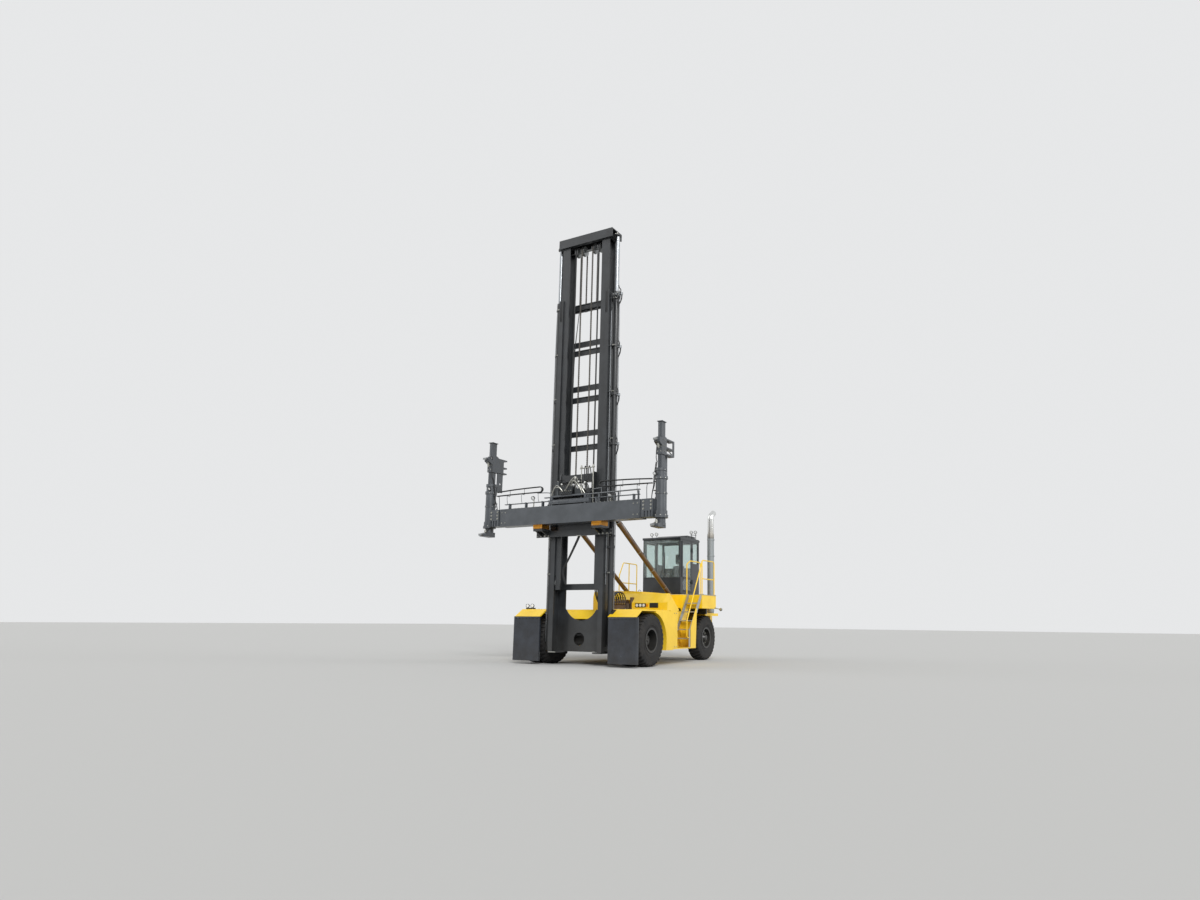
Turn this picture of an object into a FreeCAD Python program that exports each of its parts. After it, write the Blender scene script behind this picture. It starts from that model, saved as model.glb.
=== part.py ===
import FreeCAD, Part
import math
import os

os.makedirs("parts", exist_ok=True)
V = FreeCAD.Vector

# ---------------------------------------------------------------------------
# Empty-container handler: a lift truck with a two-stage mast and a side-lift
# spreader that takes two stacked containers. Millimetres. Forward is -Y, the
# machine's left is +X, the ground is Z = 0 and the drive axle stands at Y = 0
# until every piece is moved so that the whole machine is centred on Y.
# ---------------------------------------------------------------------------

# running clearances
SEAT = 0.3                 # a piece lying on, or running in, another
AIR = 15.0                 # open air between neighbours that move apart

# wheels
TYRE_R = 745.0
TYRE_W = 430.0
TYRE_EDGE = 60.0           # rounding of the tread's shoulder
RIM_R = 318.0              # bead seat
RIM_WALL = 22.0
RIM_LIP = 34.0
DUAL_GAP = 60.0            # between the twin drive tyres
DRIVE_IN_X = 1180.0        # inner face of the inner drive tyre
HUB_R = 190.0
WHEELBASE = 4820.0
STEER_X = 1335.0           # middle of a steered tyre
KINGPIN_X = 950.0
KINGPIN_R = 34.0
AXLE_TUBE_R = 180.0
DIFF_R = 290.0
PAD_X0 = 520.0             # saddles between the axle and the frame
PAD_X1 = 634.0

# frame
RAIL_X = 420.0             # outer face of the main side plates
RAIL_T = 60.0
FRAME_Z0 = 560.0
FRAME_Z1 = 2 * TYRE_R + 50.0
FRAME_Y0 = 250.0
FRAME_Y1 = 5740.0
BODY_X = 1950.0            # outer face of the side bodies
TANK_X = 525.0             # their inner face
FENDER_X = 2100.0          # outer face of the front fenders
GUARD_IN = 1185.0
GUARD_OUT = 2155.0
GUARD_Y = -TYRE_R - 205.0
GUARD_T = 14.0
GUARD_EDGE = 60.0          # rounding of the mudguards' upright edges
GUARD_Z0 = 100.0
GUARD_Z1 = FRAME_Z1 - 160.0
FENDER_Z = FRAME_Z1 + 60.0
FENDER_T = 40.0
ARCH_Y = 50.0              # centre of the fender's arch
ARCH_Z = TYRE_R - 45.0
ARCH_R = TYRE_R + 85.0
SILL_Z = 450.0
COWL_Y = ARCH_Y + ARCH_R + 20.0    # face that carries the headlights
FENDER_BACK = COWL_Y + 410.0
COWL_Z = FRAME_Z1 + 570.0
LAMP_Z = FENDER_Z + 145.0
LAMP_R = 42.0
HOOD_X = 620.0             # half width of the hinged hood
HOOD_Y0 = 1500.0
HOOD_Z = FRAME_Z1 + 660.0
HOOD_Y1 = 2950.0
HOOD_T = 25.0
HOOD_HINGE_Z = HOOD_Z - 6.0
HOOD_HINGE_X = HOOD_X + 5.0
HOOD_HINGE_Y = (1800.0, 2600.0)
APRON_X = 1055.0           # half width of the deck between the fenders
APRON_Y0 = -140.0
APRON_T = 12.0
COWL_X = 880.0
DECK_Z = FRAME_Z1 + 620.0
DECK_Y0 = 3220.0
DECK_Y1 = 4700.0
DECK_BOX = 450.0           # depth of the box under the platform
WALK_Y1 = 5990.0           # rear end of the walkway on the cab's right
TAIL_Y = 6000.0
TAIL_X = 1250.0
TAIL_Z0 = 520.0
TAIL_Z1 = FRAME_Z1 + 580.0
TOW_Z0 = 760.0             # towing jaw in the counterweight
TOW_Z1 = 900.0
TOW_W = 240.0
TOW_LIP = 60.0
TOW_INSET = 70.0
TOW_HOLE_R = 26.0

# stairs
STAIR_IN = 1450.0
STAIR_Y0 = 2690.0
STAIR_Y1 = 3600.0
STAIR_T = 14.0
STAIR_W = 110.0
STAIR_COUNT = 6

# handrails
RAIL_R = 19.0
RAIL_H = 1130.0
WALK_RAIL_H = 1235.0

# cab
CAB_X = 745.0
CAB_Y0 = 4400.0
CAB_Y1 = 5880.0
CAB_Z0 = DECK_Z + 80.0
CAB_Z1 = CAB_Z0 + 1970.0
POST = 70.0
CAB_BOW = 70.0             # how far the windscreen bows out
GLASS_T = 8.0
ROOF_T = 90.0
DOOR_HINGE_X = CAB_X + 22.0
DOOR_HINGE_Y = CAB_Y0 + 900.0 - 4.0
DOOR_HINGE_Z = (CAB_Z0 + 420.0, CAB_Z1 - 420.0)
SILL_H = 560.0             # top of the dark lower panels above the cab floor
SIDE_SILL = 1080.0         # top of the side panels above the cab floor

# exhaust
STACK_X = 1450.0
STACK_Y = 5370.0
STACK_R = 118.0
PIPE_R = 104.0

# mast: rails seen from above
MAST_OUT = 930.0           # outer face of the outer rails
MAST_FRONT = -840.0
MAST_BACK = -400.0
OUTER_FLANGE = 150.0
OUTER_T = 36.0
OUTER_Z0 = 380.0
OUTER_Z1 = 11230.0
INNER_IN = 600.0           # inner edge of the inner rails' flanges
INNER_OUT = 880.0
INNER_T = 34.0
INNER_GAP = 8.0            # between the nested rails
INNER_WEB = 745.0
INNER_Z0 = 2160.0
BEAM_X = 1000.0
BEAM_H = 280.0
ROD_CAP_X = 1165.0         # end of the caps over the lift rods
LIFT_X = 1065.0            # lift cylinders
LIFT_Y = -620.0
LIFT_R = 82.0
LIFT_ROD_R = 62.0
LIFT_UP = 6200.0           # travel of the inner mast from where it stands
LIFT_DOWN = 1750.0
INNER_Z1 = OUTER_Z1 + LIFT_DOWN + 30.0
BEAM_Z1 = INNER_Z1 + BEAM_H
CLAMP_STEP = 1530.0        # clamps that hold the lift cylinders
TIE_H = 170.0
TIE_STEP = 1530.0
TIE_Z = 4845.0             # lowest tie of the inner mast above its foot beam
OUT_TIE_Z = 3950.0         # lowest rear tie of the outer mast
OUT_TIE_STEP = 1450.0
TIE_T = 60.0
WHEEL_Z = -130.0           # chain wheels' shaft from the inner rails' top
WHEEL_Y = -568.0
CHAIN_R = 145.0            # chain's run on its wheel
CHAIN_X = 200.0
HOSE_X = 430.0
CHAIN_W = 52.0
CHAIN_T = 20.0
NOTCH_H = 430.0            # flanges cut away for the inner mast's foot rollers
PIVOT_Y = -300.0
PIVOT_Z = 600.0
PIVOT_R = 100.0
PIVOT_PIN_R = 48.0
PIVOT_X0 = 700.0
PIVOT_X1 = 860.0
BASE_Z1 = 2120.0           # top of the base plate's corners
BASE_MID_Z = 1590.0
BASE_ARC_R = 603.0
BASE_ARC_X = -60.0
BASE_HOLE_X = -110.0
BASE_HOLE_R = 185.0
BASE_T = 30.0

# tilt cylinders
TILT_X = 780.0
TILT_EYE_Y = -280.0
TILT_EYE_Z = 4470.0
TILT_LUG_Y = 4270.0
TILT_LUG_Z = FRAME_Z1 + 180.0
TILT_R = 72.0
TILT_ROD_R = 46.0
TILT_PIN_R = 30.0
TILT_EYE_R = 78.0
TILT_EYE_W = 84.0
TILT_PLAY = 12.0           # the rod eye's free bore round its pin
TILT_OPEN = 520.0          # barrel head to the rod eye, at rest
LUG_T = 28.0

# carriage
PLATE_X = 588.0            # outer face of the carriage's side plates
PLATE_T = 32.0
ROLLER_X0 = 604.0
ROLLER_W = 104.0
ROLLER_PIN_R = 36.0
ROLLER_Z0 = 4350.0
ROLLER_Z1 = 5450.0
CARR_Z0 = 3700.0
CARR_Z1 = 5600.0
CARR_FRONT = -1030.0
CHAIN_FOOT_Z = 5460.0      # top of the carriage's chain anchor beam
CARR_BACK = -560.0
CROSS_X = 1340.0
CROSS_H = 185.0
CROSS_T = 45.0
PAD_X = 1030.0
PAD_W = 330.0

# spreader
SP_X = 2460.0
SP_FRONT = -1420.0
SP_BACK = -1045.0
SP_Z0 = 4050.0
SP_Z1 = 4580.0
SP_WALL = 16.0
ARM_GAP = 6.0              # beam inside its cell
ARM_WALL = 14.0
ARM_END = 2850.0
BLOCK_X0 = 2505.0
COL_X = 3015.0
COL_R = 155.0              # round column of each arm
COL_Y = -1230.0
COL_Z0 = 4050.0
COL_Z1 = 5170.0
COLLAR_Z1 = 5420.0
POST_W = 120.0
POST_D = 200.0
POST_Z1 = 6730.0
FOOT_Z0 = 3770.0
FOOT_T = 85.0
FOOT_REACH = 450.0         # from the column's axis to the lock's tip
LOCK_OUT = 120.0
HEAD_Z0 = 5800.0
HEAD_Z1 = 6300.0
HEAD_GAP = 6.0
LOCK_R = 32.0

# sizes that follow from the ones above
RAIL_Y0 = MAST_FRONT + OUTER_T + INNER_GAP       # inner rail's front face
RAIL_Y1 = MAST_BACK - OUTER_T - INNER_GAP        # inner rail's rear face
ROLLER_Y = (RAIL_Y0 + RAIL_Y1) / 2
ROLLER_R = (RAIL_Y1 - RAIL_Y0) / 2 - INNER_T - SEAT
FOOT_ROLLER_R = (MAST_BACK - MAST_FRONT) / 2 - OUTER_T - SEAT
POCKET_X0 = INNER_WEB + INNER_T / 2
LUG_IN = TILT_X - TILT_EYE_W / 2 - 5 - LUG_T
LUG_OUT = TILT_X + TILT_EYE_W / 2 + 5

# whole machine centred on Y
FRONT_Y = COL_Y - FOOT_REACH
REAR_Y = TAIL_Y
MID_Y = (FRONT_Y + REAR_Y) / 2


# --- drawing helpers --------------------------------------------------------
def box(x0, x1, y0, y1, z0, z1):
    lo = V(min(x0, x1), min(y0, y1), min(z0, z1))
    return Part.makeBox(abs(x1 - x0), abs(y1 - y0), abs(z1 - z0), lo)


def rod(p, q, r, inner=0.0):
    p = V(*p)
    q = V(*q)
    d = q - p
    body = Part.makeCylinder(r, d.Length, p, d)
    if inner:
        body = body.cut(Part.makeCylinder(inner, d.Length, p, d))
    return body


def face(points):
    loop = [V(*p) for p in points]
    return Part.Face(Part.makePolygon(loop + [loop[0]]))


def prism_x(yz, x0, x1):
    return face([(x0, y, z) for y, z in yz]).extrude(V(x1 - x0, 0, 0))


def prism_y(xz, y0, y1):
    return face([(x, y0, z) for x, z in xz]).extrude(V(0, y1 - y0, 0))


def prism_z(xy, z0, z1):
    return face([(x, y, z0) for x, y in xy]).extrude(V(0, 0, z1 - z0))


def turned(profile, centre, axis):
    # profile: (distance along the axis, radius) pairs
    c = V(*centre)
    if axis == "x":
        pts = [V(c.x + a, c.y, c.z + r) for a, r in profile]
        way = V(1, 0, 0)
    elif axis == "y":
        pts = [V(c.x, c.y + a, c.z + r) for a, r in profile]
        way = V(0, 1, 0)
    else:
        pts = [V(c.x + r, c.y, c.z + a) for a, r in profile]
        way = V(0, 0, 1)
    return Part.Face(Part.makePolygon(pts + [pts[0]])).revolve(c, way, 360)


def fuse(*shapes):
    out = shapes[0]
    for s in shapes[1:]:
        out = out.fuse(s)
    return out.removeSplitter()


def cut(body, *tools):
    for t in tools:
        body = body.cut(t)
    return body


def flip(shape):
    return shape.mirror(V(0, 0, 0), V(1, 0, 0))


def side(shape, s):
    return shape if s > 0 else flip(shape)


def pipe(points, r, bend):
    # round bar through the points with rounded corners
    pts = [V(*p) for p in points]
    edges = []
    last = pts[0]
    for i in range(1, len(pts) - 1):
        a = (pts[i - 1] - pts[i])
        b = (pts[i + 1] - pts[i])
        a.normalize()
        b.normalize()
        half = a.getAngle(b) / 2
        back = bend / math.tan(half)
        s = pts[i] + a * back
        e = pts[i] + b * back
        mid = a + b
        mid.normalize()
        m = pts[i] + mid * (bend / math.sin(half) - bend)
        edges.append(Part.makeLine(last, s))
        edges.append(Part.Arc(s, m, e).toShape())
        last = e
    edges.append(Part.makeLine(last, pts[-1]))
    path = Part.Wire(edges)
    way = pts[1] - pts[0]
    ring = Part.Wire(Part.makeCircle(r, pts[0], way))
    return path.makePipeShell([ring], True, False)


def save(name, *shapes):
    solids = []
    for s in shapes:
        solids += s.Solids
    whole = Part.makeCompound(solids) if len(solids) > 1 else solids[0]
    whole.translate(V(0, -MID_Y, 0))
    whole.exportStep("parts/" + name + ".step")


# --- wheels -----------------------------------------------------------------
def tyre(x, y):
    w = TYRE_W / 2
    e = TYRE_EDGE
    r = TYRE_R
    b = RIM_R
    lip = b + RIM_LIP + 6
    prof = [(-w * 0.80, b), (-w * 0.80, lip), (-w * 0.97, b + 110), (-w, r - 150)]
    prof += [(-w + e * 0.35, r - e * 0.55), (-w + e * 1.3, r)]
    prof += [(w - e * 1.3, r), (w - e * 0.35, r - e * 0.55)]
    prof += [(w, r - 150), (w * 0.97, b + 110), (w * 0.80, lip), (w * 0.80, b)]
    return turned(prof, (x, y, TYRE_R), "x")


def rim(x, y, disc_x, disc_in):
    # rolled barrel with lips, and the disc that bolts to the hub
    w = TYRE_W / 2 * 0.80
    o = RIM_R - SEAT
    i = o - RIM_WALL
    lip = o + RIM_LIP
    prof = [(-w - 26, i), (-w - 26, lip), (-w - SEAT, lip), (-w - SEAT, o)]
    prof += [(w + SEAT, o), (w + SEAT, lip), (w + 26, lip), (w + 26, i)]
    barrel = turned(prof, (x, y, TYRE_R), "x")
    d = disc_x - x
    plate = turned([(d - 11, disc_in), (d - 11, i + 4), (d + 11, i + 4), (d + 11, disc_in)],
                   (x, y, TYRE_R), "x")
    out = barrel.fuse(plate)
    for k in range(8):
        a = math.radians(22.5 + 45 * k)
        hy = y + 250 * math.cos(a)
        hz = TYRE_R + 250 * math.sin(a)
        out = out.cut(rod((disc_x - 20, hy, hz), (disc_x + 20, hy, hz), 26))
    return out


def drive_wheels(s):
    x_in = DRIVE_IN_X + TYRE_W / 2
    x_out = x_in + TYRE_W + DUAL_GAP
    dish = TYRE_W / 2 * 0.80
    tag = "left" if s > 0 else "right"
    save("drive_tyres_" + tag, side(tyre(x_in, 0), s), side(tyre(x_out, 0), s))
    rims = fuse(rim(x_in, 0, x_in + dish, HUB_R - 5), rim(x_out, 0, x_out - dish, HUB_R - 5))
    x0 = DRIVE_IN_X - 20
    hub = [(0, 0), (0, 215), (110, 215), (130, HUB_R), (590, HUB_R)]
    hub += [(700, 165), (770, 150), (790, 120), (790, 60), (810, 50), (810, 0)]
    hub = turned(hub, (x0, 0, TYRE_R), "x")
    save("drive_rims_" + tag, side(rims.fuse(hub), s))


def steer_wheel(s):
    tag = "left" if s > 0 else "right"
    save("steer_tyre_" + tag, side(tyre(STEER_X, WHEELBASE), s))
    disc = STEER_X + 60
    r = rim(STEER_X, WHEELBASE, disc, 130)
    x0 = KINGPIN_X + 190
    hub = [(0, 62), (0, 150), (disc - x0 - 11, 150), (disc - x0 + 30, 140)]
    hub += [(disc - x0 + 90, 105), (disc - x0 + 130, 85), (disc - x0 + 140, 60)]
    hub += [(disc - x0 + 140, 0), (disc - x0 + 120, 0), (disc - x0 + 120, 62)]
    hub = turned(hub, (x0, WHEELBASE, TYRE_R), "x")
    save("steer_rim_" + tag, side(r.fuse(hub), s))


def knuckle(s):
    tag = "left" if s > 0 else "right"
    k = KINGPIN_X
    y = WHEELBASE
    z = TYRE_R
    barrel = rod((k, y, z - 150), (k, y, z + 150), 78)
    stub = rod((k + 40, y, z), (k + 190 - SEAT, y, z), 120)
    spindle = rod((k + 150, y, z), (STEER_X + 160, y, z), 62 - SEAT)
    arm = box(k - 40, k + 40, y - 250, y, z - 35, z + 35)
    body = fuse(barrel, stub, spindle, arm)
    body = body.cut(rod((k, y, z - 160), (k, y, z + 160), KINGPIN_R + SEAT))
    save("steer_knuckle_" + tag, side(body, s))


# --- axles ------------------------------------------------------------------
def drive_axle():
    z = TYRE_R
    end = DRIVE_IN_X - 20 - SEAT
    tube = rod((-end, 0, z), (end, 0, z), AXLE_TUBE_R)
    bowl = turned([(-230, 0), (-210, 170), (-120, 262), (0, DIFF_R), (120, 262), (210, 170),
                   (230, 0)], (0, 60, z), "y")
    nose = turned([(180, 0), (180, 210), (330, 150), (420, 95), (470, 95), (470, 0)],
                  (0, 0, z), "y")
    brakes = []
    for s in (1, -1):
        brakes.append(side(turned([(-190, 0), (-190, 235), (-20, 262), (0, 262), (0, 0)],
                                  (end, 0, z), "x"), s))
    pads = []
    for s in (1, -1):
        pads.append(side(box(PAD_X0, PAD_X1, -60, 170, z + 90, z + 235), s))
    save("drive_axle", fuse(tube, bowl, nose, *brakes, *pads))


def steer_axle():
    z = TYRE_R
    y = WHEELBASE
    k = KINGPIN_X
    e = k - 90
    prof = [(-e, z - 150), (-e, z + 150), (-560, z + 170), (-300, z + 190), (300, z + 190), (560, z + 170),
            (e, z + 150), (e, z - 150), (560, z - 170), (-560, z - 170)]
    beam = prism_y(prof, y - 150, y + 150)
    hollow = box(-k, k, y - 260, y + 118, z - 110, z + 110)
    beam = beam.cut(hollow)
    out = [beam]
    for s in (1, -1):
        ear_hi = rod((k, y, z + 155), (k, y, z + 205), 95)
        ear_hi = ear_hi.fuse(box(k - 160, k, y - 95, y + 95, z + 155, z + 190))
        ear_lo = rod((k, y, z - 205), (k, y, z - 155), 95)
        ear_lo = ear_lo.fuse(box(k - 160, k, y - 95, y + 95, z - 190, z - 155))
        out.append(side(ear_hi, s))
        out.append(side(ear_lo, s))
        out.append(side(box(k - 200, k - 90, y - 95, y + 95, z + 120, z + 190), s))
        out.append(side(box(k - 200, k - 90, y - 95, y + 95, z - 190, z - 120), s))
        out.append(side(rod((k, y, z - 200), (k, y, z + 200), KINGPIN_R), s))
    trunnion = rod((0, y - 330, z + 100), (0, y + 330, z + 100), 80)
    save("steer_axle", fuse(*out, trunnion))


# --- frame ------------------------------------------------------------------
def main_frame():
    z0 = FRAME_Z0
    z1 = FRAME_Z1
    wb = WHEELBASE
    prof = [(FRAME_Y0, z0), (wb - 700, z0), (wb - 520, TYRE_R + 330), (wb + 520, TYRE_R + 330),
            (wb + 620, z0 + 120), (FRAME_Y1, z0 + 120), (FRAME_Y1, z1), (FRAME_Y0, z1)]
    parts = []
    for s in (1, -1):
        parts.append(side(prism_x(prof, RAIL_X - RAIL_T, RAIL_X), s))
    # cross members between the side plates
    for y0, y1, a, b in ((700, 760, z0, 650), (3450, 3510, z0, z1), (wb - 760, wb - 720, z0, z1)):
        parts.append(box(-RAIL_X, RAIL_X, y0, y1, a, b))
    parts.append(box(-RAIL_X, RAIL_X, FRAME_Y1 - 60, FRAME_Y1, z0 + 120, z1))
    # trunnion hangers of the steer axle
    for y in (wb - 330, wb + 250):
        hang = box(-RAIL_X, RAIL_X, y, y + 80, TYRE_R + 200, z1)
        hang = hang.fuse(rod((0, y, TYRE_R + 100), (0, y + 80, TYRE_R + 100), 150))
        hang = hang.fuse(box(-150, 150, y, y + 80, TYRE_R + 100, TYRE_R + 260))
        hang = hang.cut(rod((0, y - 5, TYRE_R + 100), (0, y + 85, TYRE_R + 100), 80 + SEAT))
        parts.append(hang)
    # torsion box above the drive axle
    parts.append(box(-1120, 1120, 220, 480, TYRE_R + 240, z1 - 40))
    saddle = [(-60, TYRE_R + 235), (170, TYRE_R + 235), (480, TYRE_R + 240), (480, z1 - 40), (60, z1 - 40)]
    for s in (1, -1):
        parts.append(side(prism_x(saddle, PAD_X0, PAD_X1), s))
    # mast brackets: a pair of cheek plates each side
    cheek = [(PIVOT_Y, PIVOT_Z - 85), (-215, 470), (-150, 430), (260, 430), (480, 700),
             (480, z1 - 40), (120, z1 - 40), (-120, z1 - 360), (-200, 900), (PIVOT_Y, PIVOT_Z + 85)]
    for s in (1, -1):
        for x0, x1 in ((PIVOT_X0 - AIR - 45, PIVOT_X0 - AIR), (PIVOT_X1 + AIR, PIVOT_X1 + AIR + 45)):
            p = prism_x(cheek, x0, x1)
            p = p.fuse(rod((x0, PIVOT_Y, PIVOT_Z), (x1, PIVOT_Y, PIVOT_Z), 85))
            p = p.cut(rod((x0 - 1, 0, TYRE_R), (x1 + 1, 0, TYRE_R), AXLE_TUBE_R + SEAT))
            p = p.cut(rod((x0 - 1, PIVOT_Y, PIVOT_Z), (x1 + 1, PIVOT_Y, PIVOT_Z), PIVOT_PIN_R + SEAT))
            parts.append(side(p, s))
    # pillars and lugs that take the tilt cylinders
    lug = [(TILT_LUG_Y + 60, FRAME_Z1 - 40), (TILT_LUG_Y + 95, TILT_LUG_Z),
           (TILT_LUG_Y + 50, TILT_LUG_Z + 85), (TILT_LUG_Y - 60, TILT_LUG_Z + 85),
           (TILT_LUG_Y - 105, TILT_LUG_Z), (TILT_LUG_Y - 330, FRAME_Z1 - 40)]
    for s in (1, -1):
        for x0 in (LUG_IN, LUG_OUT):
            p = prism_x(lug, x0, x0 + LUG_T)
            p = p.cut(rod((x0 - 1, TILT_LUG_Y, TILT_LUG_Z), (x0 + LUG_T + 1, TILT_LUG_Y, TILT_LUG_Z),
                          TILT_PIN_R + SEAT))
            parts.append(side(p, s))
        shelf = box(RAIL_X - 5, LUG_OUT + LUG_T, TILT_LUG_Y - 490, TILT_LUG_Y + 60, FRAME_Z1 - 40, FRAME_Z1)
        knee = prism_y([(RAIL_X - 5, FRAME_Z1 - 420), (LUG_OUT, FRAME_Z1 - 40), (LUG_OUT, FRAME_Z1 - 30),
                        (RAIL_X - 5, FRAME_Z1 - 30)], TILT_LUG_Y - 490, TILT_LUG_Y - 450)
        parts.append(side(shelf, s))
        parts.append(side(knee, s))
    # outriggers that carry the side bodies
    for y0, y1 in ((1500, 1560), (2900, 2960)):
        for s in (1, -1):
            parts.append(side(box(RAIL_X - 5, TANK_X - SEAT, y0, y1, FRAME_Z0 + 40, FRAME_Z1 - 40), s))
    # brackets under the fenders and beams under the platforms
    for s in (1, -1):
        parts.append(side(box(1060, GUARD_IN + 300, 20, 190, 2 * TYRE_R + 10, FENDER_Z - FENDER_T - SEAT), s))
        parts.append(side(box(1060, 1120, 20, 260, z1 - 120, 2 * TYRE_R + 15), s))
    for y0, half in ((DECK_Y0 + 90, STAIR_IN - 50), (DECK_Y1 - 260, BODY_X - 250)):
        parts.append(box(-half, half, y0, y0 + 80, FRAME_Z1 - 5, DECK_Z - DECK_BOX - SEAT))
    save("main_frame", fuse(*parts))


def engine():
    block = box(-RAIL_X + RAIL_T + 25, RAIL_X - RAIL_T - 25, HOOD_Y0 - 30, HOOD_Y1 - 50, 720, FRAME_Z1 + 320)
    feet = []
    for y in (1500, 2600):
        for s in (1, -1):
            feet.append(side(box(RAIL_X - RAIL_T - 30, RAIL_X - RAIL_T, y, y + 160, 900, 1000), s))
    return fuse(block, *feet)


def transmission():
    shaft = rod((0, 470, TYRE_R), (0, 820, TYRE_R), 48)
    case = box(-260, 260, 820, 1350, 640, 1330)
    return fuse(case, shaft)


def hydraulics():
    # main valve with its spool sections, filter and pump lines, on the deck behind the mast
    z = FENDER_Z + SEAT
    base = box(150, 640, 930, 1180, z, z + 150)
    parts = [base]
    for k in range(6):
        x = 165 + k * 80
        parts.append(box(x, x + 62, 950, 1160, z + 145, z + 275))
        parts.append(rod((x + 31, 975, z + 270), (x + 31, 975, z + 330), 22))
        parts.append(rod((x + 31, 1120, z + 270), (x + 31, 1120, z + 310), 26))
    parts.append(box(640, 740, 960, 1150, z, z + 210))
    parts.append(rod((790, 1060, z), (790, 1060, z + 360), 62))
    parts.append(box(735, 795, 1030, 1090, z + 60, z + 130))
    return fuse(*parts)


# --- front end and bodies ---------------------------------------------------
def upright_edges(shape, ys):
    # upright edges of a shape that stand at one of the given y
    return [e for e in shape.Edges
            if abs(e.tangentAt(e.FirstParameter).z) > 0.9 and min(abs(e.Vertexes[0].Y - y) for y in ys) < 1]


def mudguards():
    # rubbered steel flaps in front of the drive tyres, their upright edges rolled back
    out = []
    t = GUARD_T
    back = GUARD_Y + GUARD_EDGE + 30
    for s in (1, -1):
        skin = box(GUARD_IN, GUARD_OUT, GUARD_Y, back, GUARD_Z0, GUARD_Z1)
        skin = skin.makeFillet(GUARD_EDGE, upright_edges(skin, [GUARD_Y]))
        room = box(GUARD_IN + t, GUARD_OUT - t, GUARD_Y + t, back + 40, GUARD_Z0 - 1, GUARD_Z1 + 1)
        room = room.makeFillet(GUARD_EDGE - t, upright_edges(room, [GUARD_Y + t]))
        out.append(side(skin.cut(room), s))
    save("mudguards", *out)


def fender(s):
    # sloped nose plate, flat top and the arch behind the twin tyres
    t = FENDER_T
    outer = [(GUARD_Y + 5, GUARD_Z1 + SEAT), (-600, FENDER_Z), (COWL_Y + 60, FENDER_Z),
             (FENDER_BACK, FENDER_Z - 60), (FENDER_BACK, SILL_Z - 10), (1130, SILL_Z - 10)]
    body = prism_x(outer + [(820, SILL_Z - 10), (820, 800), (400, 800), (-600, GUARD_Z1)],
                   GUARD_IN, FENDER_X)
    arch = rod((GUARD_IN - 1, ARCH_Y, ARCH_Z), (FENDER_X + 1, ARCH_Y, ARCH_Z), ARCH_R)
    body = body.cut(arch)
    under = prism_x([(GUARD_Y + 4, GUARD_Z1 - 45), (GUARD_Y + 4, GUARD_Z1 - 300), (200, 600),
                     (200, FENDER_Z - t), (-600 + 8, FENDER_Z - t)], GUARD_IN - 1, FENDER_X + 1)
    body = body.cut(under)
    # hollow between the arch skin and the rear wall
    core = prism_x([(300, FENDER_Z - t), (COWL_Y + 40, FENDER_Z - t), (FENDER_BACK - t, FENDER_Z - 60 - t),
                    (FENDER_BACK - t, SILL_Z - 20), (900, SILL_Z - 20), (300, 900)],
                   GUARD_IN + 20, FENDER_X - 30)
    ring = rod((GUARD_IN, ARCH_Y, ARCH_Z), (FENDER_X, ARCH_Y, ARCH_Z), ARCH_R + 30)
    body = body.cut(core.cut(ring))
    solids = sorted(body.Solids, key=lambda q: -q.Volume)
    return side(solids[0], s)


def cowl():
    # raised body over the left fender: lamp face in front, sloped down to the notch
    y0 = COWL_Y
    z0 = FENDER_Z + SEAT
    slope = 330
    knee = y0 + slope + 120
    y1 = knee + 600
    zf = COWL_Z - 285
    top = [(y0, z0), (y0, zf), (y0 + slope, COWL_Z), (knee, COWL_Z), (y1, z0 + 30), (y1, z0)]
    body = prism_x(top, COWL_X + SEAT, BODY_X)
    t = 12
    inner = [(y0 + t, z0 - 1), (y0 + t, zf - 5), (y0 + slope + 5, COWL_Z - t), (knee - 5, COWL_Z - t),
             (y1 - 25, z0 + 22), (y1 - 25, z0 - 1)]
    body = body.cut(prism_x(inner, COWL_X + t, BODY_X - t))
    wing = prism_x([(y0, z0), (y0, zf), (y0 + 30, zf + 26), (y0 + 60, zf + 26), (y0 + 60, z0)],
                   BODY_X, FENDER_X)
    body = body.fuse(wing)
    slot = box(1000, 1800, y0 - 5, y0 + 6, LAMP_Z - 65, LAMP_Z + 65)
    body = body.cut(slot)
    return body.removeSplitter()


def lamps():
    # lamps in the left cowl's face and on a bar on the right fender
    y = COWL_Y + 6 - SEAT
    out = []
    tray = box(1003, 1797, y - 26, y, LAMP_Z - 62, LAMP_Z + 62)
    for x in (1075, 1180, 1285):
        tray = tray.cut(rod((x, y - 30, LAMP_Z), (x, y - 12, LAMP_Z), LAMP_R))
        out.append(rod((x, y - 34, LAMP_Z), (x, y - 12 - SEAT, LAMP_Z), LAMP_R - SEAT))
    out.append(tray)
    y = -540
    z = FENDER_Z + 88
    bar = box(-2020, -1440, y, y + 60, FENDER_Z + SEAT, FENDER_Z + 40)
    for x in (-1945, -1763, -1585):
        bar = bar.fuse(rod((x, y - 20, z), (x, y + 50, z), LAMP_R + 14))
        bar = bar.cut(rod((x, y - 21, z), (x, y - 2, z), LAMP_R))
        out.append(rod((x, y - 26, z), (x, y - 2 - SEAT, z), LAMP_R - SEAT))
    out.append(bar)
    save("front_lamps", *out)


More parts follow.
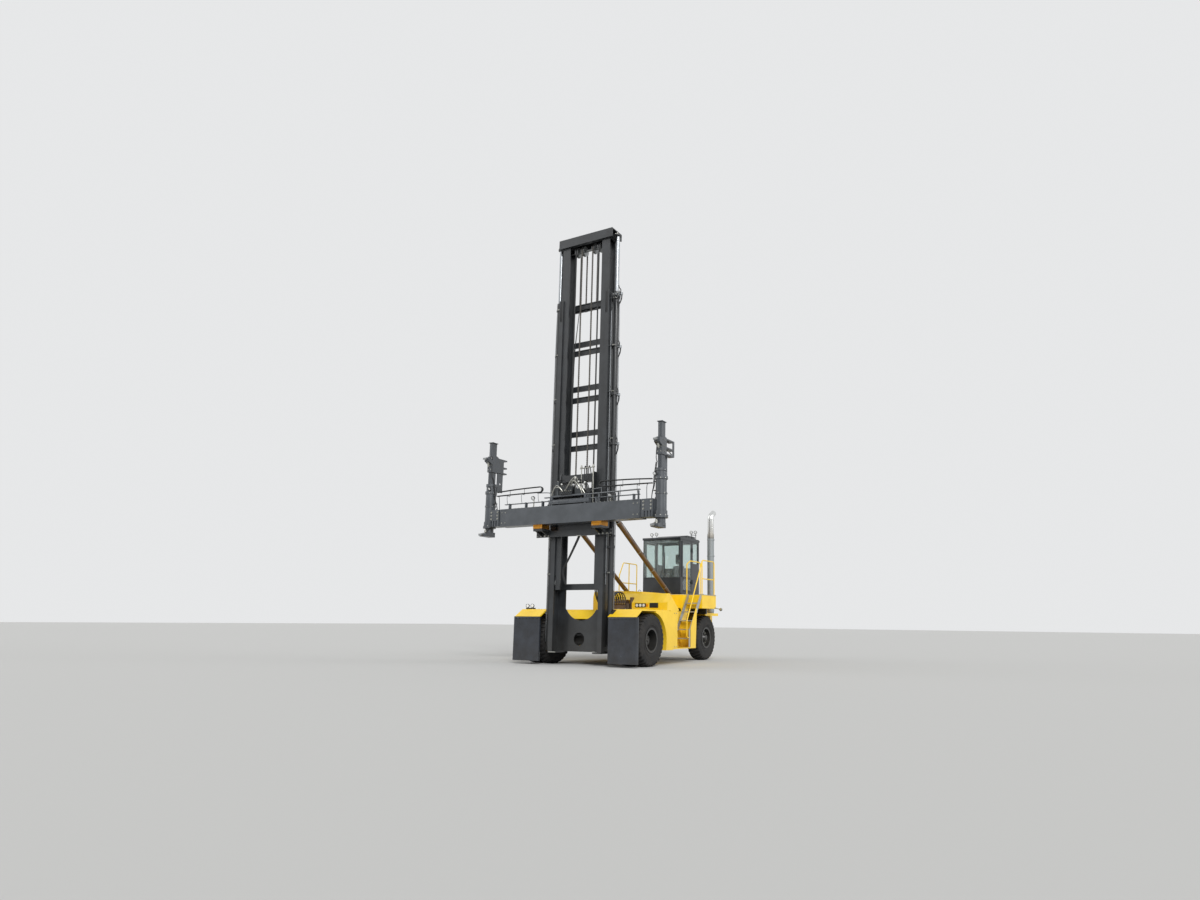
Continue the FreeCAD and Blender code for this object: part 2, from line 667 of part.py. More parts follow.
def front_deck():
    # sloped apron and flat deck between the fenders, in front of the hood
    t = APRON_T
    z1 = FENDER_Z
    y1 = HOOD_Y0 - 40
    y2 = FENDER_BACK + 65
    skin = prism_x([(APRON_Y0, z1 - 270), (60, z1), (y1, z1), (y1, z1 - t), (60 + t, z1 - t),
                    (APRON_Y0 + 3, z1 - 270 - t)], -APRON_X, APRON_X)
    for s in (1, -1):
        skin = skin.cut(side(box(510, APRON_X + 1, y2, y1 + 1, z1 - t - 1, z1 + 1), s))
    parts = [skin]
    # side strips that reach the fenders behind the brackets
    for s in (1, -1):
        parts.append(side(box(APRON_X - 1, GUARD_IN - 2, 230, y2, z1 - t, z1), s))
        parts.append(side(box(150, 180, 100, y1 - 60, FRAME_Z1 - 40 + SEAT, z1 - t + 1).cut(
            box(100, 200, 485, 960, 0, z1 - t - 1)), s))
        parts.append(side(box(RAIL_X - RAIL_T + 10, RAIL_X - 10, 500, y1 - 60, FRAME_Z1 + SEAT, z1 - t + 1), s))
    return fuse(*parts)


def hood_sides():
    # fixed cowls either side of the hood and the front wall between them
    x0 = HOOD_X + 10
    x1 = COWL_X
    t = 14
    z0 = FENDER_Z + SEAT
    zb = DECK_Z - DECK_BOX
    yb = DECK_Y0 + 80
    yf = HOOD_Y0 - 60
    y1 = 3560
    top = [(yf, z0), (yf, HOOD_Z - 170), (yf + 45, HOOD_Z - 20), (HOOD_Y1, HOOD_Z - 20),
           (3330, HOOD_Z - 250), (y1, HOOD_Z - 350), (y1, zb), (yb, zb), (yb, z0)]
    inner = [(yf + t, z0 - 1), (yf + t, HOOD_Z - 174), (yf + 55, HOOD_Z - 20 - t),
             (HOOD_Y1 - 6, HOOD_Z - 20 - t), (3320, HOOD_Z - 250 - t), (y1 - t, HOOD_Z - 350 - t),
             (y1 - t, zb - 1),
             (yb - t, zb - 1), (yb - t, z0 - 1)]
    out = []
    for s in (1, -1):
        shell = prism_x(top, x0, x1).cut(prism_x(inner, x0 + t, x1 - t))
        out.append(side(shell, s))
    front = box(-x0 - 2, x0 + 2, yf, yf + t, z0, HOOD_Z - 170)
    front = front.fuse(prism_x([(yf, HOOD_Z - 171), (yf + 45, HOOD_Z - 20), (HOOD_Y0 - 8, HOOD_Z - 20),
                                (HOOD_Y0 - 8, HOOD_Z - 60), (yf + t, HOOD_Z - 171)], -x0 - 2, x0 + 2))
    for k in range(4):
        z = z0 + 90 + k * 75
        front = front.cut(box(-440, 440, yf - 1, yf + t + 1, z, z + 40))
    back = box(-x0 - 2, x0 + 2, HOOD_Y1 + 12, HOOD_Y1 + 12 + t, z0, HOOD_Z - 20)
    # sloped lip that carries the left cowl's nose on, over the main valve
    lip = prism_x([(yf - 280, COWL_Z - 190), (yf - 20, COWL_Z + 12), (yf + 48, COWL_Z + 12),
                   (yf + 48, COWL_Z - 8),
                   (yf - 14, COWL_Z - 8), (yf - 270, COWL_Z - 205)], 260, x1)
    knee = prism_x([(yf + 2, COWL_Z - 2), (yf + 2, COWL_Z - 200), (yf - 150, COWL_Z - 110)], 300, 312)
    c = (-HOOD_HINGE_X, HOOD_HINGE_Z)
    for y in HOOD_HINGE_Y:
        for a, b in ((y - 100, y - 60 - SEAT), (y + 60 + SEAT, y + 100)):
            k = rod((c[0], a, c[1]), (c[0], b, c[1]), 13)
            out.append(k.fuse(box(c[0] - 40, c[0], a, b, c[1] - 18, c[1] + 6)))
        out.append(rod((c[0], y - 90, c[1]), (c[0], y + 90, c[1]), 5))
    return fuse(*out, front, back, lip, knee)


def hood():
    t = HOOD_T
    y0 = HOOD_Y0
    y1 = HOOD_Y1
    w = HOOD_X
    prof = [(-w, HOOD_Z - 60), (-w, HOOD_Z - 20), (-w + 40, HOOD_Z), (w - 40, HOOD_Z),
            (w, HOOD_Z - 20), (w, HOOD_Z - 60), (w - t, HOOD_Z - 60), (w - t, HOOD_Z - 30),
            (w - 50, HOOD_Z - t), (-w + 50, HOOD_Z - t), (-w + t, HOOD_Z - 30), (-w + t, HOOD_Z - 60)]
    lid = prism_y(prof, y0, y1)
    for k in range(6):
        y = y0 + 360 + k * 120
        lid = lid.cut(box(-320, 320, y, y + 45, HOOD_Z - t - 5, HOOD_Z + 5))
    c = (-HOOD_HINGE_X, HOOD_HINGE_Z)
    for y in HOOD_HINGE_Y:
        k = rod((c[0], y - 60, c[1]), (c[0], y + 60, c[1]), 13)
        k = k.fuse(box(c[0], -w + 50, y - 60, y + 60, c[1] - 2, c[1] + 10))
        lid = lid.fuse(k).cut(rod((c[0], y - 61, c[1]), (c[0], y + 61, c[1]), 5 + SEAT))
    save("engine_hood", lid)


def side_body_left():
    # tank behind the front wheel, then the recess of the stairs
    z1 = FENDER_Z
    y0 = FENDER_BACK + 85
    tank = box(TANK_X, STAIR_IN - 30, y0, 3095, SILL_Z + 60, z1)
    panel = box(STAIR_IN - 35, BODY_X, y0, 1860, SILL_Z + 20, z1)
    sill = box(STAIR_IN - 35, BODY_X, y0, 3140, SILL_Z, SILL_Z + 28)
    zt = DECK_Z - DECK_BOX - 5
    tri = prism_x([(2790, SILL_Z), (3140, SILL_Z), (3220, zt), (3160, zt), (2790, 1090)],
                  BODY_X - 14, BODY_X)
    back = box(STAIR_IN - 35, BODY_X, 3126, 3140, SILL_Z, 1280)
    join = box(STAIR_IN - 35, STAIR_IN - 20, 1860, 3140, SILL_Z, z1)
    nose = box(600, BODY_X, FENDER_BACK + SEAT, y0 + 5, SILL_Z + 60, z1 - 70)
    return fuse(tank, panel, sill, tri, back, join, nose)


def side_body_right():
    z1 = FENDER_Z
    y0 = FENDER_BACK + SEAT
    prof = [(y0, SILL_Z + 60), (y0 + 85, SILL_Z), (3140, SILL_Z), (3190, z1), (y0 + 85, z1), (y0, z1 - 70)]
    body = flip(prism_x(prof, TANK_X, BODY_X))
    rib = []
    for y in (1800, 2250, 2700):
        rib.append(box(-BODY_X - 10, -BODY_X + 2, y, y + 60, SILL_Z + 80, z1 - 60))
    return fuse(body, *rib)


def platform(s):
    z1 = DECK_Z
    z0 = DECK_Z - DECK_BOX
    t = 14
    x0 = CAB_X + 150
    y1 = DECK_Y1 if s > 0 else WALK_Y1
    shell = box(x0, BODY_X, DECK_Y0, y1, z0, z1 - 14)
    shell = shell.cut(box(x0 + t, BODY_X - t, DECK_Y0 + t, y1 - t, z0 + t, z1 - 14 - t))
    if s > 0:
        notch = box(STAIR_IN - 20, BODY_X + 1, DECK_Y0 - 1, STAIR_Y1 + 20, z0 - 1, z1 + 1)
        shell = shell.cut(notch)
        wall_y = box(STAIR_IN - 34, STAIR_IN - 20, DECK_Y0, STAIR_Y1 + 34, z0, z1 - 14)
        wall_x = box(STAIR_IN - 34, BODY_X, STAIR_Y1 + 20, STAIR_Y1 + 34, z0, z1 - 14)
        shell = fuse(shell, wall_y, wall_x)
    else:
        # clear of the counterweight's shoulder
        shell = shell.cut(box(x0 - 1, TAIL_X + AIR, FRAME_Y1 - 20, y1 + 1, z0 - 1, z1))
    return side(shell, s)


def centre_deck():
    # box between the hood and the cab, over the frame
    t = 12
    z0 = FENDER_Z + SEAT
    y0 = HOOD_Y1 + 30
    y1 = DECK_Y1 - 300
    zb = DECK_Z - DECK_BOX
    prof = [(y0, z0), (y0, DECK_Z), (y1, DECK_Z), (y1, z0), (y1 - t, z0), (y1 - t, DECK_Z - t),
            (y0 + t, DECK_Z - t), (y0 + t, z0)]
    shell = prism_x(prof, -HOOD_X, HOOD_X)
    for s in (1, -1):
        wall = prism_x([(y0, z0), (y0, DECK_Z), (y1, DECK_Z), (y1, z0), (DECK_Y0 + 180, z0),
                        (DECK_Y0 + 180, zb + 10), (DECK_Y0 + 80, zb + 10), (DECK_Y0 + 80, z0)],
                       HOOD_X - t, HOOD_X)
        shell = shell.fuse(side(wall, s))
    for y in (y0, y1 - t):
        shell = shell.fuse(box(-TANK_X + 20, TANK_X - 20, y, y + t, FRAME_Z1 + SEAT, z0 + 20))
    return shell


def deck_plates():
    t = 14 - SEAT
    z0 = DECK_Z - t
    out = []
    left = box(CAB_X + 150, BODY_X + 12, DECK_Y0, DECK_Y1, z0, DECK_Z)
    left = left.cut(box(STAIR_IN - 20, BODY_X + 20, DECK_Y0 - 1, STAIR_Y1 + 20, z0 - 1, DECK_Z + 1))
    right = box(-BODY_X - 12, -CAB_X - 150, DECK_Y0, WALK_Y1, z0, DECK_Z)
    save("deck_plates", left, right)


def stairs():
    z0 = SILL_Z + 28 + SEAT
    bend = 950
    y0 = STAIR_Y0
    y1 = STAIR_Y1
    w = STAIR_W
    t = STAIR_T
    zt = DECK_Z
    prof = [(y0, z0), (y0 + w, z0), (y0 + w, bend - 20), (y1 + 20 - SEAT, zt - 120), (y1 + 20 - SEAT, zt),
            (y1 - 60, zt), (y0, bend + 40)]
    out = []
    for x in (STAIR_IN, BODY_X - t - 20):
        out.append(prism_x(prof, x, x + t))
    n = STAIR_COUNT
    rise = (zt - z0) / n
    for k in range(1, n):
        z = z0 + rise * k
        if z < bend:
            ya = y0
        else:
            ya = y0 + (y1 - 60 - y0) * (z - bend - 40) / (zt - bend - 40)
        tread = box(STAIR_IN + t - 1, BODY_X - 20 - t + 1, ya + 15, ya + 205, z - 28, z)
        for j in range(4):
            xa = STAIR_IN + 50 + j * 105
            tread = tread.cut(box(xa, xa + 70, ya + 45, ya + 175, z - 30, z + 2))
        out.append(tread)
    save("stairs", fuse(*out))


def rear_deck():
    # mudguards over the steered wheels, carrying the radiator and tank bay
    out = []
    z0 = FRAME_Z1 + SEAT
    plate = box(-1560, 1560, DECK_Y1 + SEAT, FRAME_Y1, z0, z0 + 30)
    parts = [plate]
    for s in (1, -1):
        parts.append(side(box(1530, 1560, DECK_Y1 + SEAT, FRAME_Y1, z0 - 60, z0 + 30), s))
        top = TAIL_Z1 - 120 if s > 0 else DECK_Z - DECK_BOX - SEAT
        parts.append(side(box(CAB_X + 30, 1290, DECK_Y1 + 20, FRAME_Y1, z0 + 25, top), s))
    return fuse(*parts)


def counterweight():
    x = TAIL_X
    y0 = FRAME_Y1 + SEAT
    y1 = TAIL_Y
    plan = [(-x, y0), (x, y0), (x, y1 - 90), (x - 160, y1), (-x + 160, y1), (-x, y1 - 90)]
    body = prism_z(plan, TAIL_Z0, TAIL_Z1)
    lip = prism_x([(y0 - 1, TAIL_Z0 - 1), (y1 + 1, TAIL_Z0 - 1), (y1 + 1, TAIL_Z0 + 140),
                   (y0 - 1, TAIL_Z0 - 0.5)], -x - 1, x + 1)
    body = body.cut(lip)
    # towing jaw, with room above it to draw the pin
    body = body.cut(box(-TOW_W / 2, TOW_W / 2, y1 - 140, y1 + 1, TOW_Z0, TOW_Z1))
    body = body.cut(box(-80, 80, y1 - 120, y1 + 1, TOW_Z1 + TOW_LIP, TOW_Z1 + TOW_LIP + 380))
    y = y1 - TOW_INSET
    body = body.cut(rod((0, y, TOW_Z0 - TOW_LIP), (0, y, TOW_Z1 + TOW_LIP + 1), TOW_HOLE_R))
    save("counterweight", body)


def exhaust():
    z0 = FRAME_Z1 + SEAT + 30 + SEAT
    x = STACK_X
    y = STACK_Y
    muffler = turned([(0, 0), (0, 100), (60, STACK_R), (2560, STACK_R), (2640, PIPE_R + 14), (2780, PIPE_R + 14),
                      (2780, 0)], (x, y, z0), "z")
    bend = pipe([(x, y, z0 + 2770), (x, y, z0 + 3420), (x, y + 230, z0 + 3560)], PIPE_R, 170)
    bore = rod((x, y + 90, z0 + 3475), (x, y + 300, z0 + 3603), PIPE_R - 8)
    save("exhaust_stack", fuse(muffler, bend).cut(bore))


def handrail_left():
    r = RAIL_R
    z = DECK_Z + SEAT
    top = DECK_Z + RAIL_H
    x = BODY_X - 40
    y0 = STAIR_Y1 + 90
    y1 = DECK_Y1 - 60
    a = pipe([(x, y0, z), (x, y0, top), (x, y1, top), (x, y1, z)], r, 90)
    mid = rod((x, y0, z + 520), (x, y1, z + 520), r)
    xs = BODY_X - 20 - STAIR_T / 2
    run = pipe([(xs, STAIR_Y0 - SEAT, 780), (xs, STAIR_Y0 - 140, 780), (xs, STAIR_Y0 - 140, 1300),
                (xs, y0 - 20, top - 30)], r, 70)
    foot = rod((xs, y0 - 21, top - 32), (x, y0 + 20, top - 32), r)
    inner = pipe([(STAIR_IN - 60, STAIR_Y1 + 10, z), (STAIR_IN - 60, STAIR_Y1 + 10, top - 120),
                  (STAIR_IN - 60, STAIR_Y1 + 260, top), (STAIR_IN - 60, y1, top),
                  (STAIR_IN - 60, y1, z)], r, 90)
    return fuse(a, mid, run, foot), inner


def handrail_right():
    # along the walkway on the cab's far side
    r = RAIL_R
    z = DECK_Z + SEAT
    top = DECK_Z + WALK_RAIL_H
    x = -BODY_X + 40
    y0 = DECK_Y1 - 15
    y1 = WALK_Y1 - 40
    ym = (y0 + y1) / 2 + 60
    a = pipe([(x, y0, z), (x, y0, top - 480), (x, y0 + 280, top), (x, y1, top), (x, y1, z)], r, 90)
    mid = rod((x, y0, z + 500), (x, y1, z + 500), r)
    post = rod((x, ym, z), (x, ym, top), r)
    return fuse(a, mid, post)


# --- cab --------------------------------------------------------------------
def cab_base():
    x = CAB_X
    z0 = FRAME_Z1 + SEAT
    y0 = DECK_Y1 - 160
    y1 = FRAME_Y1 - SEAT
    walls = box(-x + 40, x - 40, y0, y1, z0 + 30 + SEAT, CAB_Z0 + 10)
    walls = walls.cut(box(-x + 70, x - 70, y0 + 30, y1 - 30, z0, CAB_Z0 - 30))
    return walls


def bowed(x0, x1, z0, z1, a, b):
    # strip of the bowed front, from a to b outside the curve of the cab's front wall
    r = (CAB_X ** 2 + CAB_BOW ** 2) / (2 * CAB_BOW)
    y = CAB_Y0 - CAB_BOW + r
    ring = rod((0, y, z0), (0, y, z1), r + a, r + b)
    return ring.common(box(x0, x1, CAB_Y0 - CAB_BOW - 60, CAB_Y0 + 150, z0, z1))


def cab_roof():
    x = CAB_X + 15
    y0 = CAB_Y0
    y1 = CAB_Y1
    z1 = CAB_Z1
    roof = prism_x([(y0 - CAB_BOW - 60, z1 - ROOF_T), (y0 - CAB_BOW - 60, z1 - 40), (y0 + 40, z1), (y1 - 60, z1),
                    (y1 + 20, z1 - 30), (y1 + 20, z1 - ROOF_T)], -x, x)
    r = (CAB_X ** 2 + CAB_BOW ** 2) / (2 * CAB_BOW)
    y = y0 - CAB_BOW + r
    roof = roof.common(rod((0, y, z1 - 300), (0, y, z1 + 10), r + 42))
    zc = z1 + 105
    cooler = prism_x([(y1 - 780, z1 - 5), (y1 - 740, zc), (y1 - 130, zc), (y1 - 90, z1 - 5)], -560, 640)
    return roof.fuse(cooler)


def cab_shell():
    x = CAB_X
    y0 = CAB_Y0
    y1 = CAB_Y1
    z0 = CAB_Z0 + SEAT
    z1 = CAB_Z1
    p = POST
    zs = z0 + SILL_H
    zt = z1 - ROOF_T
    parts = [box(-x, x, y0, y1, z0, z0 + 50), bowed(-x, x, z0, z0 + 50, 0, -120), bowed(-x, x, z0, zs, 0, -40)]
    for s in (1, -1):
        a_post = bowed(x - p, x, zs - 5, zt + 5, 0, -p)
        low = box(x - 40, x, y0, y0 + 130, z0, zs)
        b_post = box(x - p, x, y0 + 900, y0 + 900 + p, z0 + 20, zt)
        c_post = box(x - p, x, y1 - p, y1, z0 + 20, zt)
        panel = box(x - 40, x, y0 + 900, y1, z0 + 20, z0 + SIDE_SILL)
        rim_top = box(x - 50, x, y0 + 20, y1, zt - 45, zt + 5)
        parts += [side(q, s) for q in (a_post, low, b_post, c_post, panel, rim_top)]
    parts.append(box(-x, x, y1 - 40, y1, z0 + 20, z0 + SIDE_SILL - 120))
    parts.append(bowed(-x, x, zt - 70, zt + 5, 0, -60))
    parts.append(box(-x, x, y1 - 60, y1, zt - 70, zt + 5))
    for s in (1, -1):
        for z in DOOR_HINGE_Z:
            c = (DOOR_HINGE_X, DOOR_HINGE_Y)
            for a, b in ((z - 70, z - 40 - SEAT), (z + 40 + SEAT, z + 70)):
                k = rod((c[0], c[1], a), (c[0], c[1], b), 16)
                k = k.fuse(box(x - 10, c[0], c[1] + 2, c[1] + 60, a, b))
                parts.append(side(k, s))
            parts.append(side(rod((c[0], c[1], z - 60), (c[0], c[1], z + 60), 6), s))
    save("cab_shell", fuse(*parts, cab_roof(), cab_base()))


def cab_glass():
    # bonded windscreen over the front wall's posts, and framed rear and side panes
    x = CAB_X
    y0 = CAB_Y0
    y1 = CAB_Y1
    z0 = CAB_Z0 + SEAT
    zt = CAB_Z1 - ROOF_T
    g = GLASS_T
    p = POST
    front = bowed(-x + 8, x - 8, z0 + SILL_H - 35, zt - SEAT, SEAT + g, SEAT)
    rear = box(-x + p + SEAT, x - p - SEAT, y1 - 30, y1 - 30 + g, z0 + SIDE_SILL - 120 + SEAT, zt - 70 - SEAT)
    sides = []
    for s in (1, -1):
        sides.append(side(box(x - 30, x - 30 + g, y0 + 900 + p + SEAT, y1 - p - SEAT,
                              z0 + SIDE_SILL + SEAT, zt - 45 - SEAT), s))
    save("cab_glass", front, rear, *sides)


def door(s):
    tag = "left" if s > 0 else "right"
    x = CAB_X
    g = 8
    y0 = CAB_Y0 + 130 + g
    y1 = CAB_Y0 + 900 - g
    z0 = CAB_Z0 + 50 + g
    z1 = CAB_Z1 - ROOF_T - 45 - g
    leaf = box(x - 34, x - 2, y0, y1, z0, z1)
    leaf = leaf.cut(box(x - 40, x + 5, y0 + 60, y1 - 60, z0 + SILL_H - 40, z1 - 60))
    leaf = leaf.cut(box(x - 40, x + 5, y0 + 60, y1 - 60, z0 + 70, z0 + SILL_H - 110))
    handle = box(x - 2, x + 22, y0 + 90, y0 + 200, z0 + SILL_H - 90, z0 + SILL_H - 65)
    knuckles = []
    for z in DOOR_HINGE_Z:
        # middle knuckle of a barrel hinge, with its strap
        k = rod((DOOR_HINGE_X, DOOR_HINGE_Y, z - 40), (DOOR_HINGE_X, DOOR_HINGE_Y, z + 40), 16)
        k = k.fuse(box(x - 10, DOOR_HINGE_X, y1 - 60, DOOR_HINGE_Y, z - 40, z + 40))
        knuckles.append(k.cut(rod((DOOR_HINGE_X, DOOR_HINGE_Y, z - 41), (DOOR_HINGE_X, DOOR_HINGE_Y, z + 41),
                                  6 + SEAT)))
    save("cab_door_" + tag, side(fuse(leaf, handle, *knuckles), s))
    pane = box(x - 22, x - 22 + GLASS_T, y0 + 60 + SEAT, y1 - 60 - SEAT, z0 + SILL_H - 40 + SEAT, z1 - 60 - SEAT)
    low = box(x - 22, x - 22 + GLASS_T, y0 + 60 + SEAT, y1 - 60 - SEAT, z0 + 70 + SEAT, z0 + SILL_H - 110 - SEAT)
    save("door_glass_" + tag, side(pane, s), side(low, s))


def cab_inside():
    z = CAB_Z0 + 50 + SEAT + SEAT
    y = CAB_Y0 + 740
    base = box(-230, 230, y - 40, y + 420, z, z + 260)
    zc = z + 260 + SEAT
    cushion = box(-250, 250, y - 70, y + 430, zc, zc + 130)
    cushion = cushion.makeFillet(40, cushion.Edges)
    yb = y + 430 + SEAT
    back = prism_x([(yb, zc + 15), (yb, zc + 115), (yb + 90, zc + 760), (yb + 200, zc + 760), (yb + 140, zc + 15)],
                   -240, 240)
    back = back.makeFillet(35, back.Edges)
    save("seat_pads", cushion, back)
    yc = CAB_Y0 + 300
    foot = box(-90, 90, yc - 70, yc + 110, z, z + 60)
    column = rod((0, yc, z + 30), (0, yc + 160, z + 670), 42)
    wheel = Part.makeTorus(190, 15, V(0, yc + 160, z + 672), V(0, 0.24, 0.97))
    spoke = box(-188, 188, yc + 142, yc + 178, z + 655, z + 690)

    side_desk = box(300, 520, y - 100, y + 520, z, z + 560)
    save("cab_controls", base, fuse(foot, column, wheel, spoke), side_desk,
         box(-520, -300, y - 100, y + 520, z, z + 420))


# --- mast -------------------------------------------------------------------
def outer_rail():
    # deep channel, open inwards, with the roller slot at the top of its flange
    x1 = MAST_OUT
    t = OUTER_T
    f = MAST_OUT - OUTER_FLANGE
    y0 = MAST_FRONT
    y1 = MAST_BACK
    plan = [(f, y0), (x1, y0), (x1, y1), (630, y1), (630, y1 - t), (x1 - t, y1 - t), (x1 - t, y0 + t), (f, y0 + t)]
    rail = prism_z(plan, OUTER_Z0, OUTER_Z1)
    slot = box(f + 25, f + 105, y0 - 5, y0 + t + 5, OUTER_Z1 - 700, OUTER_Z1 + 1)
    return rail.cut(slot)


def outer_mast():
    out = [outer_rail(), flip(outer_rail())]
    t = OUTER_T
    y1 = MAST_BACK
    # base plate with the U-shaped cut-out and the hose hole
    w = MAST_OUT - OUTER_T + 2
    shape = [(-w, OUTER_Z0), (w, OUTER_Z0), (w, BASE_Z1), (800, BASE_Z1), (610, BASE_MID_Z),
             (-610, BASE_MID_Z), (-800, BASE_Z1), (-w, BASE_Z1)]
    base = prism_y(shape, y1 - t, y1 - t + BASE_T)
    arc = (BASE_ARC_X, BASE_MID_Z - 315 + BASE_ARC_R)
    base = base.cut(rod((arc[0], y1 - 60, arc[1]), (arc[0], y1 + 60, arc[1]), BASE_ARC_R))
    base = base.cut(rod((BASE_HOLE_X, y1 - 60, 740), (BASE_HOLE_X, y1 + 60, 740), BASE_HOLE_R))
    out.append(base)
    # rear ties of the outer mast
    count = int((OUTER_Z1 - 300 - TIE_H - OUT_TIE_Z) // OUT_TIE_STEP) + 1
    for k in range(count):
        z = OUT_TIE_Z + k * OUT_TIE_STEP
        out.append(box(-660, 660, y1 - 2, y1 + TIE_T, z, z + TIE_H))
    top = OUTER_Z1 - 300
    out.append(box(-660, 660, y1 - 2, y1 + TIE_T, top, top + 240))
    for x in (-CHAIN_X, CHAIN_X):
        # chain anchors hang on the top tie
        out.append(box(x - 45, x + 45, WHEEL_Y + CHAIN_R - CHAIN_T / 2 - 8, y1, top - 40, top + 50))
    # feet under the rails
    for s in (1, -1):
        out.append(side(box(630, MAST_OUT, MAST_FRONT, MAST_BACK, OUTER_Z0 - 30, OUTER_Z0 + 6), s))
        # stub that carries the guide roller at the rail's top
        out.append(side(rod((POCKET_X0 + 6, ROLLER_Y, OUTER_Z1 - 200), (MAST_OUT - 5, ROLLER_Y, OUTER_Z1 - 200),
                            ROLLER_PIN_R), s))
        # pivot knuckle
        lug = prism_x([(y1 - 2, PIVOT_Z - 190), (y1 - 2, PIVOT_Z + 330), (PIVOT_Y + 60, PIVOT_Z + 79),
                       (PIVOT_Y + 60, PIVOT_Z - 79)], PIVOT_X0, PIVOT_X1)
        lug = lug.fuse(rod((PIVOT_X0, PIVOT_Y, PIVOT_Z), (PIVOT_X1, PIVOT_Y, PIVOT_Z), PIVOT_R))
        lug = lug.cut(rod((PIVOT_X0 - 1, PIVOT_Y, PIVOT_Z), (PIVOT_X1 + 1, PIVOT_Y, PIVOT_Z),
                          PIVOT_PIN_R + SEAT))
        out.append(side(lug, s))
        # cheeks that take the tilt cylinder's rod eye
        for x0 in (TILT_X - TILT_EYE_W / 2 - 6 - LUG_T, TILT_X + TILT_EYE_W / 2 + 6):
            c = prism_x([(y1 - 2, TILT_EYE_Z - 190), (y1 - 2, TILT_EYE_Z + 150),
                         (TILT_EYE_Y + 30, TILT_EYE_Z + 62), (TILT_EYE_Y + 62, TILT_EYE_Z + 10),
                         (TILT_EYE_Y + 55, TILT_EYE_Z - 40), (TILT_EYE_Y, TILT_EYE_Z - 68)],
                        x0, x0 + LUG_T)
            out.append(side(c, s))
        pin = rod((TILT_X - TILT_EYE_W / 2 - 10 - LUG_T, TILT_EYE_Y, TILT_EYE_Z),
                  (TILT_X + TILT_EYE_W / 2 + 10 + LUG_T, TILT_EYE_Y, TILT_EYE_Z), TILT_PIN_R)
        out.append(side(pin, s))
    save("outer_mast", fuse(*out))


def mast_pins():
    out = []
    for s in (1, -1):
        x0 = PIVOT_X0 - AIR - 45
        x1 = PIVOT_X1 + AIR + 45
        pin = rod((x0 - 20, PIVOT_Y, PIVOT_Z), (x1 + 20, PIVOT_Y, PIVOT_Z), PIVOT_PIN_R)
        for a, b in ((x0 - 20, x0 - SEAT), (x1 + SEAT, x1 + 20)):
            pin = pin.fuse(rod((a, PIVOT_Y, PIVOT_Z), (b, PIVOT_Y, PIVOT_Z), 66))
        out.append(side(pin, s))
    return out


def lift_barrels():
    out = []
    for s in (1, -1):
        z0 = OUTER_Z0 + 160
        z1 = OUTER_Z1 - 40
        body = rod((LIFT_X, LIFT_Y, z0), (LIFT_X, LIFT_Y, z1), LIFT_R)
        gland = rod((LIFT_X, LIFT_Y, z1 - 90), (LIFT_X, LIFT_Y, z1 + 40), LIFT_R + 12)
        body = body.fuse(gland)
        low = OUTER_Z1 - LIFT_UP - LIFT_DOWN - 800
        body = body.cut(rod((LIFT_X, LIFT_Y, low), (LIFT_X, LIFT_Y, z1 + 41), LIFT_ROD_R + SEAT))
        foot = box(MAST_OUT + SEAT, LIFT_X + 60, LIFT_Y - 70, LIFT_Y + 70, z0 - 120, z0 + 5)
        body = body.fuse(foot)
        count = int((OUTER_Z1 - 1770 - 3200) // CLAMP_STEP) + 1
        heights = [OUTER_Z1 - 250, 2600] + [OUTER_Z1 - 1770 - k * CLAMP_STEP for k in range(count)]
        for z in heights:
            clamp = box(MAST_OUT + SEAT, LIFT_X + 30, LIFT_Y - LIFT_R - 22, LIFT_Y + LIFT_R + 22, z, z + 70)
            clamp = clamp.fuse(rod((LIFT_X, LIFT_Y, z), (LIFT_X, LIFT_Y, z + 70), LIFT_R + 22))
            clamp = clamp.cut(rod((LIFT_X, LIFT_Y, z - 1), (LIFT_X, LIFT_Y, z + 71), LIFT_R - 2))
            body = body.fuse(clamp)
        out.append(side(body, s))
    save("lift_cylinders", *out)


def lift_rods():
    out = []
    for s in (1, -1):
        low = OUTER_Z1 - LIFT_UP - 700
        out.append(side(rod((LIFT_X, LIFT_Y, low), (LIFT_X, LIFT_Y, INNER_Z1 + 60 - SEAT), LIFT_ROD_R), s))
    save("lift_rods", *out)


def inner_rail():
    t = INNER_T
    y0 = RAIL_Y0
    y1 = RAIL_Y1
    w = INNER_WEB
    plan = [(INNER_IN, y0), (INNER_OUT, y0), (INNER_OUT, y0 + t), (w + t / 2, y0 + t), (w + t / 2, y1 - t),
            (INNER_OUT, y1 - t), (INNER_OUT, y1), (INNER_IN, y1), (INNER_IN, y1 - t), (w - t / 2, y1 - t),
            (w - t / 2, y0 + t), (INNER_IN, y0 + t)]
    rail = prism_z(plan, INNER_Z0, INNER_Z1)
    return rail.cut(box(w + t / 2, INNER_OUT + 1, y0 - 1, y1 + 1, INNER_Z0 - 1, INNER_Z0 + NOTCH_H))


def inner_mast():
    t = INNER_T
    y1 = RAIL_Y1
    out = [inner_rail(), flip(inner_rail())]
    x = INNER_IN + 20
    foot = box(-x, x, y1 - t, y1, INNER_Z0, INNER_Z0 + 180)
    out.append(foot)
    count = int((OUTER_Z1 - TIE_H - TIE_Z) // TIE_STEP) + 1
    for k in range(count):
        z = TIE_Z + k * TIE_STEP
        out.append(box(-x, x, y1 - t, y1, z, z + TIE_H))
        out.append(box(-INNER_IN + 60, INNER_IN - 60, y1 - t - 24, y1 - t + 2, z + TIE_H - 24, z + TIE_H))
    for s in (1, -1):
        z = INNER_Z0 + NOTCH_H / 2 - 10
        out.append(side(rod((INNER_WEB, ROLLER_Y, z), (MAST_OUT - OUTER_T - 8, ROLLER_Y, z), ROLLER_PIN_R), s))
    save("inner_mast", fuse(*out, top_beam()))


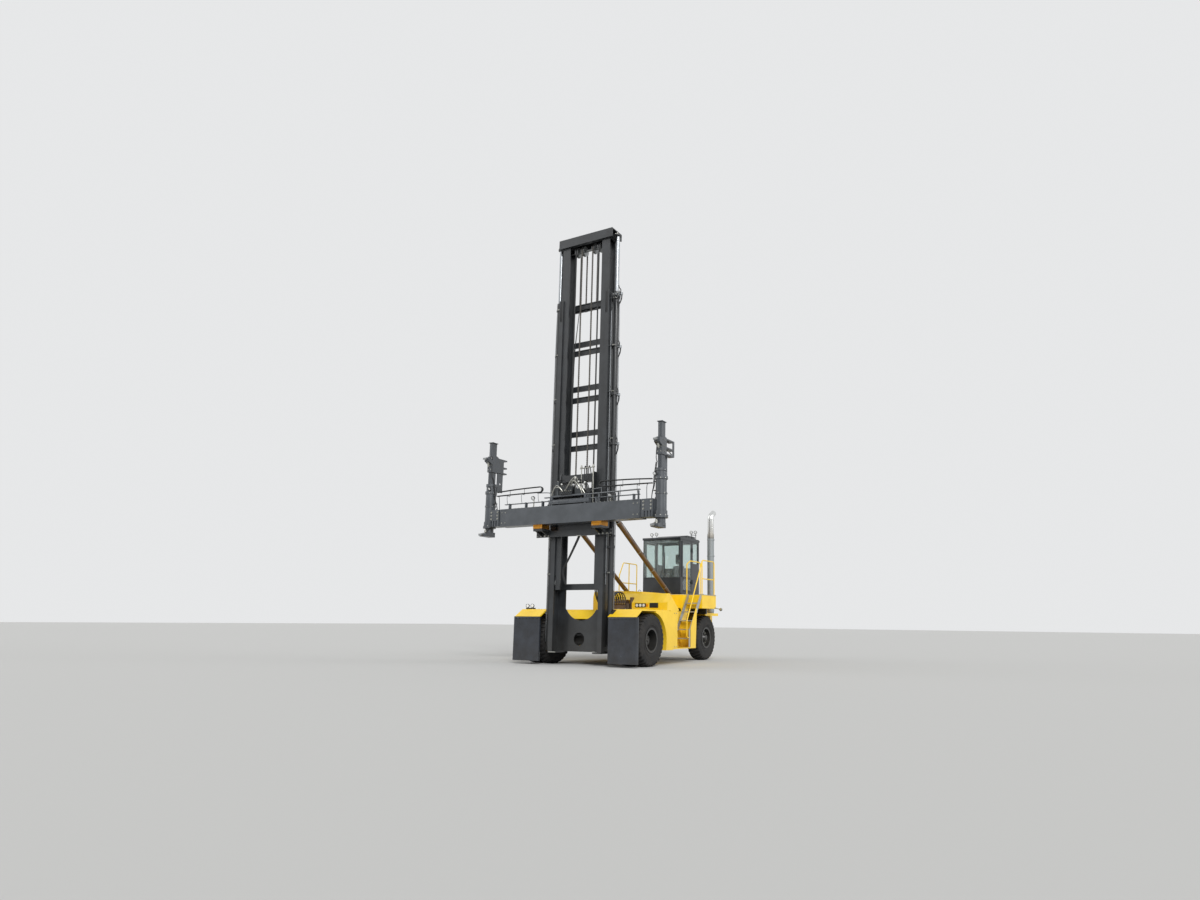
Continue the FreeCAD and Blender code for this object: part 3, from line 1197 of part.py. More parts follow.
def guide_roller(x0, z, r, width):
    # flanged steel roller with a bore for its stub
    p = ROLLER_PIN_R + SEAT
    prof = [(0, p), (0, r - 12), (10, r), (width - 10, r), (width, r - 12), (width, p)]
    return turned(prof, (x0, ROLLER_Y, z), "x")


def mast_rollers():
    # one pair of guide rollers at the outer mast's top, one at the inner mast's foot
    upper = []
    lower = []
    w = MAST_OUT - OUTER_T - 2 - (POCKET_X0 + 8)
    z = INNER_Z0 + NOTCH_H / 2 - 10
    for s in (1, -1):
        upper.append(side(guide_roller(POCKET_X0 + 8, OUTER_Z1 - 200, ROLLER_R, w), s))
        lower.append(side(guide_roller(POCKET_X0 + SEAT, z, FOOT_ROLLER_R, w), s))
    return upper, lower


def top_beam():
    # box beam on the inner rails, open at its ends and underneath, with a cap over each lift rod
    z0 = INNER_Z1 - 5
    z1 = BEAM_Z1
    yf = MAST_FRONT - 20
    yb = -290
    x = BEAM_X
    parts = [box(-x, x, yf, yb, z1 - 24, z1), box(-x, x, yf, yf + 36, z0, z1)]
    parts.append(box(-x, x, yb - 36, yb, z0 + 70, z1))
    parts.append(box(-x, x, yf, yf + 130, z0, z0 + 22))
    zc = INNER_Z1 + 60
    for s in (1, -1):
        cap = prism_z([(INNER_OUT - 20, -740), (ROD_CAP_X - 60, -740), (ROD_CAP_X, -680), (ROD_CAP_X, -560),
                       (ROD_CAP_X - 60, -500), (INNER_OUT - 20, -500)], zc, zc + 45)
        rib = prism_y([(x - 2, zc + 40), (ROD_CAP_X - 50, zc + 40), (x - 2, z1 - 20)], -632, -608)
        end = box(x - 30, x, -560, yb, z0 + 60, z1)
        cheek = box(INNER_OUT - 40, INNER_OUT, yf, yb, z0, z1)
        inner = box(INNER_IN, INNER_IN + 30, yf, yb, z0, z1)
        parts += [side(q, s) for q in (cap, rib, end, cheek, inner)]
    return fuse(*parts)


def chain_wheels():
    # four wheels under the top beam on one shaft, and the inner mast's foot rollers
    y = WHEEL_Y
    z = INNER_Z1 + WHEEL_Z
    x1 = INNER_WEB - INNER_T / 2 - SEAT
    shaft = rod((-x1, y, z), (x1, y, z), 40)
    wheels = []
    for x in (-HOSE_X, -CHAIN_X, CHAIN_X, HOSE_X):
        w = turned([(-45, 0), (-45, CHAIN_R + 14), (-34, CHAIN_R + 14), (-27, CHAIN_R - 12),
                    (27, CHAIN_R - 12), (34, CHAIN_R + 14), (45, CHAIN_R + 14), (45, 0)], (x, y, z), "x")
        wheels.append(w)
    upper, lower = mast_rollers()
    save("chain_wheels", fuse(shaft, *wheels), *lower)
    save("mast_rollers", *upper)


def lift_chains():
    # a chain each side: up from the outer mast, over its wheel, down to the carriage
    z1 = INNER_Z1 + WHEEL_Z
    w = CHAIN_W / 2
    t = CHAIN_T / 2
    top = OUTER_Z1 - 300
    rear = []
    front = []
    for x in (-CHAIN_X, CHAIN_X):
        yr = WHEEL_Y + CHAIN_R
        yf = WHEEL_Y - CHAIN_R
        rear.append(box(x - w, x + w, yr - t, yr + t, top + 50 + SEAT, z1))
        front.append(box(x - w, x + w, yf - t, yf + t, CHAIN_FOOT_Z + SEAT, z1))
    save("chains_rear", *rear)
    save("chains_front", *front)


# --- tilt cylinders ---------------------------------------------------------
def tilt_line():
    a = V(0, TILT_LUG_Y, TILT_LUG_Z)
    b = V(0, TILT_EYE_Y, TILT_EYE_Z)
    u = b - a
    length = u.Length
    u.normalize()
    return a, u, length


def tilt_barrel(s):
    tag = "left" if s > 0 else "right"
    a, u, length = tilt_line()
    a = a + V(TILT_X, 0, 0)
    head = length - TILT_OPEN
    p = a + u * 190
    q = a + u * head
    body = rod(tuple(p), tuple(q), TILT_R)
    body = body.fuse(rod(tuple(a + u * 50), tuple(a + u * 200), TILT_EYE_W / 2 - 4))
    gland = rod(tuple(a + u * (head - 140)), tuple(a + u * (head + 10)), TILT_R + 10)
    eye = rod((TILT_X - TILT_EYE_W / 2, a.y, a.z), (TILT_X + TILT_EYE_W / 2, a.y, a.z), TILT_EYE_R)
    body = fuse(body, gland, eye)
    bore = rod(tuple(a + u * (head - 900)), tuple(a + u * (head + 11)), TILT_ROD_R + SEAT)
    hole = rod((TILT_X - 80, a.y, a.z), (TILT_X + 80, a.y, a.z), TILT_PIN_R + SEAT)
    save("tilt_barrel_" + tag, side(cut(body, bore, hole), s))


def tilt_rod(s):
    tag = "left" if s > 0 else "right"
    a, u, length = tilt_line()
    a = a + V(TILT_X, 0, 0)
    b = a + u * length
    head = length - TILT_OPEN
    body = rod(tuple(a + u * (head - 480)), tuple(b - u * 60), TILT_ROD_R)
    eye = rod((TILT_X - TILT_EYE_W / 2, b.y, b.z), (TILT_X + TILT_EYE_W / 2, b.y, b.z), TILT_EYE_R)
    hole = rod((TILT_X - 80, b.y, b.z), (TILT_X + 80, b.y, b.z), TILT_PIN_R + TILT_PLAY)
    save("tilt_rod_" + tag, side(fuse(body, eye).cut(hole), s))


def lug_pins():
    out = []
    for s in (1, -1):
        x0 = TILT_X - TILT_EYE_W / 2 - 5 - LUG_T - 12
        x1 = TILT_X + TILT_EYE_W / 2 + 5 + LUG_T + 12
        out.append(side(rod((x0, TILT_LUG_Y, TILT_LUG_Z), (x1, TILT_LUG_Y, TILT_LUG_Z), TILT_PIN_R), s))
    return out


# --- carriage ---------------------------------------------------------------
def carriage():
    f = CARR_FRONT
    parts = []
    side_plate = [(CARR_BACK, ROLLER_Z0 - 130), (CARR_BACK, ROLLER_Z1 + 130), (-700, CARR_Z1),
                  (-940, CARR_Z1), (-985, CARR_Z1 - 200), (-985, CARR_Z0 + 20), (-925, CARR_Z0 + 20),
                  (-880, ROLLER_Z0 - 130)]
    for s in (1, -1):
        parts.append(side(prism_x(side_plate, PLATE_X - PLATE_T, PLATE_X), s))
    z1 = CARR_Z0 + CROSS_H
    parts.append(box(-CROSS_X, CROSS_X, f, f + CROSS_T, CARR_Z0, z1))
    parts.append(box(-PLATE_X, PLATE_X, f + CROSS_T - 5, -945, CARR_Z0 + 20, CARR_Z1 - 500))
    parts.append(box(-1150, 1150, f, f + CROSS_T, SP_Z1 - 260, SP_Z1 - 60))
    parts.append(box(-PLATE_X, PLATE_X, -940, -900, CARR_Z1 - 260, CARR_Z1 - 60))
    # anchor beam of the lift chains
    parts.append(box(-PLATE_X + 5, PLATE_X - 5, WHEEL_Y - CHAIN_R - 45, WHEEL_Y - CHAIN_R + 45,
                     CHAIN_FOOT_Z - 110, CHAIN_FOOT_Z))
    for s in (1, -1):
        x0 = PAD_X - PAD_W / 2
        x1 = PAD_X + PAD_W / 2
        parts.append(side(box(x0, x1, SP_FRONT + 30, f + 30, z1 - 30, z1 + 40), s))
        gusset = [(SP_FRONT + 60, z1 - 25), (f + 5, z1 - 25), (f + 5, CARR_Z0 + 20)]
        parts.append(side(prism_x(gusset, x0 + 40, x0 + 70), s))
        parts.append(side(prism_x(gusset, x1 - 70, x1 - 40), s))
        for z in (ROLLER_Z0, ROLLER_Z1):
            parts.append(side(rod((PLATE_X - 2, ROLLER_Y, z), (ROLLER_X0 + ROLLER_W + 10, ROLLER_Y, z),
                                  ROLLER_PIN_R), s))
    save("carriage", fuse(*parts))


def carriage_rollers():
    out = []
    for s in (1, -1):
        for z in (ROLLER_Z0, ROLLER_Z1):
            out.append(side(guide_roller(ROLLER_X0, z, ROLLER_R, ROLLER_W), s))
    save("carriage_rollers", *out)


def slide_pads():
    # bronze pads under the spreader and behind its upper edge
    out = []
    z = CARR_Z0 + CROSS_H + 40
    for s in (1, -1):
        x0 = PAD_X - PAD_W / 2
        x1 = PAD_X + PAD_W / 2
        out.append(side(box(x0, x1, SP_FRONT + 20, SP_BACK - 10, z + SEAT, SP_Z0 - SEAT), s))
        out.append(side(box(x0, x1 - 60, SP_BACK + SEAT, CARR_FRONT - SEAT, SP_Z1 - 240, SP_Z1 - 80), s))
    save("slide_pads", *out)


# --- spreader ---------------------------------------------------------------
def spreader_box():
    x = SP_X
    w = SP_WALL
    mid = (SP_FRONT + SP_BACK) / 2
    body = box(-x, x, SP_FRONT, SP_BACK, SP_Z0, SP_Z1)
    cells = [box(-x - 1, x + 1, SP_FRONT + w, mid - w / 2, SP_Z0 + w, SP_Z1 - w),
             box(-x - 1, x + 1, mid + w / 2, SP_BACK - w, SP_Z0 + w, SP_Z1 - w)]
    body = cut(body, *cells)
    # wear strips that the beams slide on, at each mouth
    parts = [body]
    h = ARM_GAP - SEAT
    for s in (1, -1):
        if s > 0:
            ya = SP_FRONT + w + 20
            yb = mid - w / 2 - 20
        else:
            ya = mid + w / 2 + 20
            yb = SP_BACK - w - 20
        for xa in (s * (x - 260), s * (x - 1500)):
            parts.append(box(xa, xa + s * 220, ya, yb, SP_Z0 + w - 2, SP_Z0 + w + h))
            parts.append(box(xa, xa + s * 220, ya, yb, SP_Z1 - w - h, SP_Z1 - w + 2))
    for x0, x1 in ((-1100, -700), (700, 1100)):
        parts.append(box(x0, x1, SP_BACK - 40, SP_BACK, SP_Z1 - 5, SP_Z1 + 60))
    parts.append(box(-620, -560, SP_FRONT + 60, SP_BACK - 20, SP_Z1 - 5, SP_Z1 + 300))
    parts.append(box(560, 620, SP_FRONT + 60, SP_BACK - 20, SP_Z1 - 5, SP_Z1 + 300))
    parts.append(box(-620, 620, SP_FRONT + 60, SP_BACK - 20, SP_Z1 + 260, SP_Z1 + 300))
    save("spreader_box", fuse(*parts))


def spreader_valves():
    z = SP_Z1 + 300 + SEAT
    y0 = SP_FRONT + 90
    y1 = SP_BACK - 60
    block = box(-330, 120, y0, y1, z, z + 240)
    mani = box(180, 420, y0 + 40, y1 - 20, z, z + 170)
    acc = rod((-480, (y0 + y1) / 2, z), (-480, (y0 + y1) / 2, z + 420), 80)
    save("spreader_valves", block, mani, acc)


def arm(s):
    # telescopic beam in its own cell, end block and the column with its foot
    tag = "left" if s > 0 else "right"
    w = SP_WALL
    mid = (SP_FRONT + SP_BACK) / 2
    if s > 0:
        y0 = SP_FRONT + w + ARM_GAP
        y1 = mid - w / 2 - ARM_GAP
    else:
        y0 = mid + w / 2 + ARM_GAP
        y1 = SP_BACK - w - ARM_GAP
    z0 = SP_Z0 + w + ARM_GAP
    z1 = SP_Z1 - w - ARM_GAP
    t = ARM_WALL
    tube = box(-SP_X + 60, BLOCK_X0 + 20, y0, y1, z0, z1)
    tube = tube.cut(box(-SP_X, BLOCK_X0 + 1, y0 + t, y1 - t, z0 + t, z1 - t))
    block = box(BLOCK_X0, ARM_END, SP_FRONT + 4, SP_BACK - 4, SP_Z0 + 20, SP_Z1 - 5)
    for k in range(3):
        xa = BLOCK_X0 + 75 + k * 95
        block = block.cut(box(xa, xa + 45, SP_FRONT, SP_FRONT + 40, SP_Z0, SP_Z0 + 190))
    c = (COL_X, COL_Y)
    link = box(ARM_END - 5, COL_X, COL_Y - 100, COL_Y + 110, SP_Z0 + 40, SP_Z1 - 20)
    col = rod((*c, COL_Z0), (*c, COL_Z1), COL_R)
    # forged flange at the foot, a clamp ring in the middle and two rings of the collar
    rings = [(COL_Z0 - 8, COL_Z0 + 60, 42), (COL_Z0 + 60, COL_Z0 + 190, 22), (COL_Z1 - 470, COL_Z1 - 425, 12),
             (COL_Z1 - 60, COL_Z1 + 20, 26), (COL_Z1 + 20, COLLAR_Z1 - 80, -6), (COLLAR_Z1 - 80, COLLAR_Z1, 8)]
    for za, zb, extra in rings:
        col = col.fuse(rod((*c, za), (*c, zb), COL_R + extra))
    stub = rod((*c, FOOT_Z0 + 60), (*c, COL_Z0 + 5), COL_R - 28)
    yf = COL_Y - FOOT_REACH + LOCK_OUT
    foot = prism_x([(COL_Y - 110, FOOT_Z0 + FOOT_T + 60), (yf, FOOT_Z0 + FOOT_T), (yf, FOOT_Z0),
                    (COL_Y + 110, FOOT_Z0), (COL_Y + 110, FOOT_Z0 + FOOT_T + 60)], COL_X - 140, COL_X + 95)
    px0 = COL_X - POST_W / 2
    py0 = COL_Y - POST_D / 2
    post = box(px0, px0 + POST_W, py0, py0 + POST_D, COLLAR_Z1 - 5, POST_Z1)
    cap = box(px0 - 25, px0 + POST_W + 25, py0 - 25, py0 + POST_D + 25, POST_Z1 - 2, POST_Z1 + 20)
    lower = fuse(block, link, col, stub, foot, post, cap)
    if s > 0:
        save("arm_" + tag, fuse(tube, lower))
    else:
        tube_m = flip(tube)
        save("arm_" + tag, fuse(tube_m, flip(lower)))


def head(s):
    # upper corner head that slides on the post, with its hanging guide plate
    tag = "left" if s > 0 else "right"
    px0 = COL_X - POST_W / 2
    py0 = COL_Y - POST_D / 2
    g = HEAD_GAP
    t = 24
    z0 = HEAD_Z0
    z1 = HEAD_Z1
    sleeve = box(px0 - g - t, px0 + POST_W + g + t, py0 - g - t, py0 + POST_D + g + t, z0, z1)
    sleeve = sleeve.cut(box(px0 - g, px0 + POST_W + g, py0 - g, py0 + POST_D + g, z0 - 1, z1 + 1))
    for za in (z0 + 20, z1 - 120):
        # wear strips on the sleeve's inner faces
        sleeve = sleeve.fuse(box(px0 - g - 2, px0 - SEAT, py0 + 20, py0 + POST_D - 20, za, za + 100))
        sleeve = sleeve.fuse(box(px0 + POST_W + SEAT, px0 + POST_W + g + 2, py0 + 20, py0 + POST_D - 20,
                                 za, za + 100))
        sleeve = sleeve.fuse(box(px0 + 20, px0 + POST_W - 20, py0 - g - 2, py0 - SEAT, za, za + 100))
        sleeve = sleeve.fuse(box(px0 + 20, px0 + POST_W - 20, py0 + POST_D + SEAT, py0 + POST_D + g + 2,
                                 za, za + 100))
    xo = px0 - g - t
    xi = px0 + POST_W + g + t
    back = py0 + POST_D + g + t
    frame = []
    for za in (z0 + 20, z0 + 200, z1 - 60):
        frame.append(box(xo, xi, back - 5, back + 460, za, za + 40))
    frame.append(box(xo, xo + t, back - 5, back + 300, z0 + 20, z1 - 20))
    frame.append(prism_x([(back + 380, z0 + 20), (back + 460, z0 + 20), (back + 460, z1 - 60),
                          (back + 380, z1 - 20)], xi - t, xi))
    nose = prism_x([(py0 - g - t + 5, z1 - 30), (py0 - g - t - 150, z1 - 60), (py0 - g - t - 150, z1 - 180),
                    (py0 - g - t + 5, z1 - 260)], xo, xi)
    plate = box(xo + 20, xo + 44, COL_Y + COL_R + AIR, back + 300, COLLAR_Z1 - 210, z0 + 30)
    plate = plate.cut(rod((xo - 5, back + 190, COLLAR_Z1 + 60), (xo + 60, back + 190, COLLAR_Z1 + 60), 34))
    save("head_" + tag, side(fuse(sleeve, nose, plate, *frame), s))


def locks(s):
    # lower and upper side locks that turn in the corner castings
    tag = "left" if s > 0 else "right"
    cx = COL_X - 27.5
    z = FOOT_Z0 + 42
    y = COL_Y - FOOT_REACH + LOCK_OUT
    shank = rod((cx, y - SEAT, z), (cx, y - 90, z), LOCK_R)
    tip = box(cx - 60, cx + 60, y - 120, y - 88, z - 28, z + 28)
    save("lock_lower_" + tag, side(fuse(shank, tip), s))
    g = HEAD_GAP
    py0 = COL_Y - POST_D / 2
    y = py0 - g - 24 - 150
    z = HEAD_Z1 - 120
    shank = rod((COL_X, y - SEAT, z), (COL_X, y - 80, z), LOCK_R)
    tip = box(COL_X - 60, COL_X + 60, y - 110, y - 78, z - 28, z + 28)
    save("lock_upper_" + tag, side(fuse(shank, tip), s))


def build():
    for s in (1, -1):
        drive_wheels(s)
        steer_wheel(s)
        knuckle(s)
        door(s)
        tilt_barrel(s)
        tilt_rod(s)
        arm(s)
        head(s)
        locks(s)
    drive_axle()
    steer_axle()
    main_frame()
    save("powertrain", engine(), transmission(), hydraulics())
    mudguards()
    save("fenders", fender(1), fender(-1))
    save("cowls", cowl(), front_deck(), hood_sides())
    lamps()
    hood()
    save("side_bodies", side_body_left(), side_body_right())
    save("platforms", platform(1), platform(-1), rear_deck(), centre_deck())
    deck_plates()
    stairs()
    counterweight()
    exhaust()
    save("handrails", *handrail_left(), handrail_right())
    cab_shell()
    cab_glass()
    cab_inside()
    outer_mast()
    save("hinge_pins", *mast_pins(), *lug_pins())
    lift_barrels()
    lift_rods()
    lift_chains()
    inner_mast()
    chain_wheels()
    carriage()
    carriage_rollers()
    slide_pads()
    spreader_box()
    spreader_valves()


build()
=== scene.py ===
import math
import bmesh
import bpy
from mathutils import Matrix, Vector


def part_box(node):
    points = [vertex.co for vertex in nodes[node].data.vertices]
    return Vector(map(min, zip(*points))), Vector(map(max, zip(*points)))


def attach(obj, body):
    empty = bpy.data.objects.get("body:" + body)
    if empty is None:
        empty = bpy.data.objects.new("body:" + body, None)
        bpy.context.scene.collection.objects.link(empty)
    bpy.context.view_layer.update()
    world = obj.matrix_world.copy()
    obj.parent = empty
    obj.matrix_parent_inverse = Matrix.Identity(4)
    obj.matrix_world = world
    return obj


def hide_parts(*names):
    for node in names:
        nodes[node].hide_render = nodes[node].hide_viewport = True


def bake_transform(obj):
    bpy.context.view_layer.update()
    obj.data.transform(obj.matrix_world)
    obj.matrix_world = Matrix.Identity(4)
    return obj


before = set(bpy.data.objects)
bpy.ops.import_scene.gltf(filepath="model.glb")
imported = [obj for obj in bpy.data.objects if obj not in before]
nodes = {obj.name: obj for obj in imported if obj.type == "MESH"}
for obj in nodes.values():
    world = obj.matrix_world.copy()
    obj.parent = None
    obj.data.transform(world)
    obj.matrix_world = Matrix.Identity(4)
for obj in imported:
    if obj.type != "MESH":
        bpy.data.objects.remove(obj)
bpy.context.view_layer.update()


# --- Studio -----------------------------------------------------------------
# A pale seamless floor, an even pale surround and three broad, even lights. The camera stands
# low in front of the machine's left corner and looks up along the mast.
EYE_AZIMUTH = math.radians(28.76)
EYE_PITCH = math.radians(10.31)
EYE_ROLL = math.radians(0.59)
EYE_DISTANCE = 22.62
EYE_TARGET = Vector((2.24, -2.16, 5.31))
FOCAL_SHARE = 770.5 / 1200          # focal length as a share of the picture's width
CENTRE_SHIFT = (-58.1 / 1200, 31.6 / 1200)
FLOOR_REACH = 160.0
scene = bpy.context.scene


def linear(hex_colour):
    # sRGB hex to linear RGBA
    channels = [int(hex_colour[i:i + 2], 16) / 255 for i in (1, 3, 5)]
    return [c / 12.92 if c <= 0.04045 else ((c + 0.055) / 1.055) ** 2.4 for c in channels] + [1.0]


def add_node(tree, kind, sockets=None, **settings):
    # one node with its settings, its values and the sockets that feed it
    node = tree.nodes.new(kind)
    for key, value in settings.items():
        setattr(node, key, value)
    for name, value in (sockets or {}).items():
        if isinstance(value, bpy.types.NodeSocket):
            tree.links.new(value, node.inputs[name])
        else:
            node.inputs[name].default_value = value
    return node


def show(name, data):
    # puts a mesh, a lamp or a camera into the scene
    obj = bpy.data.objects.new(name, data)
    scene.collection.objects.link(obj)
    return obj


def set_camera():
    ahead = Vector((-math.sin(EYE_AZIMUTH) * math.cos(EYE_PITCH),
                    math.cos(EYE_AZIMUTH) * math.cos(EYE_PITCH), math.sin(EYE_PITCH)))
    right = Vector((math.cos(EYE_AZIMUTH), math.sin(EYE_AZIMUTH), 0.0))
    up = right.cross(ahead)
    c = math.cos(EYE_ROLL)
    s = math.sin(EYE_ROLL)
    right, up = c * right + s * up, c * up - s * right
    lens = bpy.data.cameras.new("eye")
    lens.sensor_width = 36.0
    lens.lens = FOCAL_SHARE * lens.sensor_width
    lens.shift_x, lens.shift_y = CENTRE_SHIFT
    lens.clip_end = 400.0
    eye = show("eye", lens)
    turn = Matrix((right, up, -ahead)).transposed().to_4x4()
    eye.matrix_world = Matrix.Translation(EYE_TARGET - ahead * EYE_DISTANCE) @ turn
    scene.camera = eye


def soft_sun(name, place, strength, spread):
    # a broad, even light that comes from the direction of a place
    light = bpy.data.lights.new(name, "SUN")
    light.energy = strength
    light.angle = math.radians(spread)
    lamp = show(name, light)
    lamp.location = place
    lamp.rotation_euler = (-Vector(place)).to_track_quat("-Z", "Y").to_euler()


def set_floor():
    mesh = bpy.data.meshes.new("floor")
    r = FLOOR_REACH
    mesh.from_pydata([(-r, -r, 0), (r, -r, 0), (r, r, 0), (-r, r, 0)], [], [(0, 1, 2, 3)])
    paper = bpy.data.materials.new("matt_floor_paper")
    paper.use_nodes = True
    coat = paper.node_tree.nodes["Principled BSDF"]
    coat.inputs["Base Color"].default_value = linear("#c4c4c2")
    coat.inputs["Roughness"].default_value = 0.9
    mesh.materials.append(paper)
    show("floor", mesh)


def set_world():
    # the surround lights evenly; what the eye and the gloss see of it is a touch brighter
    world = bpy.data.worlds.new("surround")
    world.use_nodes = True
    tree = world.node_tree
    tree.nodes.clear()
    ray = add_node(tree, "ShaderNodeLightPath").outputs
    seen = ray["Is Camera Ray"]
    for kind in ("Is Glossy Ray", "Is Transmission Ray"):
        seen = add_node(tree, "ShaderNodeMath", {0: seen, 1: ray[kind]}, operation="MAXIMUM").outputs[0]
    level = add_node(tree, "ShaderNodeMapRange", {"Value": seen, "To Min": 0.45, "To Max": 0.88})
    pale = add_node(tree, "ShaderNodeBackground", {"Color": linear("#f4f5f6"), "Strength": level.outputs[0]})
    add_node(tree, "ShaderNodeOutputWorld", {"Surface": pale.outputs[0]})
    scene.world = world


set_camera()
set_floor()
set_world()
soft_sun("key_light", (16, -20, 16), 2.3, 24)
soft_sun("side_light", (20, 6, 9), 0.8, 30)
soft_sun("fill_light", (-18, -10, 12), 0.6, 40)
scene.view_settings.view_transform = "Standard"


# --- Tyres ------------------------------------------------------------------
# Cross-ply port tyres, 1.49 m high: black natural rubber moulded in one piece, with deep
# slanted lugs that run from the crown over the shoulder, and ribbed sidewalls.
LUGS = 34
LUG_DEPTH = 0.030
LUG_DESIGN_HALF = 0.215             # half tread width that the lug's stations are drawn for
SIDEWALL_RIBS = (0.43, 0.475, 0.60)
TYRE_STEPS = 96
BEAD_RADIUS = 0.318


def keep(name, bm, material, slot_name, body, *instead, smooth=35.0):
    # closes a piece: its mesh with its sharp edges kept sharp, its finish, the CAD nodes it stands
    # for and its body (none for a piece that is stretched between two)
    mesh = bpy.data.meshes.new(name)
    bm.to_mesh(mesh)
    bm.free()
    mesh.materials.append(material)
    piece = show(name, mesh)
    mesh.shade_smooth()
    mesh.set_sharp_from_angle(angle=math.radians(smooth))
    if instead:
        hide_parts(*instead)
    if body:
        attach(piece, body)
    return piece


def base_coat(name, constants):
    # the start of a finish: its material, node tree, shader and the object's own coordinates
    material = bpy.data.materials.new(name)
    material.use_nodes = True
    tree = material.node_tree
    coat = tree.nodes["Principled BSDF"]
    for socket, value in constants.items():
        coat.inputs[socket].default_value = value
    return material, tree, coat, add_node(tree, "ShaderNodeTexCoord").outputs["Object"]


def weather(tree, coat, pattern, tones, share=None, dull=None, dull_from=(0.0, 1.0), relief=None):
    # one pattern mixes two tones, over its share span, and sets the roughness over its dull_from
    # span; relief gives a bump's height, strength and distance
    part = pattern
    if share:
        part = add_node(tree, "ShaderNodeMapRange", {"Value": pattern, "From Min": share[0],
                                                     "From Max": share[1]}).outputs[0]
    tone = add_node(tree, "ShaderNodeMix", {0: part, 6: linear(tones[0]), 7: linear(tones[1])},
                    data_type="RGBA")
    tree.links.new(tone.outputs[2], coat.inputs["Base Color"])
    if dull:
        gloss = add_node(tree, "ShaderNodeMapRange", {
            "Value": pattern, "From Min": dull_from[0], "From Max": dull_from[1], "To Min": dull[0],
            "To Max": dull[1]})
        tree.links.new(gloss.outputs[0], coat.inputs["Roughness"])
    if relief:
        bump = add_node(tree, "ShaderNodeBump", dict(zip(("Height", "Strength", "Distance"), relief)))
        tree.links.new(bump.outputs[0], coat.inputs["Normal"])
    return tone.outputs[2]


def revolve(bm, profile, centre, steps):
    # a closed ring of (x, radius) points turned about a wheel's axle
    rings = []
    for k in range(steps):
        a = 2 * math.pi * k / steps
        rings.append([bm.verts.new((centre[0] + x, centre[1] + r * math.cos(a), centre[2] + r * math.sin(a)))
                      for x, r in profile])
    for k in range(steps):
        here = rings[k]
        there = rings[(k + 1) % steps]
        for j in range(len(profile)):
            n = (j + 1) % len(profile)
            bm.faces.new((here[j], here[n], there[n], there[j]))


def tyre_lug(half_width, radius):
    # one lug: a slanted bar across half the tread that turns down over the shoulder
    bm = bmesh.new()
    stations = ((0.010, 0.0, 0.000, 0.026), (0.100, 0.002, 0.016, 0.029), (0.165, 0.012, 0.030, 0.033),
                (0.196, 0.032, 0.038, 0.036), (0.209, 0.062, 0.042, 0.037), (0.2115, 0.105, 0.042, 0.030))
    taper = 0.006
    rows = []
    for x, drop, slant, half in stations:
        x = x * half_width / LUG_DESIGN_HALF
        top = radius - drop - 0.001
        foot = top - LUG_DEPTH - 0.012
        rows.append([bm.verts.new(corner) for corner in (
            (x, slant - half, foot), (x, slant - half + taper, top),
            (x, slant + half - taper, top), (x, slant + half, foot))])
    for a, b in zip(rows, rows[1:]):
        for j in range(3):
            bm.faces.new((a[j], a[j + 1], b[j + 1], b[j]))
    bm.faces.new(rows[0])
    bm.faces.new(list(reversed(rows[-1])))
    bmesh.ops.recalc_face_normals(bm, faces=bm.faces)
    return bm


def copy_tree(name, sockets, lay_out):
    # Geometry Nodes: copies of a part on the points that lay_out makes from the tree's inputs
    tree = bpy.data.node_groups.new(name, "GeometryNodeTree")
    for label, kind in sockets.items():
        tree.interface.new_socket(label, in_out="INPUT", socket_type="NodeSocket" + kind)
    tree.interface.new_socket("Geometry", in_out="OUTPUT", socket_type="NodeSocketGeometry")
    given = add_node(tree, "NodeGroupInput").outputs
    points, turn = lay_out(tree, given)
    part = add_node(tree, "GeometryNodeObjectInfo", {"Object": given["Part"]})
    placed = add_node(tree, "GeometryNodeInstanceOnPoints", {
        "Points": points, "Instance": part.outputs["Geometry"], "Rotation": turn})
    solid = add_node(tree, "GeometryNodeRealizeInstances", {"Geometry": placed.outputs[0]})
    add_node(tree, "NodeGroupOutput", {"Geometry": solid.outputs[0]})
    return tree


def round_an_axle(tree, given):
    # a full ring of points on one spot, each turned a step further
    points = add_node(tree, "GeometryNodePoints", {"Count": given["Count"]})
    index = add_node(tree, "GeometryNodeInputIndex")
    step = add_node(tree, "ShaderNodeMath", {0: 2 * math.pi, 1: given["Count"]}, operation="DIVIDE")
    angle = add_node(tree, "ShaderNodeMath", {0: index.outputs[0], 1: step.outputs[0], 2: given["First"]},
                     operation="MULTIPLY_ADD")
    return points.outputs[0], add_node(tree, "ShaderNodeCombineXYZ", {"X": angle.outputs[0]}).outputs[0]


def set_copies(bm, tree, place=None, **values):
    # runs a node tree on an empty mesh and adds what it makes to a piece
    host = show("copies", bpy.data.meshes.new("copies"))
    modifier = host.modifiers.new("copies", "NODES")
    modifier.node_group = tree
    for item in tree.interface.items_tree:
        if item.in_out == "INPUT" and item.name in values:
            modifier[item.identifier] = values[item.name]
    host.update_tag()
    bpy.context.view_layer.update()
    made = bpy.data.meshes.new_from_object(host.evaluated_get(bpy.context.evaluated_depsgraph_get()))
    if place:
        made.transform(place)
    bm.from_mesh(made)
    bpy.data.objects.remove(host)
    bpy.data.meshes.remove(made)


def pattern_part(bm, name):
    # an unseen part that a node tree copies
    mesh = bpy.data.meshes.new(name)
    bm.to_mesh(mesh)
    bm.free()
    return bpy.data.objects.new(name, mesh)


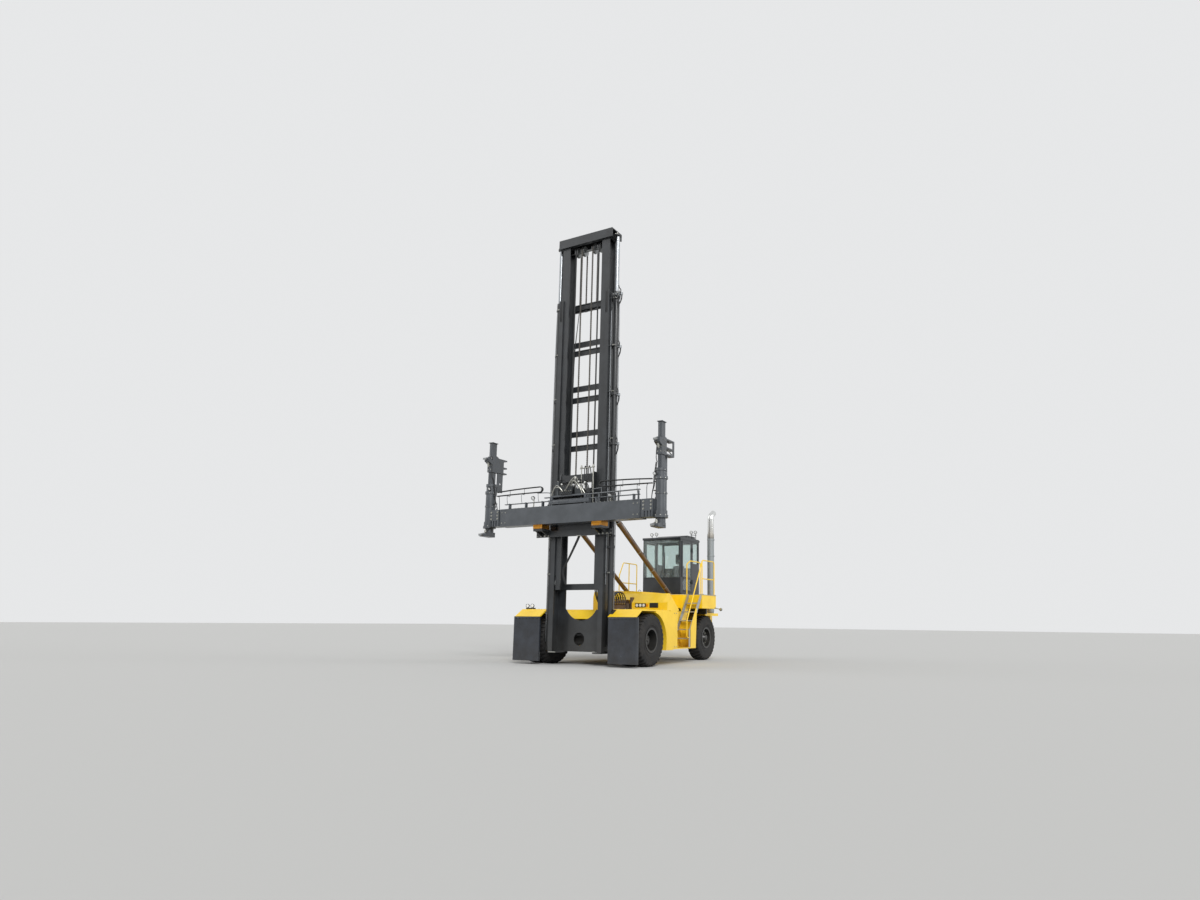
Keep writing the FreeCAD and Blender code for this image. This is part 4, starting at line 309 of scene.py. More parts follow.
def tyre_profile(half, radius, bead):
    # half a casing's outline from bead to crown, mirrored, and closed along the inside
    out = [(0.80 * half, bead), (0.83 * half, bead + 0.020), (0.84 * half, bead + 0.045)]
    for rib in SIDEWALL_RIBS:
        bulge = half * (0.90 + 0.085 * math.sin(math.pi * (rib - bead) / (radius - bead)))
        out += [(bulge, rib - 0.008), (bulge + 0.005, rib - 0.004), (bulge + 0.005, rib + 0.004),
                (bulge, rib + 0.008)]
    out += [(half * 0.965, radius - 0.100), (half * 0.94, radius - 0.065), (half * 0.84, radius - 0.045),
            (half * 0.5, radius - LUG_DEPTH - 0.004), (0.0, radius - LUG_DEPTH)]
    outer = [(-x, r) for x, r in out[:-1]] + list(reversed(out))
    wall = [(0.72 * half, bead + 0.004), (0.80 * half, bead + 0.14), (0.5 * half, radius - 0.09)]
    return outer + wall + [(-x, r) for x, r in reversed(wall)]


def moulded_rubber():
    # natural rubber with carbon black: dead matt on the tread, faint grey bloom and road dust
    # on the walls, a fine grain from the mould
    material, tree, coat, place = base_coat("moulded_tyre_rubber", {"Specular IOR Level": 0.35})
    bloom = add_node(tree, "ShaderNodeTexNoise", {"Vector": place, "Scale": 1 / 0.25, "Detail": 6.0,
                                                  "Roughness": 0.6})
    grain = add_node(tree, "ShaderNodeTexNoise", {"Vector": place, "Scale": 1 / 0.004, "Detail": 3.0})
    weather(tree, coat, bloom.outputs[0], ("#1b1b1c", "#312f2d"), (0.35, 0.75), (0.6, 0.85),
            relief=(grain.outputs[0], 0.25, 0.0008))
    return material


rubber = moulded_rubber()
ring = copy_tree("ring_of_parts", {"Part": "Object", "Count": "Int", "First": "Float"}, round_an_axle)
low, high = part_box("steer_tyre_left")
tyre_half = (high.x - low.x) / 2
tyre_radius = (high.z - low.z) / 2
right_lug = tyre_lug(tyre_half, tyre_radius)
left_lug = right_lug.copy()
bmesh.ops.scale(left_lug, vec=(-1, 1, 1), verts=left_lug.verts)
bmesh.ops.reverse_faces(left_lug, faces=left_lug.faces)
lug_parts = (pattern_part(right_lug, "lug_right"), pattern_part(left_lug, "lug_left"))
SIDES = (("left", 1), ("right", -1))


def dress_tyres(name, node, body, centres):
    bm = bmesh.new()
    for centre in centres:
        revolve(bm, tyre_profile(tyre_half, tyre_radius, BEAD_RADIUS), centre, TYRE_STEPS)
        for part, first in zip(lug_parts, (0.0, math.pi / LUGS)):
            set_copies(bm, ring, Matrix.Translation(centre), Part=part, Count=LUGS, First=first)
    keep(name, bm, rubber, "tyre_rubber", body, node, smooth=32.0)


for side, s in SIDES:
    low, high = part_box("drive_tyres_" + side)
    gap = (high.x - low.x) / 2 - tyre_half
    dress_tyres("twin_tyres_" + side, "drive_tyres_" + side, "drive_wheels_" + side,
                [(low + high) / 2 + Vector((d, 0, 0)) for d in (-gap, gap)])
    low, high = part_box("steer_tyre_" + side)
    dress_tyres("rear_tyre_" + side, "steer_tyre_" + side, "steer_wheel_" + side, [(low + high) / 2])


# --- Wheel rims and nuts ----------------------------------------------------
# Three-piece steel rims in dark grey enamel, held on the hubs by zinc-plated nuts with
# washers; the hub caps are greasy and hold dust.
NUTS = 20
NUT_SIZE = 0.019
NUT_CIRCLE = 0.212
NUT_SEATS = {"drive_rims_": 1.724, "steer_rim_": 1.406}


def enamel(name, colour, aged, roughness, dust=0.0):
    # sprayed machine enamel: a gloss coat with faint orange peel, duller in broad patches,
    # and road dust that thins out with height above the ground
    material, tree, coat, place = base_coat(name, {"Coat Weight": 0.25, "Coat Roughness": 0.12})
    patches = add_node(tree, "ShaderNodeTexNoise", {"Vector": place, "Scale": 1 / 0.45, "Detail": 6.0,
                                                    "Roughness": 0.62})
    peel = add_node(tree, "ShaderNodeTexNoise", {"Vector": place, "Scale": 1 / 0.007, "Detail": 2.0})
    shown = weather(tree, coat, patches.outputs[0], (colour, aged), (0.38, 0.72),
                    (roughness - 0.06, roughness + 0.14), relief=(peel.outputs[0], 0.12, 0.0006))
    if dust:
        height = add_node(tree, "ShaderNodeSeparateXYZ", {"Vector": place})
        low_part = add_node(tree, "ShaderNodeMapRange", {"Value": height.outputs["Z"], "From Min": 1.5,
                                                         "From Max": 0.1, "To Max": dust})
        specks = add_node(tree, "ShaderNodeTexNoise", {"Vector": place, "Scale": 1 / 0.03, "Detail": 4.0})
        film = add_node(tree, "ShaderNodeMath", {0: low_part.outputs[0], 1: specks.outputs[0]},
                        operation="MULTIPLY")
        dusty = add_node(tree, "ShaderNodeMix", {0: film.outputs[0], 6: shown, 7: linear("#8f8675")},
                         data_type="RGBA")
        tree.links.new(dusty.outputs[2], coat.inputs["Base Color"])
    return material


def plain_metal(name, colour, roughness, grain, metallic=1.0):
    # bare or plated steel: fine machining marks, smudged by handling and oil
    material, tree, coat, place = base_coat(name, {"Metallic": metallic})
    smudge = add_node(tree, "ShaderNodeTexNoise", {"Vector": place, "Scale": 1 / 0.12, "Detail": 5.0})
    marks = add_node(tree, "ShaderNodeTexNoise", {"Vector": place, "Scale": 1 / grain, "Detail": 2.0})
    weather(tree, coat, smudge.outputs[0], colour, dull=(roughness * 0.8, roughness * 1.35),
            dull_from=(0.3, 0.7), relief=(marks.outputs[0], 0.15, grain * 0.1))
    return material


def dress(material, *names):
    # gives CAD nodes their finish
    for name in names:
        for slot in nodes[name].material_slots:
            slot.material = material


def wheel_nut():
    # a hexagon nut on a washer, its axis along the axle
    bm = bmesh.new()
    for r, x0, x1, sides in ((NUT_SIZE * 1.45, 0.0, 0.004, 16), (NUT_SIZE, 0.004, 0.026, 6),
                             (NUT_SIZE * 0.55, 0.026, 0.040, 10)):
        seat = Matrix.Translation(((x0 + x1) / 2, 0, NUT_CIRCLE)) @ Matrix.Rotation(math.pi / 2, 4, "Y")
        bmesh.ops.create_cone(bm, cap_ends=True, segments=sides, radius1=r, radius2=r * 0.97,
                              depth=x1 - x0, matrix=seat)
    return bm


rim_enamel = enamel("dark_rim_enamel", "#111213", "#1a1b1d", 0.42, dust=0.12)
plated = plain_metal("zinc_plated_steel", ("#b9b9b2", "#8e8d86"), 0.34, 0.003)
nut_part = pattern_part(wheel_nut(), "nut")
for side, s in SIDES:
    for node, body, tyre in (("drive_rims_", "drive_wheels_", "drive_tyres_"),
                             ("steer_rim_", "steer_wheel_", "steer_tyre_")):
        dress(rim_enamel, node + side)
        low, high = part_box(tyre + side)
        centre = (low + high) / 2
        outward = Matrix.Rotation(math.pi if s < 0 else 0.0, 4, "Z")
        nuts = bmesh.new()
        set_copies(nuts, ring, Matrix.Translation((s * NUT_SEATS[node], centre.y, centre.z)) @ outward,
                   Part=nut_part, Count=NUTS)
        keep(node + "nuts_" + side, nuts, plated, "bright_steel", body + side)


# --- Chassis frame, axles and mudguards ------------------------------------
# Welded plate frame and cast axles under black chassis enamel. The mudguards in front of the
# drive tyres are black-coated sheet, clamped under a flat bar by a row of hexagon bolts.
BOLT = 0.012
BIG_BOLT = 0.020
CLAMP_FACE = -3.119


def along_a_line(tree, given):
    # points at even steps on a straight line, all turned the same way
    line = add_node(tree, "GeometryNodeMeshLine", {"Count": given["Count"], "Start Location": given["First"],
                                                   "Offset": given["Step"]}, mode="OFFSET")
    return line.outputs[0], given["Turn"]


def slab(bm, low, high, edge=0.003):
    # a plate or block with broken edges, between any two opposite corners
    spans = [sorted(pair) for pair in zip(low, high)]
    verts = bmesh.ops.create_cube(bm, size=1)["verts"]
    for v in verts:
        v.co = Vector([a + (v.co[k] + 0.5) * (b - a) for k, (a, b) in enumerate(spans)])
    sides = list(dict.fromkeys(e for v in verts for e in v.link_edges))
    bmesh.ops.bevel(bm, geom=sides, offset=edge, segments=2, affect="EDGES", profile=0.5)


def bar(bm, start, end, radius, sides=14):
    # a round bar between two points
    start = Vector(start)
    way = Vector(end) - start
    place = Matrix.Translation(start + way / 2) @ way.to_track_quat("Z", "Y").to_matrix().to_4x4()
    bmesh.ops.create_cone(bm, cap_ends=True, segments=sides, radius1=radius, radius2=radius,
                          depth=way.length, matrix=place)


def prism(bm, outline, axis, low, high):
    # a flat outline in the plane across an axis, given thickness along it
    spin = {"x": lambda u, v, a: (a, u, v), "y": lambda u, v, a: (u, a, v),
            "z": lambda u, v, a: (u, v, a)}[axis]
    near = [bm.verts.new(spin(u, v, low)) for u, v in outline]
    far = [bm.verts.new(spin(u, v, high)) for u, v in outline]
    faces = [bm.faces.new(near), bm.faces.new(far)]
    for k in range(len(outline)):
        n = (k + 1) % len(outline)
        faces.append(bm.faces.new((near[k], near[n], far[n], far[k])))
    bmesh.ops.recalc_face_normals(bm, faces=faces)


def turned(bm, profile, origin, aim, steps=20):
    # a shape turned about a line; its (radius, height) points run from axis to axis, bottom first
    frame_of_aim = Vector(aim).to_track_quat("Z", "Y").to_matrix()
    rings = []
    for r, h in profile:
        count = steps if r > 1e-6 else 1
        rings.append([bm.verts.new(Vector(origin) + frame_of_aim @ Vector((
            r * math.cos(2 * math.pi * k / count), r * math.sin(2 * math.pi * k / count), h)))
            for k in range(count)])
    for a, b in zip(rings, rings[1:]):
        for k in range(steps):
            n = (k + 1) % steps
            corners = dict.fromkeys((a[k % len(a)], a[n % len(a)], b[n % len(b)], b[k % len(b)]))
            if len(corners) > 2:
                bm.faces.new(list(corners))


def hex_bolt(size):
    # a hexagon head on a washer, standing on its seat
    bm = bmesh.new()
    bar(bm, (0, 0, 0), (0, 0, size * 0.25), size * 1.5, 12)
    bar(bm, (0, 0, size * 0.25), (0, 0, size * 1.05), size, 6)
    return bm


FACE_FRONT = (math.pi / 2, 0, 0)
FACE_BACK = (-math.pi / 2, 0, 0)
FACE_LEFT = (0, math.pi / 2, 0)
FACE_RIGHT = (0, -math.pi / 2, 0)
FACE_UP = (0, 0, 0)
row = copy_tree("row_of_parts", {"Part": "Object", "Count": "Int", "First": "Vector", "Step": "Vector",
                                 "Turn": "Vector"}, along_a_line)
bolt = pattern_part(hex_bolt(BOLT), "bolt")
big_bolt = pattern_part(hex_bolt(BIG_BOLT), "big_bolt")


def row_of(bm, part, first, step, count, turn=FACE_UP):
    # copies of a part in a straight row, added to a piece
    set_copies(bm, row, Part=part, Count=count, First=first, Step=step, Turn=turn)


def bolts(bm, first, step, count, turn, part=bolt):
    # a row of bolts, added to a piece
    row_of(bm, part, first, step, count, turn)


chassis_black = enamel("black_chassis_enamel", "#17191b", "#232527", 0.42, dust=0.22)
coated_sheet = enamel("black_coated_sheet", "#1b1f26", "#2c323c", 0.20, dust=0.10)
dress(chassis_black, "main_frame", "drive_axle", "steer_axle", "steer_knuckle_left", "steer_knuckle_right")
dress(coated_sheet, "mudguards")
clamps, studding = bmesh.new(), bmesh.new()
for s in (1, -1):
    near, far = sorted((s * 1.255, s * 2.085))
    slab(clamps, (near, CLAMP_FACE, 1.305), (far, CLAMP_FACE + 0.009, 1.350))
    bolts(clamps, (near + 0.035, CLAMP_FACE, 1.3275), (0.1267, 0, 0), 7, FACE_FRONT)
    # studs down each side of the drive axle's casing
    bolts(studding, (s * 0.545, -2.415, 0.40), (0, 0, 0.115), 7, FACE_FRONT, big_bolt)
keep("mudguard_clamp_bars", clamps, coated_sheet, "dark_grey_paint", "chassis")
keep("chassis_bolts", studding, plated, "bright_steel", "chassis")


# --- Fenders, cowls and side bodies ----------------------------------------
# Folded and welded sheet, sprayed in signal yellow; the seams are sealed and the bolt heads
# of the removable covers show as bright dots.
yellow = enamel("signal_yellow_enamel", "#f6cd22", "#eabf1c", 0.28, dust=0.30)
seal = enamel("black_seam_sealer", "#191a1b", "#222324", 0.55)
dress(yellow, "fenders", "cowls", "side_bodies", "platforms", "counterweight", "handrails", "engine_hood")


def seam_strip(bm, start, end, width, way):
    # a bead of sealer along a joint between two sheets
    a = Vector(start)
    b = Vector(end)
    across = Vector(way).normalized() * width / 2
    up = (b - a).cross(across).normalized() * 0.0015
    corners = [a - across - up, a + across - up, b + across - up, b - across - up]
    low_ring = [bm.verts.new(c) for c in corners]
    high_ring = [bm.verts.new(c + 2 * up) for c in corners]
    faces = [bm.faces.new(low_ring), bm.faces.new(high_ring)]
    for k in range(4):
        n = (k + 1) % 4
        faces.append(bm.faces.new((low_ring[k], low_ring[n], high_ring[n], high_ring[k])))
    bmesh.ops.recalc_face_normals(bm, faces=faces)


seams, cover_bolts = bmesh.new(), bmesh.new()
for s in (1, -1):
    # across the fender's flat top, with the bolts of its covers
    seam_strip(seams, (s * 1.19, -2.20, 1.601), (s * 2.09, -2.20, 1.601), 0.008, (0, 1, 0))
    for y in (-2.70, -2.26, -2.14, -1.36):
        bolts(cover_bolts, (s * 1.28, y, 1.600), (s * 0.24, 0, 0), 4, FACE_UP)
# down the cover of the left side body, and round the covers on both sides
seam_strip(seams, (1.951, -0.20, 0.52), (1.951, -0.20, 1.58), 0.008, (0, 1, 0))
for z in (1.52, 0.52):
    bolts(cover_bolts, (1.950, -0.74, z), (0, 0.12, 0), 4, FACE_LEFT)
for y in (-0.60, -0.15, 0.30, 0.75):
    bolts(cover_bolts, (-1.950, y, 0.56), (0, 0, 0.98), 2, FACE_RIGHT)
keep("fender_seams", seams, seal, "black_plastic", "chassis")
keep("cover_bolts", cover_bolts, plated, "bright_steel", "chassis")


# --- Lamps ------------------------------------------------------------------
# Round LED work lamps in black die-cast housings with clear lenses: three in the left cowl's
# face beside an orange indicator and the cooler's louvre, two on a bar on the right fender.
COWL_FACE = -1.2603
LOUVRE_SLATS = 5
black_cast = plain_metal("black_powder_coat", ("#161718", "#1e1f21"), 0.45, 0.002, metallic=0.0)
amber = plain_metal("amber_indicator_lens", ("#f08a12", "#d97608"), 0.14, 0.004, metallic=0.0)


def clear_lens():
    # clear polycarbonate over a bright reflector: near white, glossy, ribbed in fine flutes
    material, tree, coat, place = base_coat("clear_lamp_lens", {
        "Roughness": 0.07, "Coat Weight": 0.8, "Coat Roughness": 0.03})
    flutes = add_node(tree, "ShaderNodeTexWave", {"Vector": place, "Scale": 1 / 0.012 / 2},
                      bands_direction="X")
    weather(tree, coat, flutes.outputs[1], ("#d9dcde", "#f6f6f3"), relief=(flutes.outputs[1], 0.4, 0.002))
    return material


lens_clear = clear_lens()


def work_lamp(house, glass, centre, aim, r):
    # housing with cooling fins behind, raised bezel in front, domed lens inside it
    turned(house, [(0, -0.055), (r * 0.7, -0.055), (r * 0.72, -0.040), (r * 0.95, -0.038), (r * 1.14, -0.004),
                   (r * 1.16, 0.010), (r * 1.04, 0.012), (r * 1.00, 0.002), (0, 0.000)], centre, aim, 24)
    turned(glass, [(0, 0.0005), (r * 0.98, 0.001), (r * 0.96, 0.005), (r * 0.6, 0.009), (0, 0.011)],
           centre, aim, 24)


def prism_part(name, outline, axis, low, high):
    # a pattern part of one outline
    bm = bmesh.new()
    prism(bm, outline, axis, low, high)
    return pattern_part(bm, name)


housings, lenses, flaps = bmesh.new(), bmesh.new(), bmesh.new()
# the left cowl's lamp panel, its indicator and its louvre
slab(housings, (1.010, COWL_FACE - 0.016, 1.688), (1.372, COWL_FACE + 0.006, 1.802), 0.006)
for x in (1.075, 1.190, 1.305):
    work_lamp(housings, lenses, (x, COWL_FACE - 0.022, 1.745), (0, -1, 0), 0.047)
slab(flaps, (1.392, COWL_FACE - 0.020, 1.708), (1.440, COWL_FACE + 0.006, 1.782), 0.008)
slab(housings, (1.500, COWL_FACE - 0.010, 1.672), (1.790, COWL_FACE + 0.006, 1.818), 0.005)
slat = prism_part("slat", [(-0.004, -0.012), (0.010, -0.020), (0.012, -0.016), (-0.002, 0.012)],
                  "x", 0.0, 0.262)
row_of(housings, slat, (1.514, COWL_FACE - 0.020, 1.694), (0, 0, 0.0265), LOUVRE_SLATS)
# lamp bar on the right fender
slab(housings, (-2.02, -2.700, 1.6003), (-1.69, -2.640, 1.640), 0.004)
for x in (-1.945, -1.765):
    slab(housings, (x - 0.012, -2.690, 1.636), (x + 0.012, -2.660, 1.665), 0.002)
    work_lamp(housings, lenses, (x, -2.715, 1.700), (0, -1, 0.06), 0.052)
# rubber stop on the left fender's slope, beside the mast
prism(housings, [(-2.985, 1.4575), (-2.985, 1.4725), (-2.805, 1.5865), (-2.805, 1.5715)], "x", 1.195, 1.285)
keep("front_lamp_housings", housings, black_cast, "black_plastic", "chassis", "front_lamps")
keep("front_lamp_lenses", lenses, lens_clear, "lamp_lens", "chassis")
keep("front_indicator", flaps, amber, "lamp_lens", "chassis")


# --- Main valve and its hoses -----------------------------------------------
# Cast-iron valve block with oily, rust-tinged faces behind the mast. Black wire-braided hoses
# with plated ferrules leave its sections and cross to the mast in loose arcs.
SECTIONS = 6
FIRST_SECTION = 0.196
SECTION_STEP = 0.08


def hose(bm, points, radius, ends=0.0):
    # a hose or a bent pipe along a smooth line; ends is the length of its crimped ferrules
    line = bpy.data.curves.new("run", "CURVE")
    line.dimensions = "3D"
    spline = line.splines.new("NURBS")
    spline.points.add(len(points) - 1)
    for knot, place in zip(spline.points, points):
        knot.co = (*place, 1.0)
    spline.order_u = 3
    spline.use_endpoint_u = True
    line.resolution_u = 5
    line.bevel_depth = radius
    line.bevel_resolution = 2
    line.use_fill_caps = True
    carrier = bpy.data.objects.new("run", line)
    mesh = bpy.data.meshes.new_from_object(carrier)
    bm.from_mesh(mesh)
    bpy.data.objects.remove(carrier)
    bpy.data.curves.remove(line)
    bpy.data.meshes.remove(mesh)
    if ends:
        for tip, second in ((points[0], points[1]), (points[-1], points[-2])):
            way = (Vector(second) - Vector(tip)).normalized()
            bar(bm, Vector(tip) - way * 0.004, Vector(tip) + way * ends, radius * 1.35, 12)
            bar(bm, Vector(tip) + way * ends, Vector(tip) + way * ends * 1.3, radius * 1.6, 6)


def fitting(bm, place, aim, body, neck, steps=6):
    # a union or a small cylinder: radius and height of its body, then radius, foot and top of its neck
    turned(bm, [(0, 0), (body[0], 0), body, (neck[0], neck[1]), (neck[0], neck[2]), (0, neck[2])],
           place, aim, steps)


def cap(bm, place, aim, body, crown, steps=16):
    # a low cap: radius and height of its wall, then of its crown
    turned(bm, [(0, 0), (body[0], 0), body, crown, (0, crown[1])], place, aim, steps)


def wrapped_rubber():
    # synthetic rubber cover with the faint spiral of its cloth wrapping, dusty on top
    material, tree, coat, place = base_coat("wrapped_rubber_hose", {"Specular IOR Level": 0.4})
    film = add_node(tree, "ShaderNodeTexNoise", {"Vector": place, "Scale": 1 / 0.06, "Detail": 5.0})
    wrap = add_node(tree, "ShaderNodeTexNoise", {"Vector": place, "Scale": 1 / 0.005, "Detail": 1.0})
    weather(tree, coat, film.outputs[0], ("#141516", "#2c2d2e"), dull=(0.42, 0.62),
            relief=(wrap.outputs[0], 0.3, 0.0008))
    return material


hose_rubber = wrapped_rubber()
oily_iron = enamel("oily_cast_iron", "#4a4038", "#6b5138", 0.45)
passivated = plain_metal("yellow_passivated_steel", ("#a98a4c", "#7d6a43"), 0.38, 0.004)
dress(oily_iron, "powertrain")
valve_parts, crossing = bmesh.new(), bmesh.new()
for k in range(SECTIONS):
    # each section's spool end cap in front and solenoid coil on top, and its hose to the mast
    x = FIRST_SECTION + SECTION_STEP * k
    cap(valve_parts, (x, -1.211, 1.790), (0, -1, 0), (0.022, 0.030), (0.014, 0.038), 14)
    slab(valve_parts, (x - 0.021, -1.075, 1.874), (x + 0.021, -1.020, 1.925), 0.004)
    lean = 0.02 * math.sin(2.3 * k)
    side_x = 0.30 + 0.052 * k
    hose(crossing, [(x, -1.185, 1.930), (x, -1.190, 2.02 + lean), (x + 0.01, -1.36, 2.16 + lean),
                    (side_x, -1.66, 2.10 - lean), (side_x + 0.02, -1.98, 1.86 + lean),
                    (side_x + lean, -2.20, 1.74), (side_x, -2.38, 1.98 - 0.05 * k), (side_x, -2.44, 2.22),
                    (side_x, -2.50, 2.30)], 0.0165, 0.05)
turned(valve_parts, [(0, 0), (0.058, 0), (0.066, 0.010), (0.066, 0.026), (0.050, 0.034), (0.020, 0.040),
                     (0, 0.040)], (0.79, -1.10, 1.960), (0, 0, 1), 24)
keep("valve_fittings", valve_parts, passivated, "bright_steel", "chassis")
crossing_hoses = keep("mast_crossing_hoses", crossing, hose_rubber, "black_plastic", None)
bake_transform(crossing_hoses)


# --- Hood and deck ----------------------------------------------------------
# One-piece hood with two spring latches and lift handles. The decks round the cab are
# galvanised plate with raised bars that grip a boot.
DECK_TOP = 2.160
STUD_STEP = 0.058
DECK_FIELDS = ((0.91, 1.42, 1.08, 2.52), (1.45, 1.94, 1.50, 2.52), (-1.94, -0.91, 1.08, 3.80))
HOOD_RIBS = 5


def over_a_deck(tree, given):
    # points on a level grid, all turned the same way
    grid = add_node(tree, "GeometryNodeMeshGrid", {
        "Size X": given["Width"], "Size Y": given["Length"], "Vertices X": given["Across"],
        "Vertices Y": given["Along"]})
    placed = add_node(tree, "GeometryNodeTransform", {"Geometry": grid.outputs["Mesh"],
                                                      "Translation": given["Middle"]})
    return placed.outputs[0], given["Turn"]


galvanised = plain_metal("hot_dip_galvanised_steel", ("#b4b6b4", "#9b9e9c"), 0.42, 0.010, metallic=0.55)
dress(galvanised, "deck_plates", "stairs")
field = copy_tree("field_of_parts", {"Part": "Object", "Across": "Int", "Along": "Int", "Width": "Float",
                                     "Length": "Float", "Middle": "Vector", "Turn": "Vector"}, over_a_deck)
stud = prism_part("stud", [(-0.016, -0.0035), (0.016, -0.0035), (0.019, 0.0), (0.016, 0.0035),
                           (-0.016, 0.0035), (-0.019, 0.0)], "z", -0.001, 0.0022)
studs = bmesh.new()
for x0, x1, y0, y1 in DECK_FIELDS:
    for shift, turn in ((0.0, 0.7), (STUD_STEP / 2, -0.7)):
        across = int((x1 - x0 - shift * 2) / STUD_STEP) + 1
        along = int((y1 - y0 - shift * 2) / STUD_STEP) + 1
        set_copies(studs, field, Part=stud, Across=across, Along=along, Width=(across - 1) * STUD_STEP,
                   Length=(along - 1) * STUD_STEP, Turn=(0, 0, turn),
                   Middle=((x0 + x1) / 2 + shift, (y0 + y1) / 2 + shift, DECK_TOP))
keep("deck_grip_bars", studs, galvanised, "light_grey_paint", "chassis")

low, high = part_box("engine_hood")
latches, ribs = bmesh.new(), bmesh.new()
for y in (-0.35, 0.50):
    # rubber over-centre latches on the hood's free edge and a bow handle beside each
    slab(latches, (high.x - 0.004, y - 0.022, high.z - 0.062), (high.x + 0.006, y + 0.022, high.z - 0.020))
    hose(latches, [(high.x - 0.10, y + dy, high.z + dz) for dy, dz in (
        (0.10, -0.002), (0.10, 0.045), (0.26, 0.045), (0.26, -0.002))], 0.007)
bolts(latches, (low.x + 0.16, low.y + 0.05, high.z), (0.14, 0, 0), 7, FACE_UP)
keep("hood_latches", latches, black_cast, "black_plastic", "hood")
rib = prism_part("rib", [(-0.010, 0.0), (0.010, 0.0), (0.006, 0.006), (-0.006, 0.006)], "y", -0.58, 0.58)
row_of(ribs, rib, (-0.36, (low.y + high.y) / 2, high.z - 0.001), (0.18, 0, 0), HOOD_RIBS)
keep("hood_ribs", ribs, yellow, "yellow_paint", "hood")


# --- Stairs and handrails ---------------------------------------------------
# Galvanised stairs with serrated treads between two flat strings; tube rails in the machine's
# yellow, each post welded to a foot plate with four bolts.
TREADS = ((0.560, 0.7586), (0.5955, 1.0389), (0.799, 1.3192), (1.0028, 1.5995), (1.2063, 1.8797))
TEETH = 24
POSTS = ((1.91, 1.53), (1.91, 2.48), (1.39, 1.45), (1.39, 2.48), (-1.91, 2.525), (-1.91, 3.7895),
         (-1.91, 3.2175))
FOOT_TOP = DECK_TOP + 0.0085
tooth = prism_part("tooth", [(-0.006, 0.0), (0.006, 0.0), (0.003, 0.007), (-0.003, 0.007)],
                   "y", -0.009, 0.009)
serration, feet, foot_bolts = bmesh.new(), bmesh.new(), bmesh.new()
for y, z in TREADS:
    for reach in (0.012, 0.175):
        row_of(serration, tooth, (1.477, y + reach, z - 0.0005), (0.0187, 0, 0), TEETH)
keep("tread_teeth", serration, galvanised, "light_grey_paint", "chassis")
for x, y in POSTS:
    slab(feet, (x - 0.042, y - 0.042, DECK_TOP + 0.0005), (x + 0.042, y + 0.042, FOOT_TOP), 0.002)
    cap(feet, (x, y, FOOT_TOP - 0.0005), (0, 0, 1), (0.0215, 0.014), (0.0192, 0.018))
    for dx in (-0.03, 0.03):
        bolts(foot_bolts, (x + dx, y - 0.03, FOOT_TOP), (0, 0.06, 0), 2, FACE_UP)
keep("rail_feet", feet, yellow, "yellow_paint", "chassis")
keep("rail_foot_bolts", foot_bolts, plated, "bright_steel", "chassis")


# --- Exhaust, tail and towing jaw ------------------------------------------
# Heat-proof grey silencer under a bent stainless tail pipe that has browned above the joint;
# behind, tail lamps in guards and the jaw's drop pin.
STACK_AXIS = (1.45, 3.21)
BAND_RADIUS = 0.1195


def stack_steel():
    # matt grey aluminium paint below, bare stainless with a faint straw heat tint above, growing lighter up
    # the pipe to a near-white top elbow; that lightening towards the top is painted highlight
    material, tree, coat, place = base_coat("stack_steel_heat_tint_and_painted_highlight", {})
    height = add_node(tree, "ShaderNodeSeparateXYZ", {"Vector": place})
    cloud = add_node(tree, "ShaderNodeTexNoise", {"Vector": place, "Scale": 1 / 0.15, "Detail": 4.0})
    level = add_node(tree, "ShaderNodeMath", {0: cloud.outputs[0], 1: 0.12, 2: height.outputs["Z"]},
                     operation="MULTIPLY_ADD")
    share = add_node(tree, "ShaderNodeMapRange", {"Value": level.outputs[0], "From Min": 3.9,
                                                  "From Max": 5.3})
    bands = add_node(tree, "ShaderNodeValToRGB", {"Fac": share.outputs[0]})
    ramp = bands.color_ramp
    # ramp stops by height: grey paint, the faint tint band, then ever lighter stainless; the light stops
    # towards the top are painted highlight
    for place_on_ramp, colour in ((0.22, "#8b9092"), (0.27, "#7d7a74"), (0.36, "#a8a49c"), (0.52, "#c4c4c1")):
        ramp.elements.new(place_on_ramp).color = linear(colour)
    ramp.elements[0].color = linear("#8d9294")
    # near white at the very top: painted highlight on the elbow
    ramp.elements[-1].color = linear("#dcdddc")
    tree.links.new(bands.outputs[0], coat.inputs["Base Color"])
    bare = add_node(tree, "ShaderNodeMapRange", {"Value": share.outputs[0], "From Min": 0.22,
                                                 "From Max": 0.26, "To Min": 0.3, "To Max": 0.95})
    tree.links.new(bare.outputs[0], coat.inputs["Metallic"])
    gloss = add_node(tree, "ShaderNodeMapRange", {"Value": share.outputs[0], "From Min": 0.22,
                                                  "From Max": 0.5, "To Min": 0.5, "To Max": 0.26})
    tree.links.new(gloss.outputs[0], coat.inputs["Roughness"])
    return material


stack = stack_steel()
dress(stack, "exhaust_stack")
axis_x, axis_y = STACK_AXIS
guard = bmesh.new()
for z in (1.95, 2.75, 3.55, 4.12):
    # clamp bands with their bolted ears
    r = BAND_RADIUS
    turned(guard, [(r - 0.006, 0), (r + 0.004, 0), (r + 0.006, 0.008), (r + 0.006, 0.030), (r + 0.004, 0.038),
                   (r - 0.006, 0.038)], (axis_x, axis_y, z), (0, 0, 1), 28)
    slab(guard, (axis_x + r, axis_y - 0.016, z + 0.004), (axis_x + r + 0.030, axis_y + 0.016, z + 0.034),
         0.002)
bolts(guard, (axis_x + 0.132, axis_y - 0.016, 1.969), (0, 0, 0.8), 3, FACE_FRONT)
keep("stack_bands", guard, stack, "light_grey_paint", "chassis")

